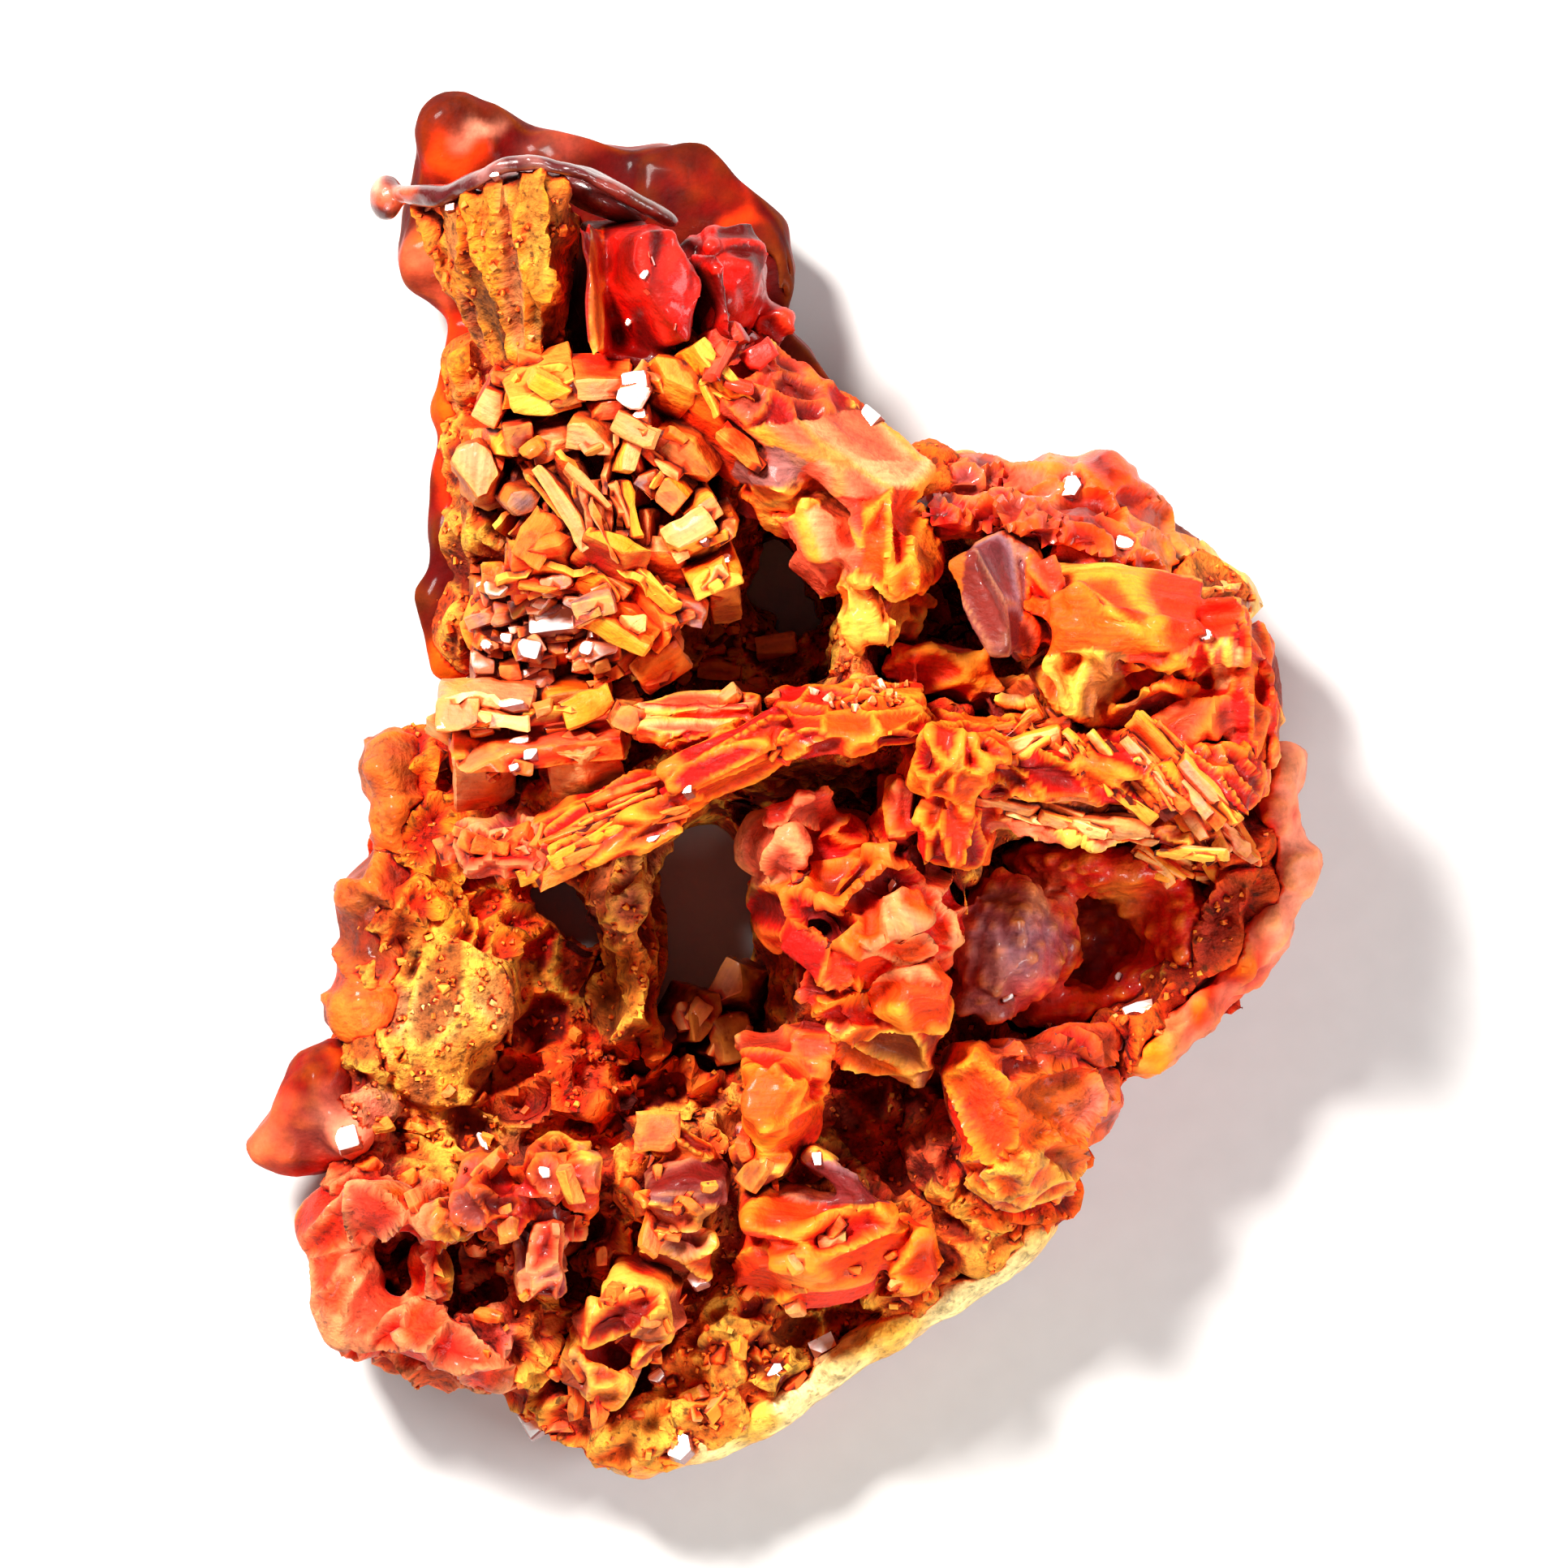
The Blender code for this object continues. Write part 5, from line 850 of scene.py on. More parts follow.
# Palettes of the lattices: the cells' deep floors, a painted shade that the deeper cells turn to, the cells
# in turn, and the walls' tops.
PALETTES = {
    "ember": ("blood", "red flame orange red rose flame", "orange"),
    "fibre": ("blood", "red flame red orange", "amber"),
    "thatch": ("blood", "red flame orange red", "amber"),
    "fringe": ("red", "sand orange tan flame", "straw"),
    "coral": ("blood", "rose red flame tan rose mauve", "tan"),
    "leafy": ("blood", "orange flame ochre orange brown", "straw"),
    "silk": ("red", "orange flame orange flame", "amber"),
    "salmon": ("red", "rose tan rose sand", "amber"),
    "garnet": ("blood", "red blood red plum rose", "flame"),
    "earth": ("blood", "brown orange flame brown tan ochre", "straw"),
    "bark": ("umber", "ochre brown ochre tan", "amber"),
    "chalk": ("brown", "straw ochre straw amber", "straw"),
    "slate": ("blood", "violet plum mauve plum", "violet"),
    "ruby": ("deep", "deep blood blood red", "red"),
    "blush": ("red", "flame rose orange rose flame", "tan"),
    "rust": ("blood", "brown red brown ochre", "orange"),
}
# Lattices of thin raised walls round sunken cells: x, y, half width, half height of the area, heading of
# the cells, their size, how far they are drawn out, height of the walls, and the palette.
LATTICES = {
    "cross_band": [
        (-9.0, -1.9, 1.8, 1.2, 10, 0.9, 1.3, 0.35, "coral"),
        (-5.2, -1.2, 2.6, 1.3, 24, 0.55, 9.0, 0.26, "fibre"),
        (-1.2, 0.9, 2.4, 1.2, 26, 0.6, 6.0, 0.3, "fibre"), (2.0, 1.8, 2.2, 1.2, 5, 0.6, 2.6, 0.34, "fibre"),
        (5.2, -0.6, 1.4, 2.4, 80, 0.75, 2.2, 0.36, "thatch"),
        (9.2, 0.8, 4.0, 0.9, -38, 0.6, 5.0, 0.4, "thatch"),
        (12.2, -0.2, 2.2, 1.2, -46, 0.6, 5.0, 0.38, "thatch"),
        (9.6, -1.3, 4.2, 0.6, -16, 0.7, 3.6, 0.3, "fringe"),
        (-2.8, 2.1, 1.8, 0.5, 0, 0.5, 7.0, 0.15, "fringe"),
    ],
    "central_cluster": [
        (0.0, -1.7, 1.2, 1.0, 50, 1.2, 1.6, 0.4, "coral"),
        (2.2, -2.4, 1.8, 1.5, 20, 1.3, 1.6, 0.46, "ember"),
        (1.2, -4.6, 1.6, 1.4, -30, 1.2, 1.5, 0.42, "ember"),
        (3.6, -4.8, 1.6, 1.6, 30, 1.2, 1.5, 0.42, "blush"),
        (3.4, -6.8, 1.8, 0.9, -18, 1.4, 1.6, 0.42, "silk"),
        (3.0, -8.0, 1.8, 0.7, -18, 1.0, 1.6, 0.34, "leafy"),
    ],
    "right_fins": [
        (10.4, 5.0, 2.4, 1.0, -8, 2.6, 1.6, 0.2, "silk"), (9.6, 3.0, 1.2, 1.2, 60, 1.5, 3.0, 0.15, "chalk"),
        (13.2, 3.7, 1.0, 0.6, 88, 0.5, 5.0, 0.12, "fringe"),
        (12.6, 1.8, 1.6, 1.0, 20, 1.3, 1.6, 0.34, "ember"),
        (14.3, 2.4, 0.6, 2.0, 96, 0.9, 3.0, 0.24, "ember"),
        (11.4, 3.4, 1.4, 0.6, 20, 1.3, 1.6, 0.3, "silk"),
    ],
    "diagonal_arm": [
        (-0.6, 11.9, 1.6, 0.8, -30, 0.9, 1.4, 0.25, "garnet"),
        (1.6, 10.4, 3.0, 0.7, -38, 1.6, 3.0, 0.1, "salmon"),
        (2.0, 9.5, 2.6, 0.6, -38, 1.8, 3.0, 0.08, "salmon"),
        (-0.2, 9.8, 1.2, 0.9, 24, 1.4, 2.0, 0.08, "slate"),
        (-0.2, 8.7, 1.4, 0.6, -28, 0.9, 2.0, 0.22, "leafy"),
        (1.2, 7.5, 1.2, 1.2, -60, 1.8, 2.0, 0.1, "salmon"),
        (3.4, 7.2, 1.0, 2.0, 70, 1.0, 2.2, 0.32, "silk"), (2.8, 5.2, 1.2, 1.4, 100, 0.8, 1.8, 0.3, "leafy"),
    ],
    "shelf_plate": [
        (4.6, 3.6, 2.0, 0.9, -8, 1.2, 2.0, 0.2, "silk"), (7.1, 2.4, 1.2, 0.8, -12, 0.9, 1.6, 0.3, "earth"),
    ],
    "violet_fin": [
        (6.7, 5.8, 0.8, 2.0, -67, 0.9, 3.0, 0.1, "slate"),
        (7.8, 5.2, 0.6, 1.8, -70, 0.9, 3.0, 0.2, "ember"),
    ],
    "lower_orange_block": [
        (-0.2, -9.8, 1.4, 1.2, 40, 1.3, 1.4, 0.25, "silk"),
        (0.4, -8.4, 1.2, 1.0, 0, 1.0, 1.4, 0.3, "ember"),
    ],
    "brown_plate": [
        (-3.0, -12.6, 1.6, 0.9, 4, 1.4, 1.6, 0.1, "slate"),
        (-3.2, -13.6, 1.8, 1.4, -16, 1.0, 1.5, 0.35, "earth"),
        (-3.4, -11.0, 1.6, 0.6, -28, 0.7, 3.0, 0.3, "leafy"),
    ],
    "lower_plates": [
        (1.6, -14.4, 2.6, 1.2, 14, 1.3, 2.2, 0.35, "silk"),
        (1.9, -12.4, 1.4, 0.5, -42, 1.5, 3.0, 0.05, "slate"),
    ],
    "lower_left_crystals": [
        (-8.4, -12.9, 1.8, 1.2, 0, 0.9, 1.3, 0.35, "garnet"),
        (-7.4, -14.8, 1.0, 1.4, 80, 0.9, 1.5, 0.35, "coral"),
    ],
    "lower_middle_crystals": [
        (-5.0, -17.0, 1.8, 2.0, 60, 1.1, 1.4, 0.35, "earth"),
    ],
    "lower_right_crust": [
        (5.8, -10.4, 1.6, 2.6, -56, 1.6, 1.6, 0.4, "silk"),
        (8.0, -9.6, 1.6, 2.0, -45, 1.3, 1.5, 0.4, "ember"),
        (7.0, -12.4, 2.0, 1.2, -30, 1.0, 1.8, 0.4, "leafy"),
        (8.4, -8.2, 2.2, 0.6, -15, 0.9, 2.4, 0.4, "garnet"),
    ],
    "lower_left_cluster": [
        (-12.6, -14.6, 1.6, 3.0, 70, 1.3, 1.4, 0.32, "blush"),
        (-10.4, -17.8, 2.6, 1.4, -10, 1.2, 1.5, 0.34, "blush"),
        (-9.0, -14.4, 1.6, 2.4, 60, 1.0, 1.4, 0.4, "earth"),
    ],
    "left_flank": [
        (-12.6, -3.0, 2.0, 5.0, 150, 1.8, 2.0, 0.4, "rust"),
    ],
    "horn_crystals": [
        (-4.2, 15.2, 1.5, 3.0, 98, 2.6, 2.5, 0.06, "ruby"),
        (-5.75, 15.2, 0.2, 2.4, 98, 1.0, 3.0, 0.05, "leafy"),
        (-1.8, 15.2, 1.3, 2.4, 60, 1.5, 1.5, 0.16, "ruby"),
        (-0.8, 13.4, 1.6, 1.0, -40, 1.0, 1.4, 0.22, "garnet"),
    ],
    "upper_right_crust": [
        (6.0, 8.0, 2.6, 1.4, -10, 0.6, 1.2, 0.3, "garnet"),
        (10.6, 7.4, 2.4, 1.2, -20, 1.0, 1.8, 0.34, "ember"),
        (13.0, 6.4, 1.4, 1.2, -40, 1.0, 1.5, 0.2, "chalk"),
        (9.0, 9.2, 2.0, 1.0, 20, 1.8, 1.2, 0.3, "ember"),
    ],
    "matrix": [
        (-8.6, 16.0, 2.6, 3.4, 97, 0.85, 7.0, 0.42, "bark"),
        (-10.6, -7.4, 1.8, 2.6, 60, 1.6, 1.3, 0.04, "chalk"),
        (-6.2, -9.6, 3.0, 2.0, 30, 1.7, 1.3, 0.75, "ember"),
        (-9.0, -11.6, 3.2, 1.4, 0, 1.2, 1.4, 0.5, "earth"),
        (-10.8, -15.0, 2.8, 3.0, 40, 1.3, 1.3, 0.6, "coral"),
        (-4.4, -11.6, 2.6, 2.0, -20, 1.4, 1.3, 0.6, "earth"),
        (-6.2, -15.6, 2.2, 3.0, 60, 1.3, 1.4, 0.6, "earth"),
        (-4.8, -18.8, 3.0, 1.8, 0, 1.2, 1.4, 0.5, "leafy"),
        (0.2, -17.0, 3.0, 1.8, 31, 1.1, 1.4, 0.5, "leafy"),
        (4.6, -14.2, 2.6, 2.0, 31, 1.2, 1.5, 0.45, "leafy"),
        (0.0, -13.0, 3.0, 2.0, 0, 1.4, 1.4, 0.5, "earth"),
        (3.6, -10.6, 1.8, 2.6, 0, 1.2, 1.3, 0.45, "garnet"),
        (7.6, -11.0, 2.6, 2.6, -50, 1.2, 2.0, 0.5, "ember"),
        (13.6, -3.6, 1.2, 4.0, 70, 1.1, 2.4, 0.5, "garnet"),
        (11.2, -7.6, 2.6, 1.0, 35, 1.0, 2.0, 0.45, "ember"),
        (13.4, 1.6, 1.6, 2.0, 60, 1.2, 1.8, 0.4, "ember"),
        (9.4, 6.6, 4.0, 1.6, -20, 1.1, 1.6, 0.4, "ember"), (6.6, 4.4, 2.8, 2.4, 0, 1.2, 1.5, 0.4, "garnet"),
        (2.4, 4.4, 1.6, 2.6, 80, 0.9, 1.6, 0.35, "leafy"),
        (-9.4, -2.6, 1.8, 2.2, 40, 1.1, 1.5, 0.5, "silk"),
        (-5.0, -5.4, 1.4, 3.2, 80, 1.0, 2.0, 0.35, "leafy"),
        (-9.0, 8.4, 1.2, 5.0, 80, 1.0, 1.6, 0.3, "earth"), (-3.0, 3.4, 3.0, 1.6, 0, 1.0, 1.3, 0.3, "earth"),
        (0.8, 9.6, 3.4, 2.4, -38, 1.2, 1.6, 0.25, "ember"),
        (-5.8, 9.0, 3.0, 3.4, 0, 1.0, 1.4, 0.3, "garnet"),
        (-11.8, -1.0, 1.4, 3.0, 60, 1.2, 1.6, 0.4, "silk"),
        (-12.4, -6.0, 1.2, 3.0, 60, 1.2, 1.8, 0.35, "earth"),
        (-13.0, -11.0, 1.2, 1.2, 0, 1.0, 1.2, 0.3, "coral"),
    ],
}
# Groups whose crystals have grown together in one skin.
FUSED = [
    "horn_crystals", "cross_band", "central_cluster", "right_fins", "diagonal_arm", "shelf_plate",
    "violet_fin", "lower_orange_block", "brown_plate", "lower_plates", "lower_left_crystals",
    "lower_middle_crystals",
]
# Group: the crystals' rows, the material and the finish of the frame's node that it stands for.
GROUPS = {
    "horn_crystals": (HORN_CRYSTALS, "red crystal", "vanadinite_red"),
    "yellow_blades": (YELLOW_BLADES, "satin crystal", "crust_cream"),
    "plate_nest": (PLATE_NEST, "satin crystal", "vanadinite_tan"),
    "lower_fins": (LOWER_FINS, "satin crystal", "vanadinite_orange"),
    "stepped_stack": (STEPPED_STACK, "satin crystal", "vanadinite_tan"),
    "glitter_mosaic": (MOSAIC_CRYSTALS, "glossy crystal", "vanadinite_violet"),
    "left_slabs": (LEFT_SLABS, "glossy crystal", "vanadinite_tan"),
    "diagonal_arm": (DIAGONAL_ARM, "satin crystal", "vanadinite_tan"),
    "shelf_plate": (SHELF_PLATE, "satin crystal", "vanadinite_orange"),
    "violet_fin": (VIOLET_FIN, "glossy crystal", "vanadinite_violet"),
    "right_fins": (RIGHT_FINS, "satin crystal", "vanadinite_orange"),
    "cross_band": (CROSS_BAND, "satin crystal", "vanadinite_orange"),
    "central_cluster": (CENTRAL_CLUSTER, "satin crystal", "vanadinite_orange"),
    "lower_orange_block": (LOWER_ORANGE_BLOCK, "satin crystal", "vanadinite_orange"),
    "brown_plate": (BROWN_PLATE, "satin crystal", "vanadinite_tan"),
    "lower_plates": (LOWER_PLATES, "satin crystal", "vanadinite_orange"),
    "lower_left_crystals": (LOWER_LEFT_CRYSTALS, "glossy crystal", "vanadinite_red"),
    "lower_middle_crystals": (LOWER_MIDDLE_CRYSTALS, "satin crystal", "vanadinite_tan"),
    "deep_crystals": (DEEP_CRYSTALS, "glossy crystal", "vanadinite_tan"),
}


# Bright faces, painted white as painted highlights, that also catch the key light: x, y, length, width,
# heading.
GLINTS = [
    (-7.1, 5.05, 1.55, 0.7, 3), (-7.9, 3.35, 0.9, 0.4, 12), (-7.9, 4.15, 0.7, 0.55, -16),
    (-9.2, 4.3, 0.4, 0.32, 0), (-6.1, 4.2, 0.36, 0.42, -20), (-5.95, 4.6, 0.3, 0.3, 0),
    (-8.6, 4.5, 0.4, 0.3, -10), (-8.4, 2.45, 0.9, 0.3, -4), (-8.2, 1.3, 0.7, 0.3, 12),
    (-7.8, 0.9, 0.4, 0.3, 0), (-8.3, 0.5, 0.3, 0.2, 20), (-11.0, 17.75, 0.3, 0.2, 20),
    (-10.3, 17.75, 0.3, 0.25, 0), (-8.9, 18.7, 0.35, 0.25, 30), (-4.8, 14.2, 0.25, 0.2, 40),
    (-4.3, 15.6, 0.3, 0.2, 60), (-4.6, 12.35, 0.75, 0.6, 8), (-4.5, 11.3, 0.55, 0.5, 12),
    (-2.5, 7.5, 0.32, 0.26, 30), (-1.8, 6.9, 0.28, 0.34, 0), (-1.2, 4.0, 0.34, 0.6, 0),
    (-4.0, -1.65, 0.55, 0.2, 26), (-3.0, -0.2, 0.4, 0.3, 20), (8.8, 9.2, 0.8, 0.6, 30),
    (10.5, 7.4, 0.6, 0.4, -20), (12.9, 4.6, 0.5, 0.36, -10), (3.3, -3.2, 0.6, 0.28, 80),
    (10.4, -6.0, 0.3, 0.3, 0), (11.0, -7.0, 0.95, 0.45, 20), (8.2, -7.5, 0.3, 0.28, 0),
    (6.9, -6.6, 0.4, 0.3, 20), (1.0, -11.6, 0.3, 0.4, 0), (-2.7, -15.3, 0.75, 0.65, 20),
    (-7.9, -19.9, 0.6, 0.8, 30), (-3.3, -20.6, 0.85, 0.85, 10), (-4.0, -18.4, 0.6, 0.5, -20),
    (-0.3, -18.3, 0.6, 0.5, 25), (1.2, -17.5, 0.8, 0.5, 25), (-13.6, -11.0, 0.7, 0.7, 15),
    (-9.4, -11.2, 0.7, 0.22, 110), (-7.4, -12.0, 0.4, 0.36, 0), (2.6, 11.3, 0.6, 0.45, -40),
]
GLINT_WAY = Vector((-0.213, 0.266, 0.94))


def grown(node, seed):
    """A cluster holding the large crystals of one group."""
    cluster = Cluster(node, seed)
    for sides, place, size, turn, taper, top, side in GROUPS[node][0]:
        cluster.add(place, size, turn, TONES[top], TONES[side], sides=sides, taper=taper)
    for place, size, turn, tones, curl in FINS.get(node, ()):
        cluster.add(place, size, turn, [TONES[name] for name in tones.split()], make=fin, curl=curl,
                    fine=True)
    return cluster


def below(ground, x, y):
    """Where a line straight down meets the ground: the spot, its normal and two values more."""
    return ground.ray_cast(Vector((x, y, ABOVE)), Vector((0, 0, -1)))


def area_spot(rng, ground, x, y, half_width, half_height, heading):
    """A random place on the ground below a turned rectangle, or nothing above a gap."""
    cosine, sine = math.cos(math.radians(heading)), math.sin(math.radians(heading))
    along, across = rng.uniform(-half_width, half_width), rng.uniform(-half_height, half_height)
    hit = below(ground, x + along * cosine - across * sine, y + along * sine + across * cosine)[0]
    return None if hit is None or not LOWEST < hit.z < HIGHEST else hit


def overgrown(cluster, ground, seed):
    """Grow the thickets of a cluster on the ground below them, each crystal half sunk in it."""
    rng = random.Random(seed)
    for *area, count, span, thickness, turn, spread, names in THICKETS.get(cluster.name, ()):
        tones = [TONES[name] for name in names.split()]
        for _ in range(int(count * THICKET_SHARE)):
            hit = area_spot(rng, ground, *area)
            if hit is None:
                continue
            length = rng.uniform(*span) * THICKET_SIZE * rng.choice((0.7, 1.0, 1.4))
            breadth = rng.uniform(0.14, 0.3) if thickness <= LATH else rng.uniform(0.35, 0.9)
            size = (length, length * breadth, thickness * rng.uniform(0.6, 1.6))
            lean = [angle + rng.uniform(-spread, spread) * share for angle, share in zip(turn, LEAN_SHARES)]
            place = (hit.x, hit.y, hit.z + rng.uniform(-0.25, 0.12) * size[1])
            top, side = rng.choice(tones), rng.choice(tones)
            cluster.add(place, size, lean, top, side, taper=rng.uniform(0.0, 0.25),
                        cuts=rng.choice((1, 2, 3)), small=length < SMALL)


# ---- the stone and the smooth crusts -------------------------------------------------------------------
STONE_PATCHES = [
    (-8.6, 17.4, 2.0, "ochre"), (-8.4, 15.0, 1.8, "ochre"), (-9.3, 16.2, 0.6, "umber"),
    (-7.3, 13.4, 1.2, "ochre"), (-7.3, 16.2, 0.7, "straw"), (-8.4, 17.3, 0.4, "plum"),
    (-8.2, 16.4, 0.4, "plum"), (-8.0, 15.5, 0.4, "plum"), (-7.8, 14.6, 0.4, "plum"),
    (-7.7, 13.8, 0.3, "cream"), (-10.4, 17.4, 0.8, "ochre"), (-9.8, 14.6, 0.7, "brown"),
    (-6.2, 15.2, 1.0, "blood"), (-4.4, 13.6, 2.4, "blood"), (-9.0, 13.2, 1.0, "ochre"),
    (-8.8, 7.2, 1.6, "brown"), (-3.4, 3.6, 1.8, "brown"), (-6.4, 3.2, 1.8, "blood"),
    (-0.8, 3.6, 1.6, "tan"), (-9.6, 8.2, 1.2, "ochre"), (-6.4, 8.8, 2.0, "blood"),
    (-1.4, 8.4, 1.8, "brown"), (-9.6, 12.2, 1.4, "orange"), (2.6, 6.4, 1.6, "orange"),
    (3.4, 4.3, 1.2, "sand"), (5.4, 6.0, 1.6, "blood"), (7.0, 8.0, 2.4, "red"), (2.2, 2.8, 1.2, "sand"),
    (0.8, -0.4, 2.2, "blood"), (-5.4, 0.0, 2.2, "blood"), (-8.0, -1.0, 1.8, "red"),
    (9.6, -4.6, 3.6, "blood"), (12.8, -4.4, 1.6, "red"), (11.4, -2.8, 1.4, "ochre"),
    (8.0, -8.2, 2.0, "red"), (13.4, 1.4, 1.4, "red"), (9.0, 7.2, 1.6, "orange"), (12.4, 6.6, 1.4, "straw"),
    (13.8, 5.2, 1.2, "sand"), (-10.4, -7.2, 1.8, "cream"), (-10.2, -8.8, 1.5, "straw"),
    (-10.6, -5.6, 1.2, "straw"), (-11.4, -10.2, 1.4, "amber"), (-12.4, -3.6, 1.6, "orange"),
    (-4.4, -3.0, 1.5, "sand"), (-5.4, -3.8, 1.0, "tan"), (-6.8, -6.8, 1.6, "red"),
    (-5.2, -6.6, 1.2, "ochre"), (-6.4, -9.8, 1.4, "flame"), (-4.4, -9.0, 1.4, "orange"),
    (-7.8, -10.9, 1.2, "rose"), (-10.2, -11.2, 1.4, "ochre"), (-13.0, -10.6, 1.2, "pink"),
    (-12.4, -13.2, 1.5, "flame"), (-11.4, -15.6, 1.8, "red"), (-9.4, -17.0, 1.6, "rose"),
    (-6.4, -15.0, 1.4, "flame"), (-6.8, -19.2, 1.6, "flame"), (-3.6, -19.6, 1.8, "ochre"),
    (-1.0, -17.8, 1.8, "ochre"), (-2.6, -13.4, 1.8, "brown"), (1.4, -16.8, 1.6, "blood"),
    (3.4, -16.4, 1.4, "orange"), (5.6, -14.4, 1.6, "ochre"), (3.2, -10.0, 2.0, "blood"),
    (4.6, -12.0, 1.4, "brown"), (7.0, -12.8, 1.4, "orange"), (2.6, -12.0, 1.4, "rose"),
    (-3.0, -9.8, 1.4, "brown"), (0.4, -18.2, 1.2, "straw"), (-4.0, -20.4, 1.2, "straw"),
]
SHEET_PATCHES = [
    (-7.5, 20.0, 2.8, "deep"), (-3.5, 19.2, 3.0, "deep"), (-0.6, 17.0, 2.4, "deep"),
    (0.4, 14.4, 1.8, "deep"), (-11.0, 20.6, 0.9, "blood"), (-10.3, 12.9, 1.6, "red"),
    (-10.3, 19.6, 0.8, "flame"), (-9.6, 20.4, 0.5, "pink"), (-6.9, 20.2, 0.9, "plum"),
    (-11.0, 16.3, 1.1, "rose"), (-10.4, 17.4, 0.8, "orange"), (-9.9, 14.2, 1.0, "flame"),
    (-9.9, 12.0, 1.0, "orange"), (-10.2, 9.6, 0.9, "flame"), (-10.3, 7.9, 1.1, "deep"),
    (-10.5, 5.4, 1.3, "deep"), (-10.4, 3.6, 1.0, "orange"), (0.6, 13.4, 1.4, "deep"),
    (2.4, 11.4, 0.8, "plum"), (-2.6, 18.4, 0.9, "blood"), (-1.0, 15.6, 1.0, "deep"),
    (-1.4, 17.6, 0.5, "flame"),
]
CREST_PATCHES = [
    (-12.3, 18.0, 0.5, "rose"), (-12.5, 18.4, 0.3, "pink"), (-9.2, 18.9, 0.3, "violet"),
    (-8.0, 18.9, 0.4, "violet"), (-5.2, 18.2, 0.8, "plum"), (-4.2, 17.8, 0.7, "umber"),
]
DRUSE_PATCHES = [
    (5.4, 10.0, 1.4, "violet"), (5.4, 8.1, 1.4, "red"), (8.2, 9.4, 1.1, "pink"), (9.0, 8.4, 1.0, "flame"),
    (10.4, 8.8, 1.4, "flame"), (11.6, 8.4, 0.8, "orange"), (12.4, 7.3, 1.2, "straw"),
    (13.8, 5.8, 1.4, "cream"), (10.4, 7.2, 0.9, "orange"), (10.0, 9.9, 0.8, "red"),
]
LOBE_PATCHES = [
    (15.4, 0.4, 1.2, "pink"), (15.9, -2.4, 1.2, "pink"), (15.5, -4.2, 1.1, "pink"),
    (14.4, -3.0, 0.9, "rose"), (14.0, -5.8, 1.0, "red"), (12.9, -7.0, 1.0, "flame"),
    (11.4, -8.4, 1.0, "amber"), (14.8, -1.0, 0.9, "red"),
]
POCKET_PATCHES = [
    (6.9, -4.9, 1.8, "mauve"), (6.3, -6.2, 1.2, "violet"), (8.0, -3.6, 0.8, "tan"),
    (10.4, -3.6, 1.0, "ochre"), (9.4, -5.4, 0.9, "blood"), (6.9, -3.6, 0.8, "plum"),
    (12.6, -4.4, 2.0, "red"), (9.6, -2.6, 1.2, "red"), (11.4, -6.4, 1.6, "red"), (9.0, -7.2, 1.4, "flame"),
]
LOWER_RIGHT_PATCHES = [
    (6.4, -9.0, 1.4, "orange"), (6.4, -11.2, 1.0, "flame"), (7.6, -12.2, 1.0, "red"),
    (5.6, -10.0, 0.8, "red"), (8.8, -9.8, 1.3, "amber"), (9.9, -9.8, 0.9, "pink"),
    (8.6, -12.0, 1.0, "ochre"), (8.8, -8.0, 1.2, "red"),
]
RIM_PATCHES = [
    (8.0, -13.4, 1.0, "straw"), (3.0, -17.2, 1.2, "straw"), (-1.0, -19.8, 1.0, "straw"),
    (-4.2, -21.0, 1.2, "amber"),
]
FLANK_PATCHES = [
    (-12.3, 1.0, 0.9, "brown"), (-12.0, -0.9, 1.0, "orange"), (-12.2, -4.4, 1.0, "brown"),
    (-13.6, -3.8, 0.5, "rose"), (-12.6, -6.3, 1.2, "blood"), (-13.7, -6.6, 0.6, "rose"),
    (-11.6, 0.4, 0.7, "brown"), (-13.2, -7.6, 0.8, "flame"), (-12.8, -2.8, 0.9, "brown"),
]
SPUR_PATCHES = [
    (-14.6, -9.4, 1.8, "blood"), (-16.2, -11.2, 1.2, "rose"), (-13.4, -10.8, 1.1, "pink"),
    (-15.0, -11.0, 1.0, "plum"),
]
CORNER_PATCHES = [
    (-12.4, -13.8, 1.2, "rose"), (-13.4, -16.2, 1.0, "rose"), (-11.0, -18.2, 1.2, "rose"),
    (-9.0, -15.2, 1.1, "red"), (-9.4, -17.8, 1.1, "brown"), (-11.8, -12.4, 0.9, "orange"),
    (-7.8, -18.6, 1.0, "orange"), (-12.6, -15.2, 0.8, "red"), (-10.2, -13.0, 1.0, "red"),
]
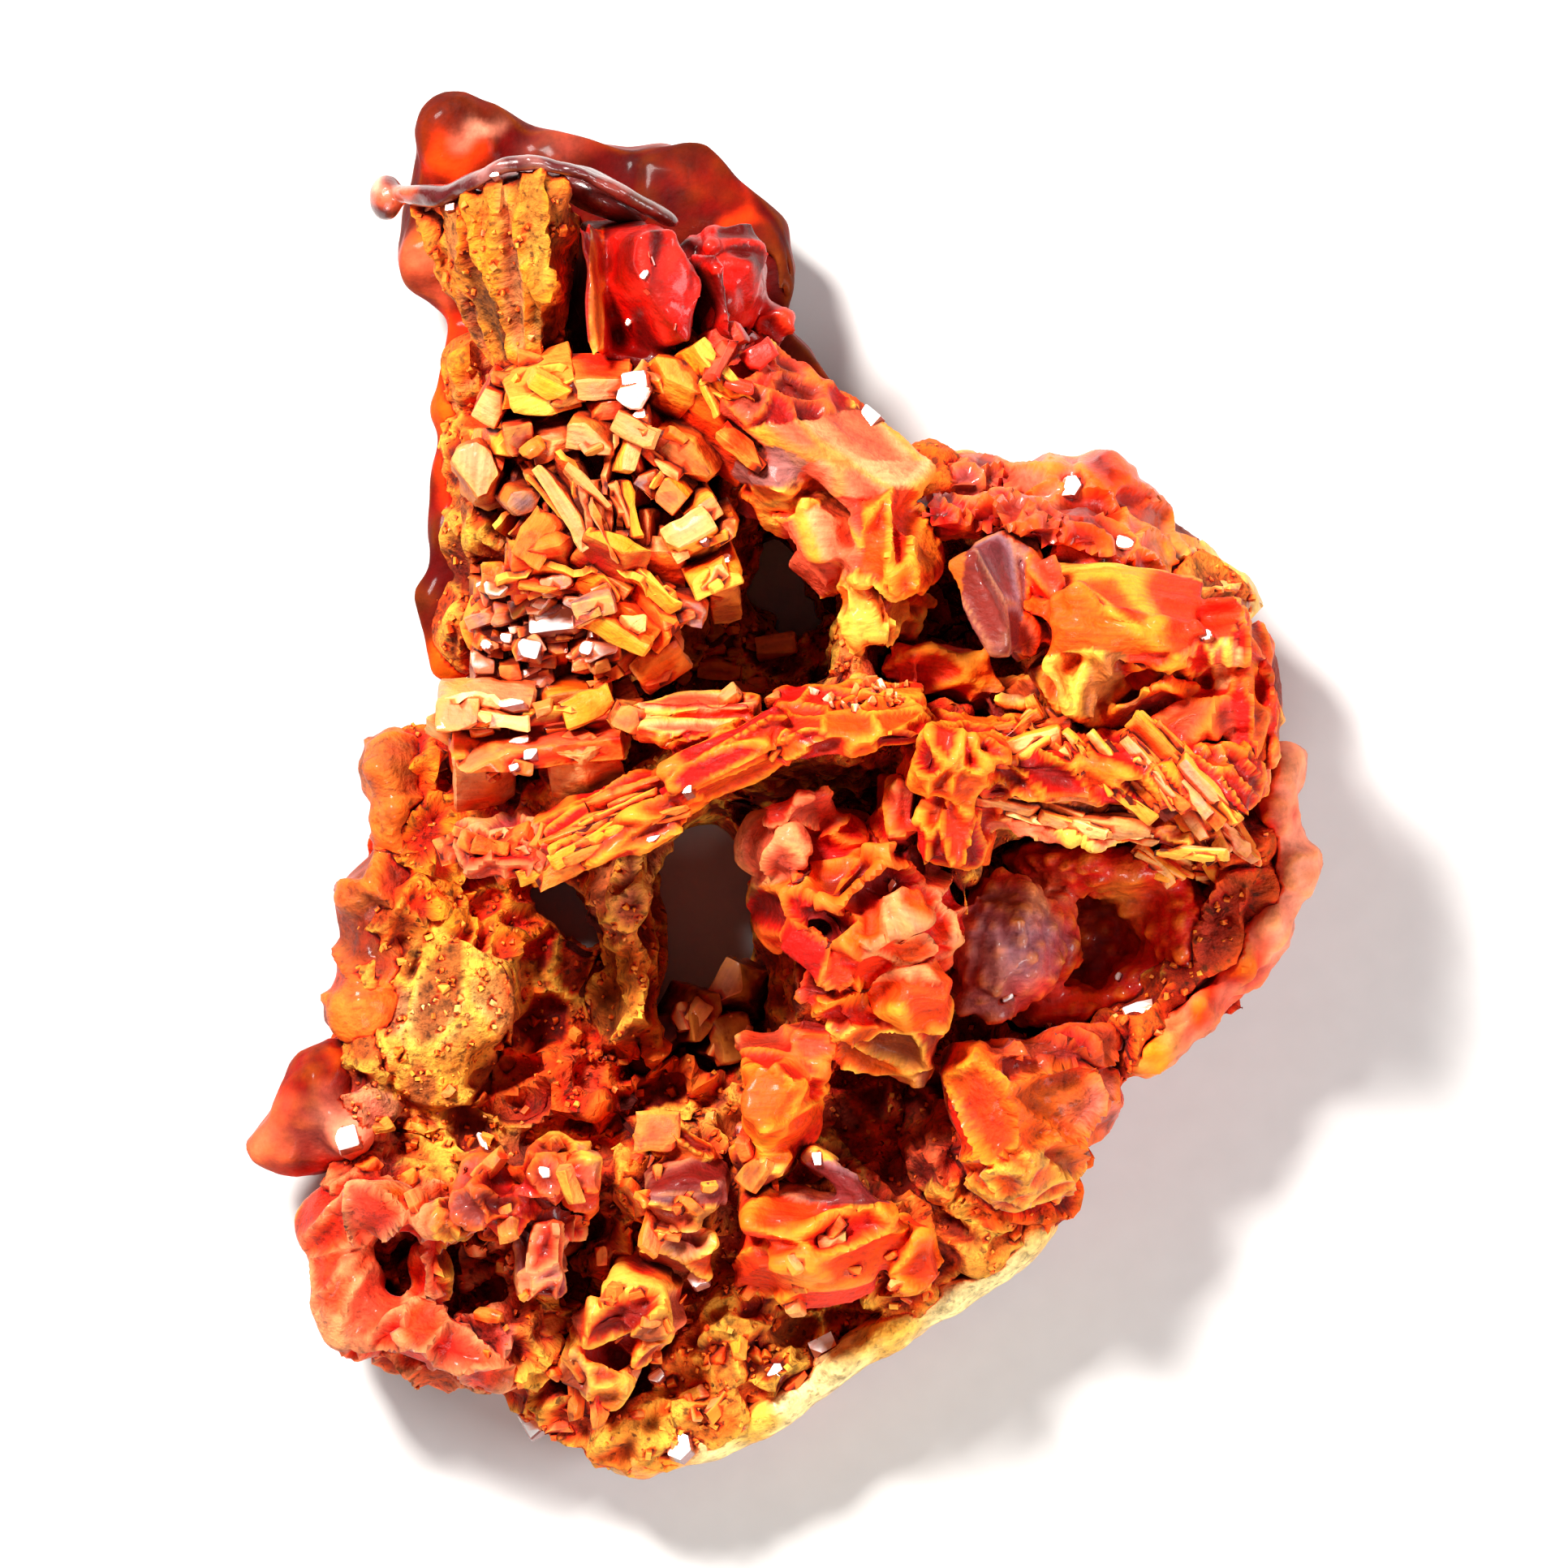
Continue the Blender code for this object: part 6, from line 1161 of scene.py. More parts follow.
# Lumps that carry the crusts on the stone: place, size, turn.
STONE_BRIDGES = [
    ((-11.3, 0.6, 5.0), (2.4, 2.4, 4.6), (0, 0, 0)), ((-11.2, -1.4, 5.0), (2.8, 3.0, 4.8), (0, 0, 0)),
    ((-12.0, -3.8, 4.8), (3.2, 3.2, 4.8), (0, 0, 0)), ((-12.4, -6.2, 4.6), (3.0, 3.4, 4.6), (0, 0, 0)),
    ((-12.8, -8.4, 4.6), (2.6, 3.0, 4.4), (0, 0, 0)), ((-13.2, -10.2, 4.6), (2.6, 2.8, 4.4), (0, 0, 0)),
    ((-9.6, 12.8, 5.0), (2.2, 2.8, 4.4), (0, 0, 0)), ((-9.6, 10.2, 5.0), (2.2, 3.2, 4.4), (0, 0, 0)),
    ((-9.6, 7.6, 5.0), (2.4, 3.2, 4.4), (0, 0, 0)), ((-9.7, 5.0, 5.0), (2.6, 3.2, 4.4), (0, 0, 0)),
    ((-11.4, -14.8, 4.2), (5.6, 5.4, 3.8), (0, 0, 0)), ((-8.8, -17.2, 4.6), (4.2, 3.6, 4.8), (0, 0, 0)),
    ((-11.0, -17.4, 4.2), (4.8, 2.8, 4.2), (-15, 0, 0)), ((-12.9, -12.6, 4.8), (3.0, 2.6, 4.4), (0, 0, 0)),
    ((7.6, -12.8, 4.8), (3.2, 2.8, 4.6), (31, 0, 0)), ((6.0, -14.2, 4.6), (3.4, 2.6, 4.6), (31, 0, 0)),
    ((4.0, -15.5, 4.4), (3.6, 2.4, 4.6), (31, 0, 0)), ((2.0, -16.8, 4.2), (3.6, 2.4, 4.4), (31, 0, 0)),
    ((-0.2, -18.2, 4.0), (3.6, 2.4, 4.4), (31, 0, 0)), ((-2.4, -19.5, 4.0), (3.8, 2.6, 4.4), (25, 0, 0)),
    ((-4.6, -20.2, 4.0), (3.6, 2.6, 4.4), (10, 0, 0)), ((14.1, 0.6, 5.6), (2.8, 2.8, 5.2), (0, 0, 0)),
    ((14.2, -1.6, 5.6), (2.6, 3.0, 5.2), (0, 0, 0)), ((14.3, -3.4, 5.4), (2.4, 3.0, 5.0), (0, 0, 0)),
    ((13.4, -5.0, 5.4), (2.4, 3.0, 5.0), (0, 0, 0)), ((12.3, -6.4, 5.4), (2.6, 2.6, 5.0), (35, 0, 0)),
    ((10.8, -7.8, 5.8), (3.0, 2.2, 5.2), (35, 0, 0)), ((4.8, -10.6, 6.0), (2.4, 4.6, 5.2), (0, 0, 0)),
    ((8.6, -9.4, 5.6), (3.4, 3.2, 5.2), (0, 0, 0)), ((9.8, 6.6, 7.4), (6.2, 3.0, 6.0), (-20, 0, 0)),
    ((12.8, 5.8, 6.6), (3.6, 2.6, 5.6), (-35, 0, 0)), ((4.6, 9.2, 6.0), (3.0, 2.8, 5.0), (0, 0, 0)),
    ((1.4, 10.6, 5.2), (3.6, 3.2, 4.8), (-35, 0, 0)),
]
# The horn's flutes fan out upward: foot, head, width.
FLUTES = [
    ((-8.7, 13.0, 8.6), (-11.4, 17.9, 10.4), 0.9), ((-8.6, 12.9, 9.6), (-10.4, 18.0, 11.6), 0.8),
    ((-8.4, 12.8, 10.4), (-9.6, 18.3, 12.4), 0.9), ((-8.1, 12.7, 10.8), (-8.9, 18.6, 12.9), 0.7),
    ((-7.8, 12.7, 11.0), (-8.2, 18.8, 13.2), 0.8), ((-7.5, 12.8, 11.2), (-7.5, 18.8, 13.4), 0.75),
    ((-7.2, 13.0, 10.8), (-6.9, 18.5, 13.0), 0.7),
]
CREST_PATH = [
    (-12.0, 18.3, 10.6), (-11.0, 17.9, 11.2), (-9.9, 18.2, 12.2), (-9.2, 18.9, 12.9), (-8.2, 19.2, 13.4),
    (-7.0, 19.1, 13.4), (-5.8, 18.6, 13.0), (-4.6, 18.0, 12.4), (-3.4, 17.3, 11.6),
]
CREST_LUMPS = [
    ((-12.3, 18.1, 10.2), (1.0, 1.4, 1.5), (0, 0, 0)), ((-5.8, 18.2, 10.2), (3.4, 1.3, 3.0), (-24, 0, 0)),
    ((-8.0, 18.7, 10.8), (2.4, 0.8, 3.2), (4, 0, 0)), ((-10.8, 18.2, 9.4), (3.0, 0.7, 2.2), (0, 0, 0)),
]
LINING_LUMPS = [
    ((9.8, -4.9, 3.4), (7.4, 5.2, 2.6), (0, 0, 0)), ((12.4, -4.6, 5.2), (2.6, 4.6, 5.0), (10, 0, 0)),
    ((10.0, -2.6, 5.4), (6.4, 1.8, 5.6), (-6, 0, 0)), ((6.9, -4.9, 7.9), (3.6, 4.3, 3.8), (10, 0, 0)),
]


def strut(foot, head, width, thickness):
    """A long lobe from one point to another, as place, size and turn."""
    reach = Vector(head) - Vector(foot)
    flat = math.hypot(reach.x, reach.y)
    turn = (math.degrees(math.atan2(reach.y, reach.x)), math.degrees(math.atan2(reach.z, flat)), 0)
    return ((Vector(foot) + Vector(head)) / 2, (reach.length * 1.12, width, thickness), turn)


# Deep hollows: x, y, half width, half height, depth.
SUNK = [
    (-0.5, 5.4, 1.5, 2.6, 4.0), (-1.6, 3.2, 2.4, 0.6, 3.5), (5.0, 6.2, 1.0, 1.6, 3.5),
    (3.4, -9.8, 1.6, 1.4, 3.2), (1.2, -16.8, 1.3, 0.9, 2.6), (-6.6, -6.3, 1.3, 1.8, 2.4),
    (-5.4, -9.0, 1.0, 0.7, 2.4), (-10.9, -15.2, 1.9, 1.1, 1.8), (-6.4, -15.0, 0.5, 1.3, 1.8),
    (1.0, -0.4, 2.2, 0.8, 3.0), (-6.2, 15.2, 0.6, 2.2, 3.0), (-8.8, -8.9, 0.9, 0.9, 2.4),
    (-6.4, -11.2, 1.2, 0.6, 2.0), (-3.6, -10.2, 1.0, 0.7, 2.0), (13.4, 1.4, 0.9, 1.1, 3.0),
]


def reach_of(spot, x, y, half_width, half_height):
    """How far from the middle of an oval area a spot lies; one is on its edge."""
    return math.hypot((spot.x - x) / half_width, (spot.y - y) / half_height)


def sunk(shape):
    """Lower the stone's face in its deep hollows."""
    for vertex in shape.verts:
        spot = vertex.co
        if spot.z < HOLLOW_FLOOR + 0.2:
            continue
        drop = 0.0
        for *area, depth in SUNK:
            reach = reach_of(spot, *area)
            if reach < 1.6:
                share = (1.45 - reach + 0.3 * noise.noise(spot / 0.7)) * 2.0
                drop = max(drop, depth * min(1.0, max(0.0, share)))
        vertex.co.z = max(HOLLOW_FLOOR, spot.z - drop)
    shape.normal_update()
    return shape


def flattened(shape):
    """Level the yellow crust on the left so that it lies as a flat patch."""
    for vertex in shape.verts:
        spot = vertex.co
        if reach_of(spot, *LEDGE_AREA) < 1.0 and spot.z > LEDGE:
            vertex.co.z = LEDGE + 0.12 * (spot.z - LEDGE)
    shape.normal_update()
    return shape


def stone_relief(spot):
    """Crumbs and small pits of the weathered stone."""
    cells = noise.voronoi(spot / 0.9 + Vector((1, 5, 2)))[0]
    pit = math.exp(-(cells[0] / 0.25) ** 2) * 0.3
    return noise.noise(spot / 0.45) * 0.12 + noise.noise(spot / 1.1) * 0.12 - pit


def nearest_lattice(spot, lattices):
    """The lattice whose area a spot lies in or nearest to, and how far out it lies."""
    best, chosen = 9.0, None
    for lattice in lattices:
        out = reach_of(spot, *lattice[:4])
        if out < best:
            best, chosen = out, lattice
    return chosen, best


def latticed(spot, lattice):
    """Height, share of wall and cell number at a spot of a lattice."""
    heading, size, stretch, height = lattice[4:8]
    cosine, sine = math.cos(math.radians(heading)), math.sin(math.radians(heading))
    flat = Vector(((spot.x * cosine + spot.y * sine) / stretch, spot.y * cosine - spot.x * sine,
                   spot.z * 0.4)) / size
    flat += noise.noise_vector(flat * 0.7) * 0.4 / math.sqrt(stretch)
    distances, centres = noise.voronoi(flat)
    wall = math.exp(-((distances[1] - distances[0]) / 0.16) ** 2)
    number = int(abs(centres[0].x * 7.3 + centres[0].y * 5.1 + centres[0].z * 3.7) * 10)
    depth = 0.35 + 0.9 * (number % 7) / 6
    strong = 0.6 + 0.9 * max(0.0, noise.noise(spot / 1.9) + 0.4)
    level = wall * strong - (1.0 - wall) * depth
    return height * (level + 0.15), level, number


def lattice_worked(shape, lattices, zones=(), base="orange", blend=0.0, relief=None, rest="earth"):
    """Raise the lattices on a skin and give it their colours, blended with soft patches, with painted shade
    on the sunken cell floors.
    """
    paint, rim, _, own = new_layers(shape)
    shape.normal_update()
    steps, colours = [], []
    for vertex in shape.verts:
        spot = vertex.co
        lattice, out = nearest_lattice(spot, lattices)
        height, level, number = latticed(spot, lattice)
        fade = 1.0 if out < 1.3 else max(0.25, 1.0 - (out - 1.3))
        fade *= 0.35 + 0.65 * max(0.0, vertex.normal.z)
        pit, faces, ridge = PALETTES[lattice[8] if out < 1.6 else rest]
        faces = faces.split()
        colour = TONES[faces[number % len(faces)]]
        colour = mixed(colour, TONES[faces[(number // 7) % len(faces)]], 0.5 + 0.5 * noise.noise(spot / 0.7))
        if blend:
            colour = mixed(colour, zone_colour(spot, TONES[base], zones), blend)
        # painted shade: the deeper a cell lies, the more it turns to the palette's floor colour
        colour = mixed(colour, TONES[pit], min(0.9, max(0.0, -level * 0.9 - 0.1)))
        crest = max(0.0, level - 0.15) * (1.1 + noise.noise(spot / 1.2 + Vector((4, 4, 4))))
        colour = mixed(colour, TONES[ridge], min(0.9, crest))
        colours.append((*colour, 1.0))
        steps.append(vertex.normal * (height * fade + (relief(spot) if relief else 0.0)))
        vertex[own] = spot
        vertex[rim] = min(0.6, crest * 0.5)
    moved(shape, steps)
    lay_paint(shape, paint, colours)
    shape.normal_update()
    return shape


def crust_relief(spot):
    return noise.noise(spot / 1.5) * 0.16 + noise.noise(spot / 0.6) * 0.06 + noise.noise(spot / 0.28) * 0.02


def sheet_relief(spot):
    return noise.noise(spot / 2.4) * 0.14 + noise.noise(spot / 0.8) * 0.04


def druse_relief(spot):
    cells = noise.voronoi(spot / 0.7)[0]
    return (cells[1] - cells[0]) * 0.35 - 0.1 + noise.noise(spot / 1.3) * 0.2 + noise.noise(spot / 0.4) * 0.06


def lobed_relief(spot):
    """Rounded crust with a rougher, crusted upper side."""
    web = 0.4 - abs(noise.noise(spot / 1.3 + Vector((6, 2, 3)))) * 1.8
    return noise.noise(spot / 1.6) * 0.25 + max(-0.3, web) * 0.25 + noise.noise(spot / 0.5) * 0.1


def stone_skin():
    flutes = [strut(foot, head, width, 1.7) for foot, head, width in FLUTES]
    shape = smoothed(whole(node_skin("matrix", STONE_GRAIN, STONE_BRIDGES + flutes)), 1)
    shape = lattice_worked(flattened(sunk(shape)), LATTICES["matrix"], STONE_PATCHES, "orange", 0.5,
                           stone_relief)
    shape = smoothed(shape, 1)
    for vertex in shape.verts:
        vertex.co.z = max(vertex.co.z, -ORIGIN.z)
    return shape


def crest_skin():
    shape = bmesh.new()
    for reach in (1, 2):
        for foot, head in zip(CREST_PATH, CREST_PATH[reach:]):
            lump(shape, *strut(foot, head, 0.36, 1.3))
    for place, size, turn in CREST_LUMPS:
        lump(shape, place, size, turn)
    shape = smoothed(melted(shape, 0.12), 5)
    pushed(shape, sheet_relief)
    return painted(shape, "wine", CREST_PATCHES, 0.1, ridge="plum")


def crust_skin(node, base, patches, rounds, relief, contrast):
    lumps = LINING_LUMPS if node == "pocket_lining" else ()
    shape = smoothed(node_skin(node, LOBE_GRAIN, lumps), rounds)
    if node == "back_sheet":
        for vertex in shape.verts:
            vertex.co.z = min(vertex.co.z, SHEET_FACE + 0.3 * (vertex.co.z - SHEET_FACE))
    if node in LATTICES:
        return lattice_worked(shape, LATTICES[node], patches, base, 0.5)
    pushed(shape, relief)
    return painted(shape, base, patches, contrast)


def fused(cluster):
    """Let a cluster's crystals grow together in one skin of raised walls and sunken cells."""
    skin = lattice_worked(smoothed(melted(cluster.shape, FUSED_GRAIN), 2), LATTICES[cluster.name])
    cluster.shape = smoothed(skin, 1)


# ---- materials ------------------------------------------------------------------------------------------
def feed(tree, node, feeds):
    """Give each named input another node's output or a plain value."""
    for name, source in feeds.items():
        if isinstance(source, bpy.types.NodeSocket):
            tree.links.new(source, node.inputs[name])
        else:
            node.inputs[name].default_value = source


def add_node(tree, kind, feeds=None, **settings):
    node = tree.nodes.new(kind)
    for name, value in settings.items():
        setattr(node, name, value)
    feed(tree, node, feeds or {})
    return node


def group_tree(name, inputs, outputs):
    """A shared effect with named sockets: its tree, what it is given and what it gives back."""
    tree = bpy.data.node_groups.new(name, "ShaderNodeTree")
    for label, kind, value in inputs:
        socket = tree.interface.new_socket(label, in_out="INPUT", socket_type="NodeSocket" + kind)
        if value is not None:
            socket.default_value = value
    for label, kind in outputs:
        tree.interface.new_socket(label, in_out="OUTPUT", socket_type="NodeSocket" + kind)
    return tree, tree.nodes.new("NodeGroupInput").outputs, tree.nodes.new("NodeGroupOutput")


def ranged(tree, source, low, high, new_low=0.0, new_high=1.0):
    """A value carried over from one range to another."""
    return add_node(tree, "ShaderNodeMapRange", {
        "Value": source, "From Min": low, "From Max": high, "To Min": new_low, "To Max": new_high,
    }).outputs["Result"]


def cloudy(tree, **feeds):
    """A noise pattern."""
    return add_node(tree, "ShaderNodeTexNoise", feeds).outputs["Fac"]


def product(tree, first, second, **settings):
    return add_node(tree, "ShaderNodeMath", {0: first, 1: second}, operation="MULTIPLY",
                    **settings).outputs[0]


def blended(tree, share, first, second, **settings):
    """A colour between two others."""
    return add_node(tree, "ShaderNodeMix", {0: share, 6: first, 7: second}, data_type="RGBA",
                    **settings).outputs[2]


def dressed(name):
    """A new material and its shader."""
    material = bpy.data.materials.new(name)
    material.use_nodes = True
    return material, material.node_tree, material.node_tree.nodes["Principled BSDF"]


def pale_edges():
    """A paler, yellower colour where the rim mask is high, broken up by a fine noise."""
    tree, given, result = group_tree("pale edges", [
        ("Colour", "Color", None), ("Edge Colour", "Color", (1.0, 0.6, 0.2, 1.0)), ("Rim", "Float", 0.0),
        ("Amount", "Float", 0.6), ("Place", "Vector", None)], [("Colour", "Color")])
    breaks = cloudy(tree, Vector=given["Place"], Scale=1.6, Detail=3.0)
    rim_paled = product(tree, given["Rim"], ranged(tree, breaks, 0.3, 0.5))
    share = product(tree, rim_paled, given["Amount"], use_clamp=True)
    feed(tree, result, {"Colour": blended(tree, share, given["Colour"], given["Edge Colour"])})
    return tree


def mineral_grain():
    """Grain: cloudy light and dark, streaks along the crystal, small dark specks, and their relief."""
    tree, given, result = group_tree("mineral grain", [
        ("Colour", "Color", None), ("Place", "Vector", None), ("Size", "Float", 1.2),
        ("Strength", "Float", 0.5), ("Streaks", "Float", 0.3), ("Specks", "Float", 0.5),
        ("Speck Colour", "Color", (0.06, 0.012, 0.004, 1.0))],
        [("Colour", "Color"), ("Height", "Float"), ("Dullness", "Float")])
    cloud = cloudy(tree, Vector=given["Place"], Scale=given["Size"], Detail=7.0, Roughness=0.68)
    stretched = add_node(tree, "ShaderNodeVectorMath", {0: given["Place"], 1: (0.35, 6.0, 6.0)},
                         operation="MULTIPLY").outputs[0]
    streak = cloudy(tree, Vector=stretched, Scale=1.0, Detail=4.0)
    level = add_node(tree, "ShaderNodeMix", {0: given["Streaks"], 2: cloud, 3: streak},
                     data_type="FLOAT").outputs[0]
    shade = blended(tree, given["Strength"], given["Colour"], ranged(tree, level, 0.32, 0.66, 0.3, 1.5),
                    blend_type="MULTIPLY")
    fine = cloudy(tree, Vector=given["Place"], Scale=4.2, Detail=4.0)
    share = product(tree, ranged(tree, fine, 0.57, 0.67), given["Specks"])
    height = add_node(tree, "ShaderNodeMath", {0: level, 1: fine}, operation="ADD").outputs[0]
    feed(tree, result, {"Colour": blended(tree, share, shade, given["Speck Colour"]), "Height": height,
                        "Dullness": cloud})
    return tree


def painted_hollow_shade():
    """Painted shade: the gaps between crystals turn a deep red and the deepest hollows nearly black."""
    tree, given, result = group_tree("painted hollow shade", [
        ("Colour", "Color", None), ("Shade Colour", "Color", (0.06, 0.003, 0.001, 1.0)), ("Hollow", "Float", 0.0),
        ("Start", "Float", 0.2), ("Full", "Float", 0.6)], [("Colour", "Color")])
    share = ranged(tree, given["Hollow"], given["Start"], given["Full"], 0.0, 0.95)
    redder = blended(tree, ranged(tree, given["Hollow"], 0.03, 0.26), given["Colour"],
                     (0.95, 0.28, 0.14, 1.0), blend_type="MULTIPLY")
    feed(tree, result, {"Colour": blended(tree, share, redder, given["Shade Colour"])})
    return tree


BUMP_DEPTH = 0.00015                         # of the grain's relief, in metres
EDGES = pale_edges()
GRAIN = mineral_grain()
HOLLOW_SHADE = painted_hollow_shade()


def mineral(name, roughness, coat=0.0, grain=1.2, strength=0.5, streaks=0.3, specks=0.5, relief=0.4,
            edge=(1.0, 0.36, 0.04), edge_amount=0.7, start=0.32, full=0.68, shine=0.18, painted_sheen=None):
    """A material in the pieces' own colours with grain, pale edges, painted shade in the hollows, a painted
    sheen at a slant where given, and a fine relief.
    """
    material, tree, shader = dressed(name)
    own, paint, rim, hollow = [add_node(tree, "ShaderNodeAttribute", attribute_name=layer).outputs
                               for layer in ("own", "paint", "rim", "hollow")]
    grained = add_node(tree, "ShaderNodeGroup", {
        "Colour": paint["Color"], "Place": own["Vector"], "Size": grain, "Strength": strength,
        "Streaks": streaks, "Specks": specks}, node_tree=GRAIN).outputs
    rim_paled = add_node(tree, "ShaderNodeGroup", {
        "Colour": grained["Colour"], "Rim": rim["Fac"], "Place": own["Vector"],
        "Edge Colour": (*edge, 1.0), "Amount": edge_amount}, node_tree=EDGES).outputs["Colour"]
    # painted shade: the more hemmed in a spot is, the redder and then darker its colour
    shown = add_node(tree, "ShaderNodeGroup", {
        "Colour": rim_paled, "Hollow": hollow["Fac"], "Start": start, "Full": full},
        node_tree=HOLLOW_SHADE).outputs["Colour"]
    # painted sheen: a pale flush mixed into the colour where the surface is seen at a slant
    if painted_sheen:
        slant = add_node(tree, "ShaderNodeLayerWeight", {"Blend": 0.4}).outputs["Facing"]
        shown = blended(tree, ranged(tree, slant, 0.75, 1.0, 0.0, 0.75), shown, (*painted_sheen, 1.0))
    dull = ranged(tree, grained["Dullness"], 0.3, 0.7, max(0.05, roughness - 0.16),
                  min(1.0, roughness + 0.16))
    bump = add_node(tree, "ShaderNodeBump", {"Strength": relief, "Distance": BUMP_DEPTH,
                                             "Height": grained["Height"]}).outputs["Normal"]
    feed(tree, shader, {"Base Color": shown, "Roughness": dull, "Normal": bump, "Coat Weight": coat,
                        "Specular IOR Level": shine, "Coat Roughness": 0.12})
    return material


# painted sheen: the pale flush of a crust seen at a slant, painted into its colour
PAINTED_SHEEN = (0.5, 0.2, 0.19)                     # the pale flush of a crust seen at a slant
FINISHES = {
    "satin crystal": dict(roughness=0.62, coat=0.05, strength=0.55, streaks=0.6, specks=0.3, relief=0.6,
                          edge_amount=0.55),
    "glossy crystal": dict(roughness=0.5, coat=0.3, strength=0.55, streaks=0.4, specks=0.25,
                           relief=0.45, edge_amount=0.6),
    "smooth crust": dict(roughness=0.7, coat=0.04, grain=0.6, strength=0.8, streaks=0.0, specks=0.1,
                         relief=0.3, edge_amount=0.05, shine=0.06, painted_sheen=PAINTED_SHEEN),
    "weathered stone": dict(roughness=0.8, grain=2.2, strength=0.95, streaks=0.0, specks=0.8,
                            relief=1.4, edge_amount=0.3),
    "pale crust": dict(roughness=0.65, coat=0.08, grain=1.6, strength=0.8, streaks=0.0, specks=0.5,
                       relief=0.9, edge_amount=0.3, painted_sheen=PAINTED_SHEEN),
    "red crystal": dict(roughness=0.45, coat=0.3, grain=0.8, strength=0.55, streaks=0.3, specks=0.3,
                        relief=0.4, edge=(0.7, 0.04, 0.02), edge_amount=0.6),
    "dark ribbon": dict(roughness=0.35, coat=0.7, grain=0.8, strength=0.6, streaks=0.2, specks=0.4,
                        relief=0.3, edge_amount=0.0, shine=0.5),
    "mirror facet": dict(roughness=0.22, coat=1.0, grain=1.0, strength=0.3, streaks=0.3, specks=0.1,
                         relief=0.15, edge_amount=0.0, start=0.8, full=1.0),
}
MATERIALS = {name: mineral(name, **finish) for name, finish in FINISHES.items()}


def floor_material():
    """A pale card with faint fibres."""
    material, tree, shader = dressed("pale card")
    place = add_node(tree, "ShaderNodeTexCoord").outputs["Object"]
    fibre = cloudy(tree, Vector=place, Scale=900.0, Detail=5.0)
    shades = blended(tree, fibre, (0.62, 0.61, 0.60, 1.0), (0.68, 0.67, 0.66, 1.0))
    feed(tree, shader, {"Base Color": shades, "Roughness": 0.8})
    return material


# ---- the scene ---------------------------------------------------------------------------------------------
CRUSTS = [
    ("back_sheet", "deep", SHEET_PATCHES, "smooth crust", "vanadinite_red", 16, sheet_relief, 0.5),
    ("right_lobes", "pink", LOBE_PATCHES, "smooth crust", "vanadinite_pink", 4, lobed_relief, 0.8),
    ("cream_rim", "cream", RIM_PATCHES, "pale crust", "crust_cream", 4, crust_relief, 0.2),
    ("left_flank", "brown", FLANK_PATCHES, "pale crust", "vanadinite_orange", 4, lobed_relief, 1.0),
    ("left_spur", "red", SPUR_PATCHES, "smooth crust", "vanadinite_pink", 4, crust_relief, 0.5),
    ("lower_left_cluster", "flame", CORNER_PATCHES, "pale crust", "vanadinite_pink", 3, lobed_relief, 1.0),
    ("upper_right_crust", "red", DRUSE_PATCHES, "glossy crystal", "vanadinite_red", 2, druse_relief, 0.8),
    ("pocket_lining", "red", POCKET_PATCHES, "glossy crystal", "vanadinite_red", 2, druse_relief, 0.6),
    ("lower_right_crust", "orange", LOWER_RIGHT_PATCHES, "pale crust", "vanadinite_orange", 2,
     lobed_relief, 1.0),
]


def put(piece, material, node=None):
    piece.data.materials.append(material)
    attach(piece, "root")
    if node:
        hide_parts(node)


def crumbs(ground):
    """Loose-looking grains and tiny crystals grown on the stone."""
    rng = random.Random(77)
    cluster = Cluster("stone_crumbs", 90)
    for _ in range(CRUMBS):
        hit, normal, _, _ = below(ground, rng.uniform(-14.0, 15.0), rng.uniform(-21.0, 18.0))
        if hit is None or normal.z < 0.25 or hit.z < LOWEST:
            continue
        length = rng.uniform(0.08, 0.2) * (1.8 if rng.random() < 0.1 else 1.0)
        size = (length, length * rng.uniform(0.5, 1.0), length * rng.uniform(0.3, 0.9))
        turn = (rng.uniform(0, 180), rng.uniform(-50, 50), rng.uniform(-60, 60))
        colour = scaled(zone_colour(hit, TONES["orange"], STONE_PATCHES), rng.uniform(0.7, 1.5))
        if rng.random() < 0.3:
            colour = TONES[rng.choice(("sand", "amber", "red", "straw", "flame"))]
        cluster.add(hit + normal * length * 0.12, size, turn, colour, scaled(colour, 0.8), cuts=1, small=True)
    return cluster


def mirror_facets(ground):
    """Small bright crystal faces that catch the key light, their white colour a painted highlight as well."""
    rng = random.Random(5)
    cluster = Cluster("mirror_facets", 92)
    for x, y, length, width, heading in GLINTS:
        hit = below(ground, x, y)[0]
        if hit is None or hit.z < GLINT_FLOOR:
            continue
        normal = GLINT_WAY + Vector((rng.uniform(-0.03, 0.03), rng.uniform(-0.03, 0.03), 0.0))
        cluster.add(hit - normal * 0.15, (length * 1.15, width * 1.15, 0.55), facing(normal, heading),
                    TONES["white"], TONES["violet"], sides=rng.choice((4, 4, 5, 6)), taper=0.12, relief=0.25,
                    cuts=2)
    return cluster


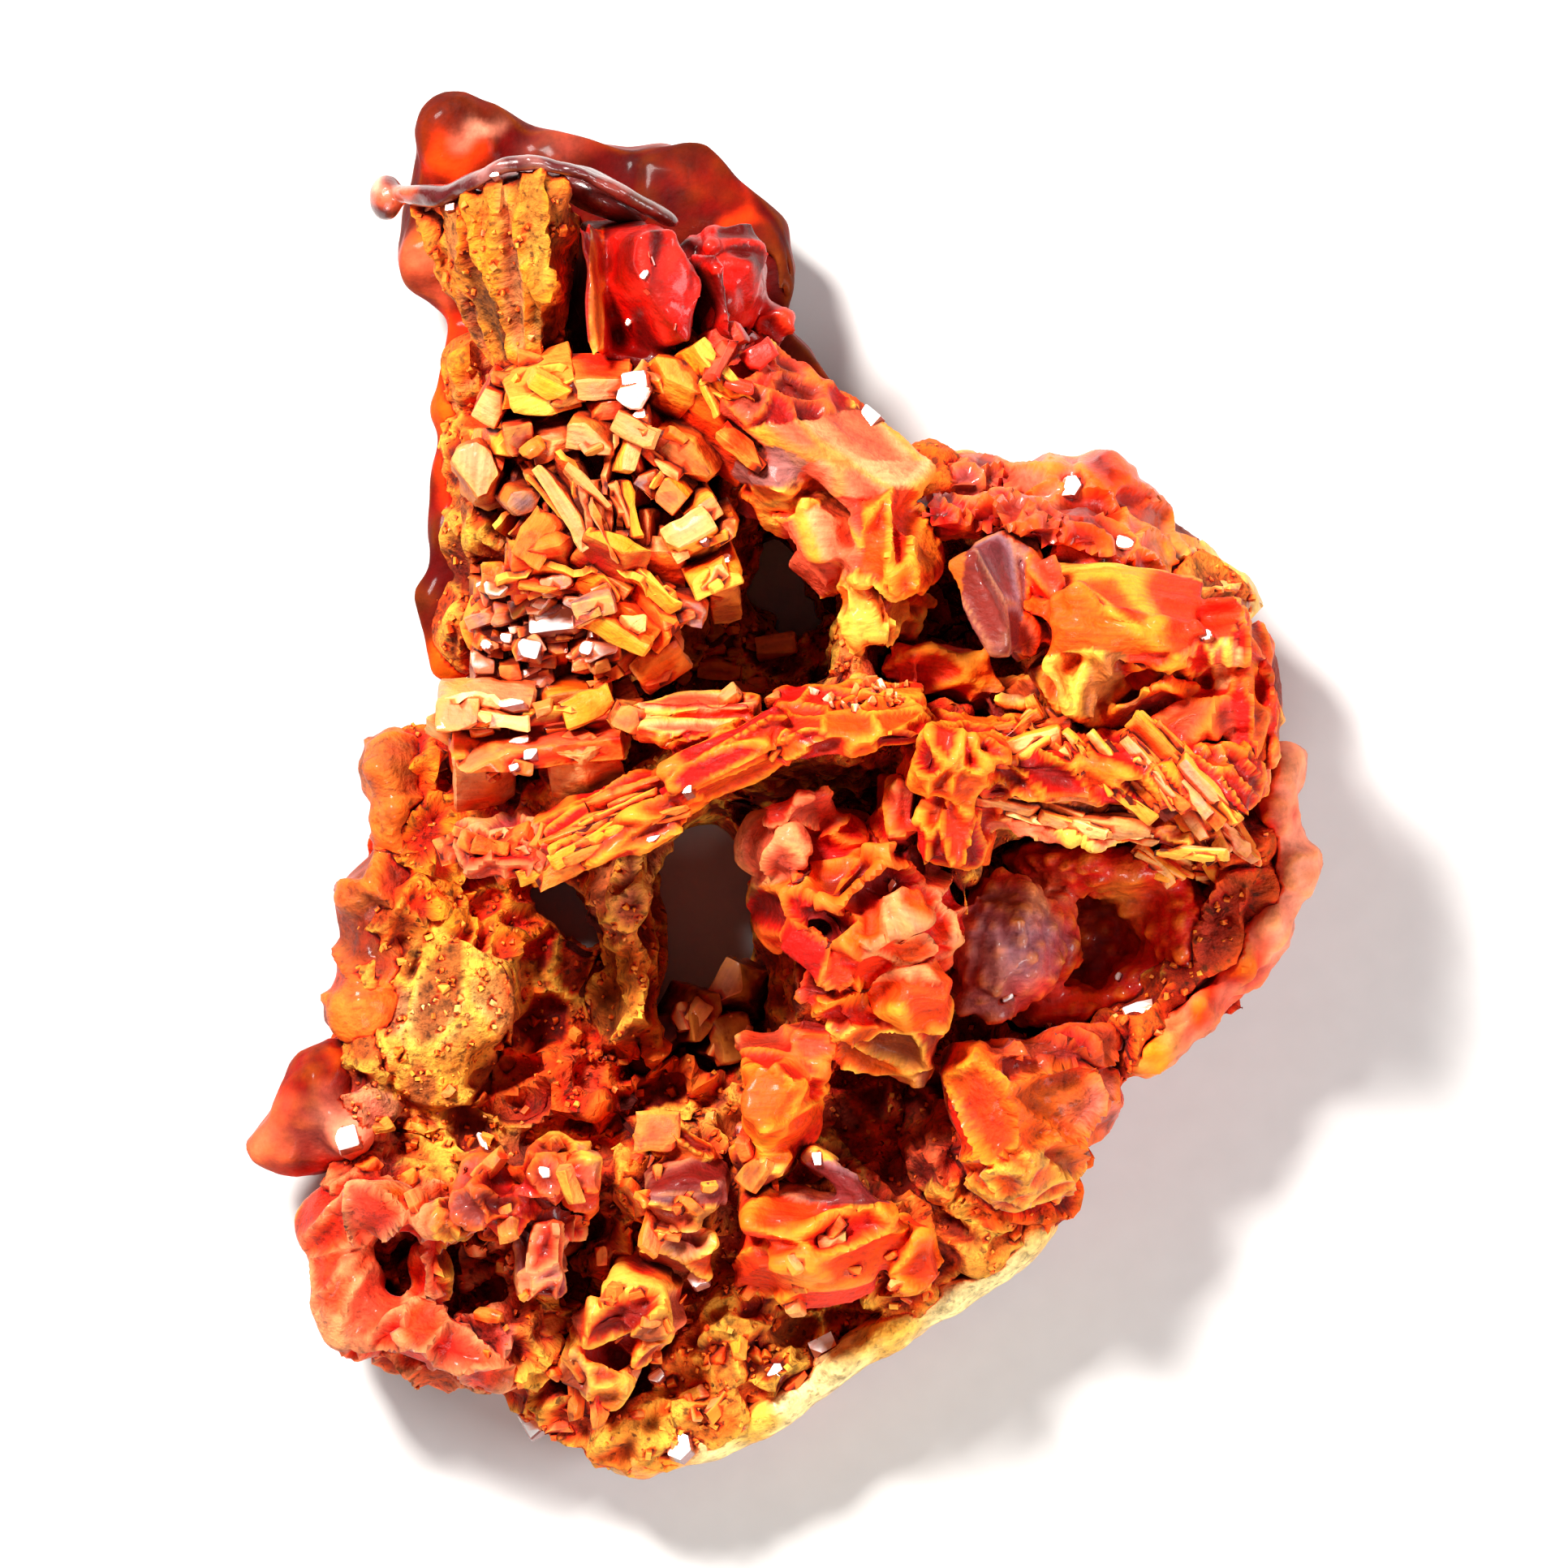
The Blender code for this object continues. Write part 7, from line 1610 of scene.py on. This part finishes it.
def build_specimen():
    shapes = {"matrix": stone_skin()}
    for node, base, patches, _, _, rounds, relief, contrast in CRUSTS:
        shapes[node] = crust_skin(node, base, patches, rounds, relief, contrast)
    shapes["horn_crest"] = crest_skin()
    clusters = {node: grown(node, index + 1) for index, node in enumerate(GROUPS)}
    for node in FUSED:
        fused(clusters[node])
    stone = tree_of([shapes["matrix"]])
    ground = tree_of(list(shapes.values()) + [cluster.shape for cluster in clusters.values()])
    for index, cluster in enumerate(clusters.values()):
        overgrown(cluster, ground, index + 60)
        shapes[cluster.name] = cluster.shape
    scattered = Cluster("stone_crystals", 91)
    overgrown(scattered, ground, 91)
    shapes["stone_crystals"] = scattered.shape
    shapes["stone_crumbs"] = crumbs(stone).shape
    shapes["mirror_facets"] = mirror_facets(tree_of(shapes.values())).shape
    surroundings = tree_of(shapes.values())
    for shape in shapes.values():
        shade_hollows(shape, surroundings)
    put(finished_piece(shapes["matrix"], "matrix_piece", 1.0), MATERIALS["weathered stone"],
        "matrix")
    put(finished_piece(shapes["horn_crest"], "horn_crest_piece", 1.0), MATERIALS["dark ribbon"],
        "horn_crest")
    satin = MATERIALS["satin crystal"]
    put(finished_piece(shapes["stone_crumbs"], "stone_crumbs", 0.5), satin)
    put(finished_piece(shapes["stone_crystals"], "stone_crystals"), satin)
    put(finished_piece(shapes["mirror_facets"], "mirror_facets", 0.3), MATERIALS["mirror facet"])
    for node, _, _, material, slot, _, _, _ in CRUSTS:
        put(finished_piece(shapes[node], node + "_piece", 1.0), MATERIALS[material], node)
    for node, (_, material, slot) in GROUPS.items():
        crease = 1.0 if node in FUSED else 0.6
        put(finished_piece(shapes[node], node + "_piece", crease), MATERIALS[material], node)


def build_floor():
    shape = bmesh.new()
    bmesh.ops.create_grid(shape, x_segments=1, y_segments=1, size=1.5)
    mesh = bpy.data.meshes.new("floor")
    shape.to_mesh(mesh)
    shape.free()
    floor = bpy.data.objects.new("floor", mesh)
    bpy.context.scene.collection.objects.link(floor)
    mesh.materials.append(floor_material())


def soft_light(name, place, size, power, colour):
    lamp = bpy.data.lights.new(name, "AREA")
    lamp.energy = power
    lamp.size = size
    lamp.color = colour
    holder = bpy.data.objects.new(name, lamp)
    holder.location = place
    holder.rotation_euler = (LAMP_AIM - Vector(place)).to_track_quat("-Z", "Y").to_euler()
    bpy.context.scene.collection.objects.link(holder)


def build_light():
    soft_light("key", (-0.12, 0.15, 0.24), 0.06, 2.35, (1.0, 0.97, 0.93))
    soft_light("fill", (0.22, -0.06, 0.18), 0.12, 0.6, (0.97, 0.98, 1.0))
    soft_light("low", (0.02, -0.22, 0.16), 0.08, 0.35, (1.0, 0.98, 0.96))
    world = bpy.data.worlds.new("studio")
    world.use_nodes = True
    world.node_tree.nodes["Background"].inputs["Color"].default_value = (1.0, 0.98, 0.96, 1.0)
    world.node_tree.nodes["Background"].inputs["Strength"].default_value = 0.1
    bpy.context.scene.world = world


def build_camera():
    lens = bpy.data.cameras.new("camera")
    lens.sensor_width = SENSOR
    lens.lens = SENSOR * (CAMERA_HEIGHT - FACE_HEIGHT) / VIEW_WIDTH
    lens.clip_start = 0.01
    lens.clip_end = 10.0
    camera = bpy.data.objects.new("camera", lens)
    camera.location = Vector((*VIEW_CENTRE, CAMERA_HEIGHT)) * MM
    bpy.context.scene.collection.objects.link(camera)
    bpy.context.scene.camera = camera
    bpy.context.scene.view_settings.view_transform = "Standard"


build_specimen()
build_floor()
build_light()
build_camera()
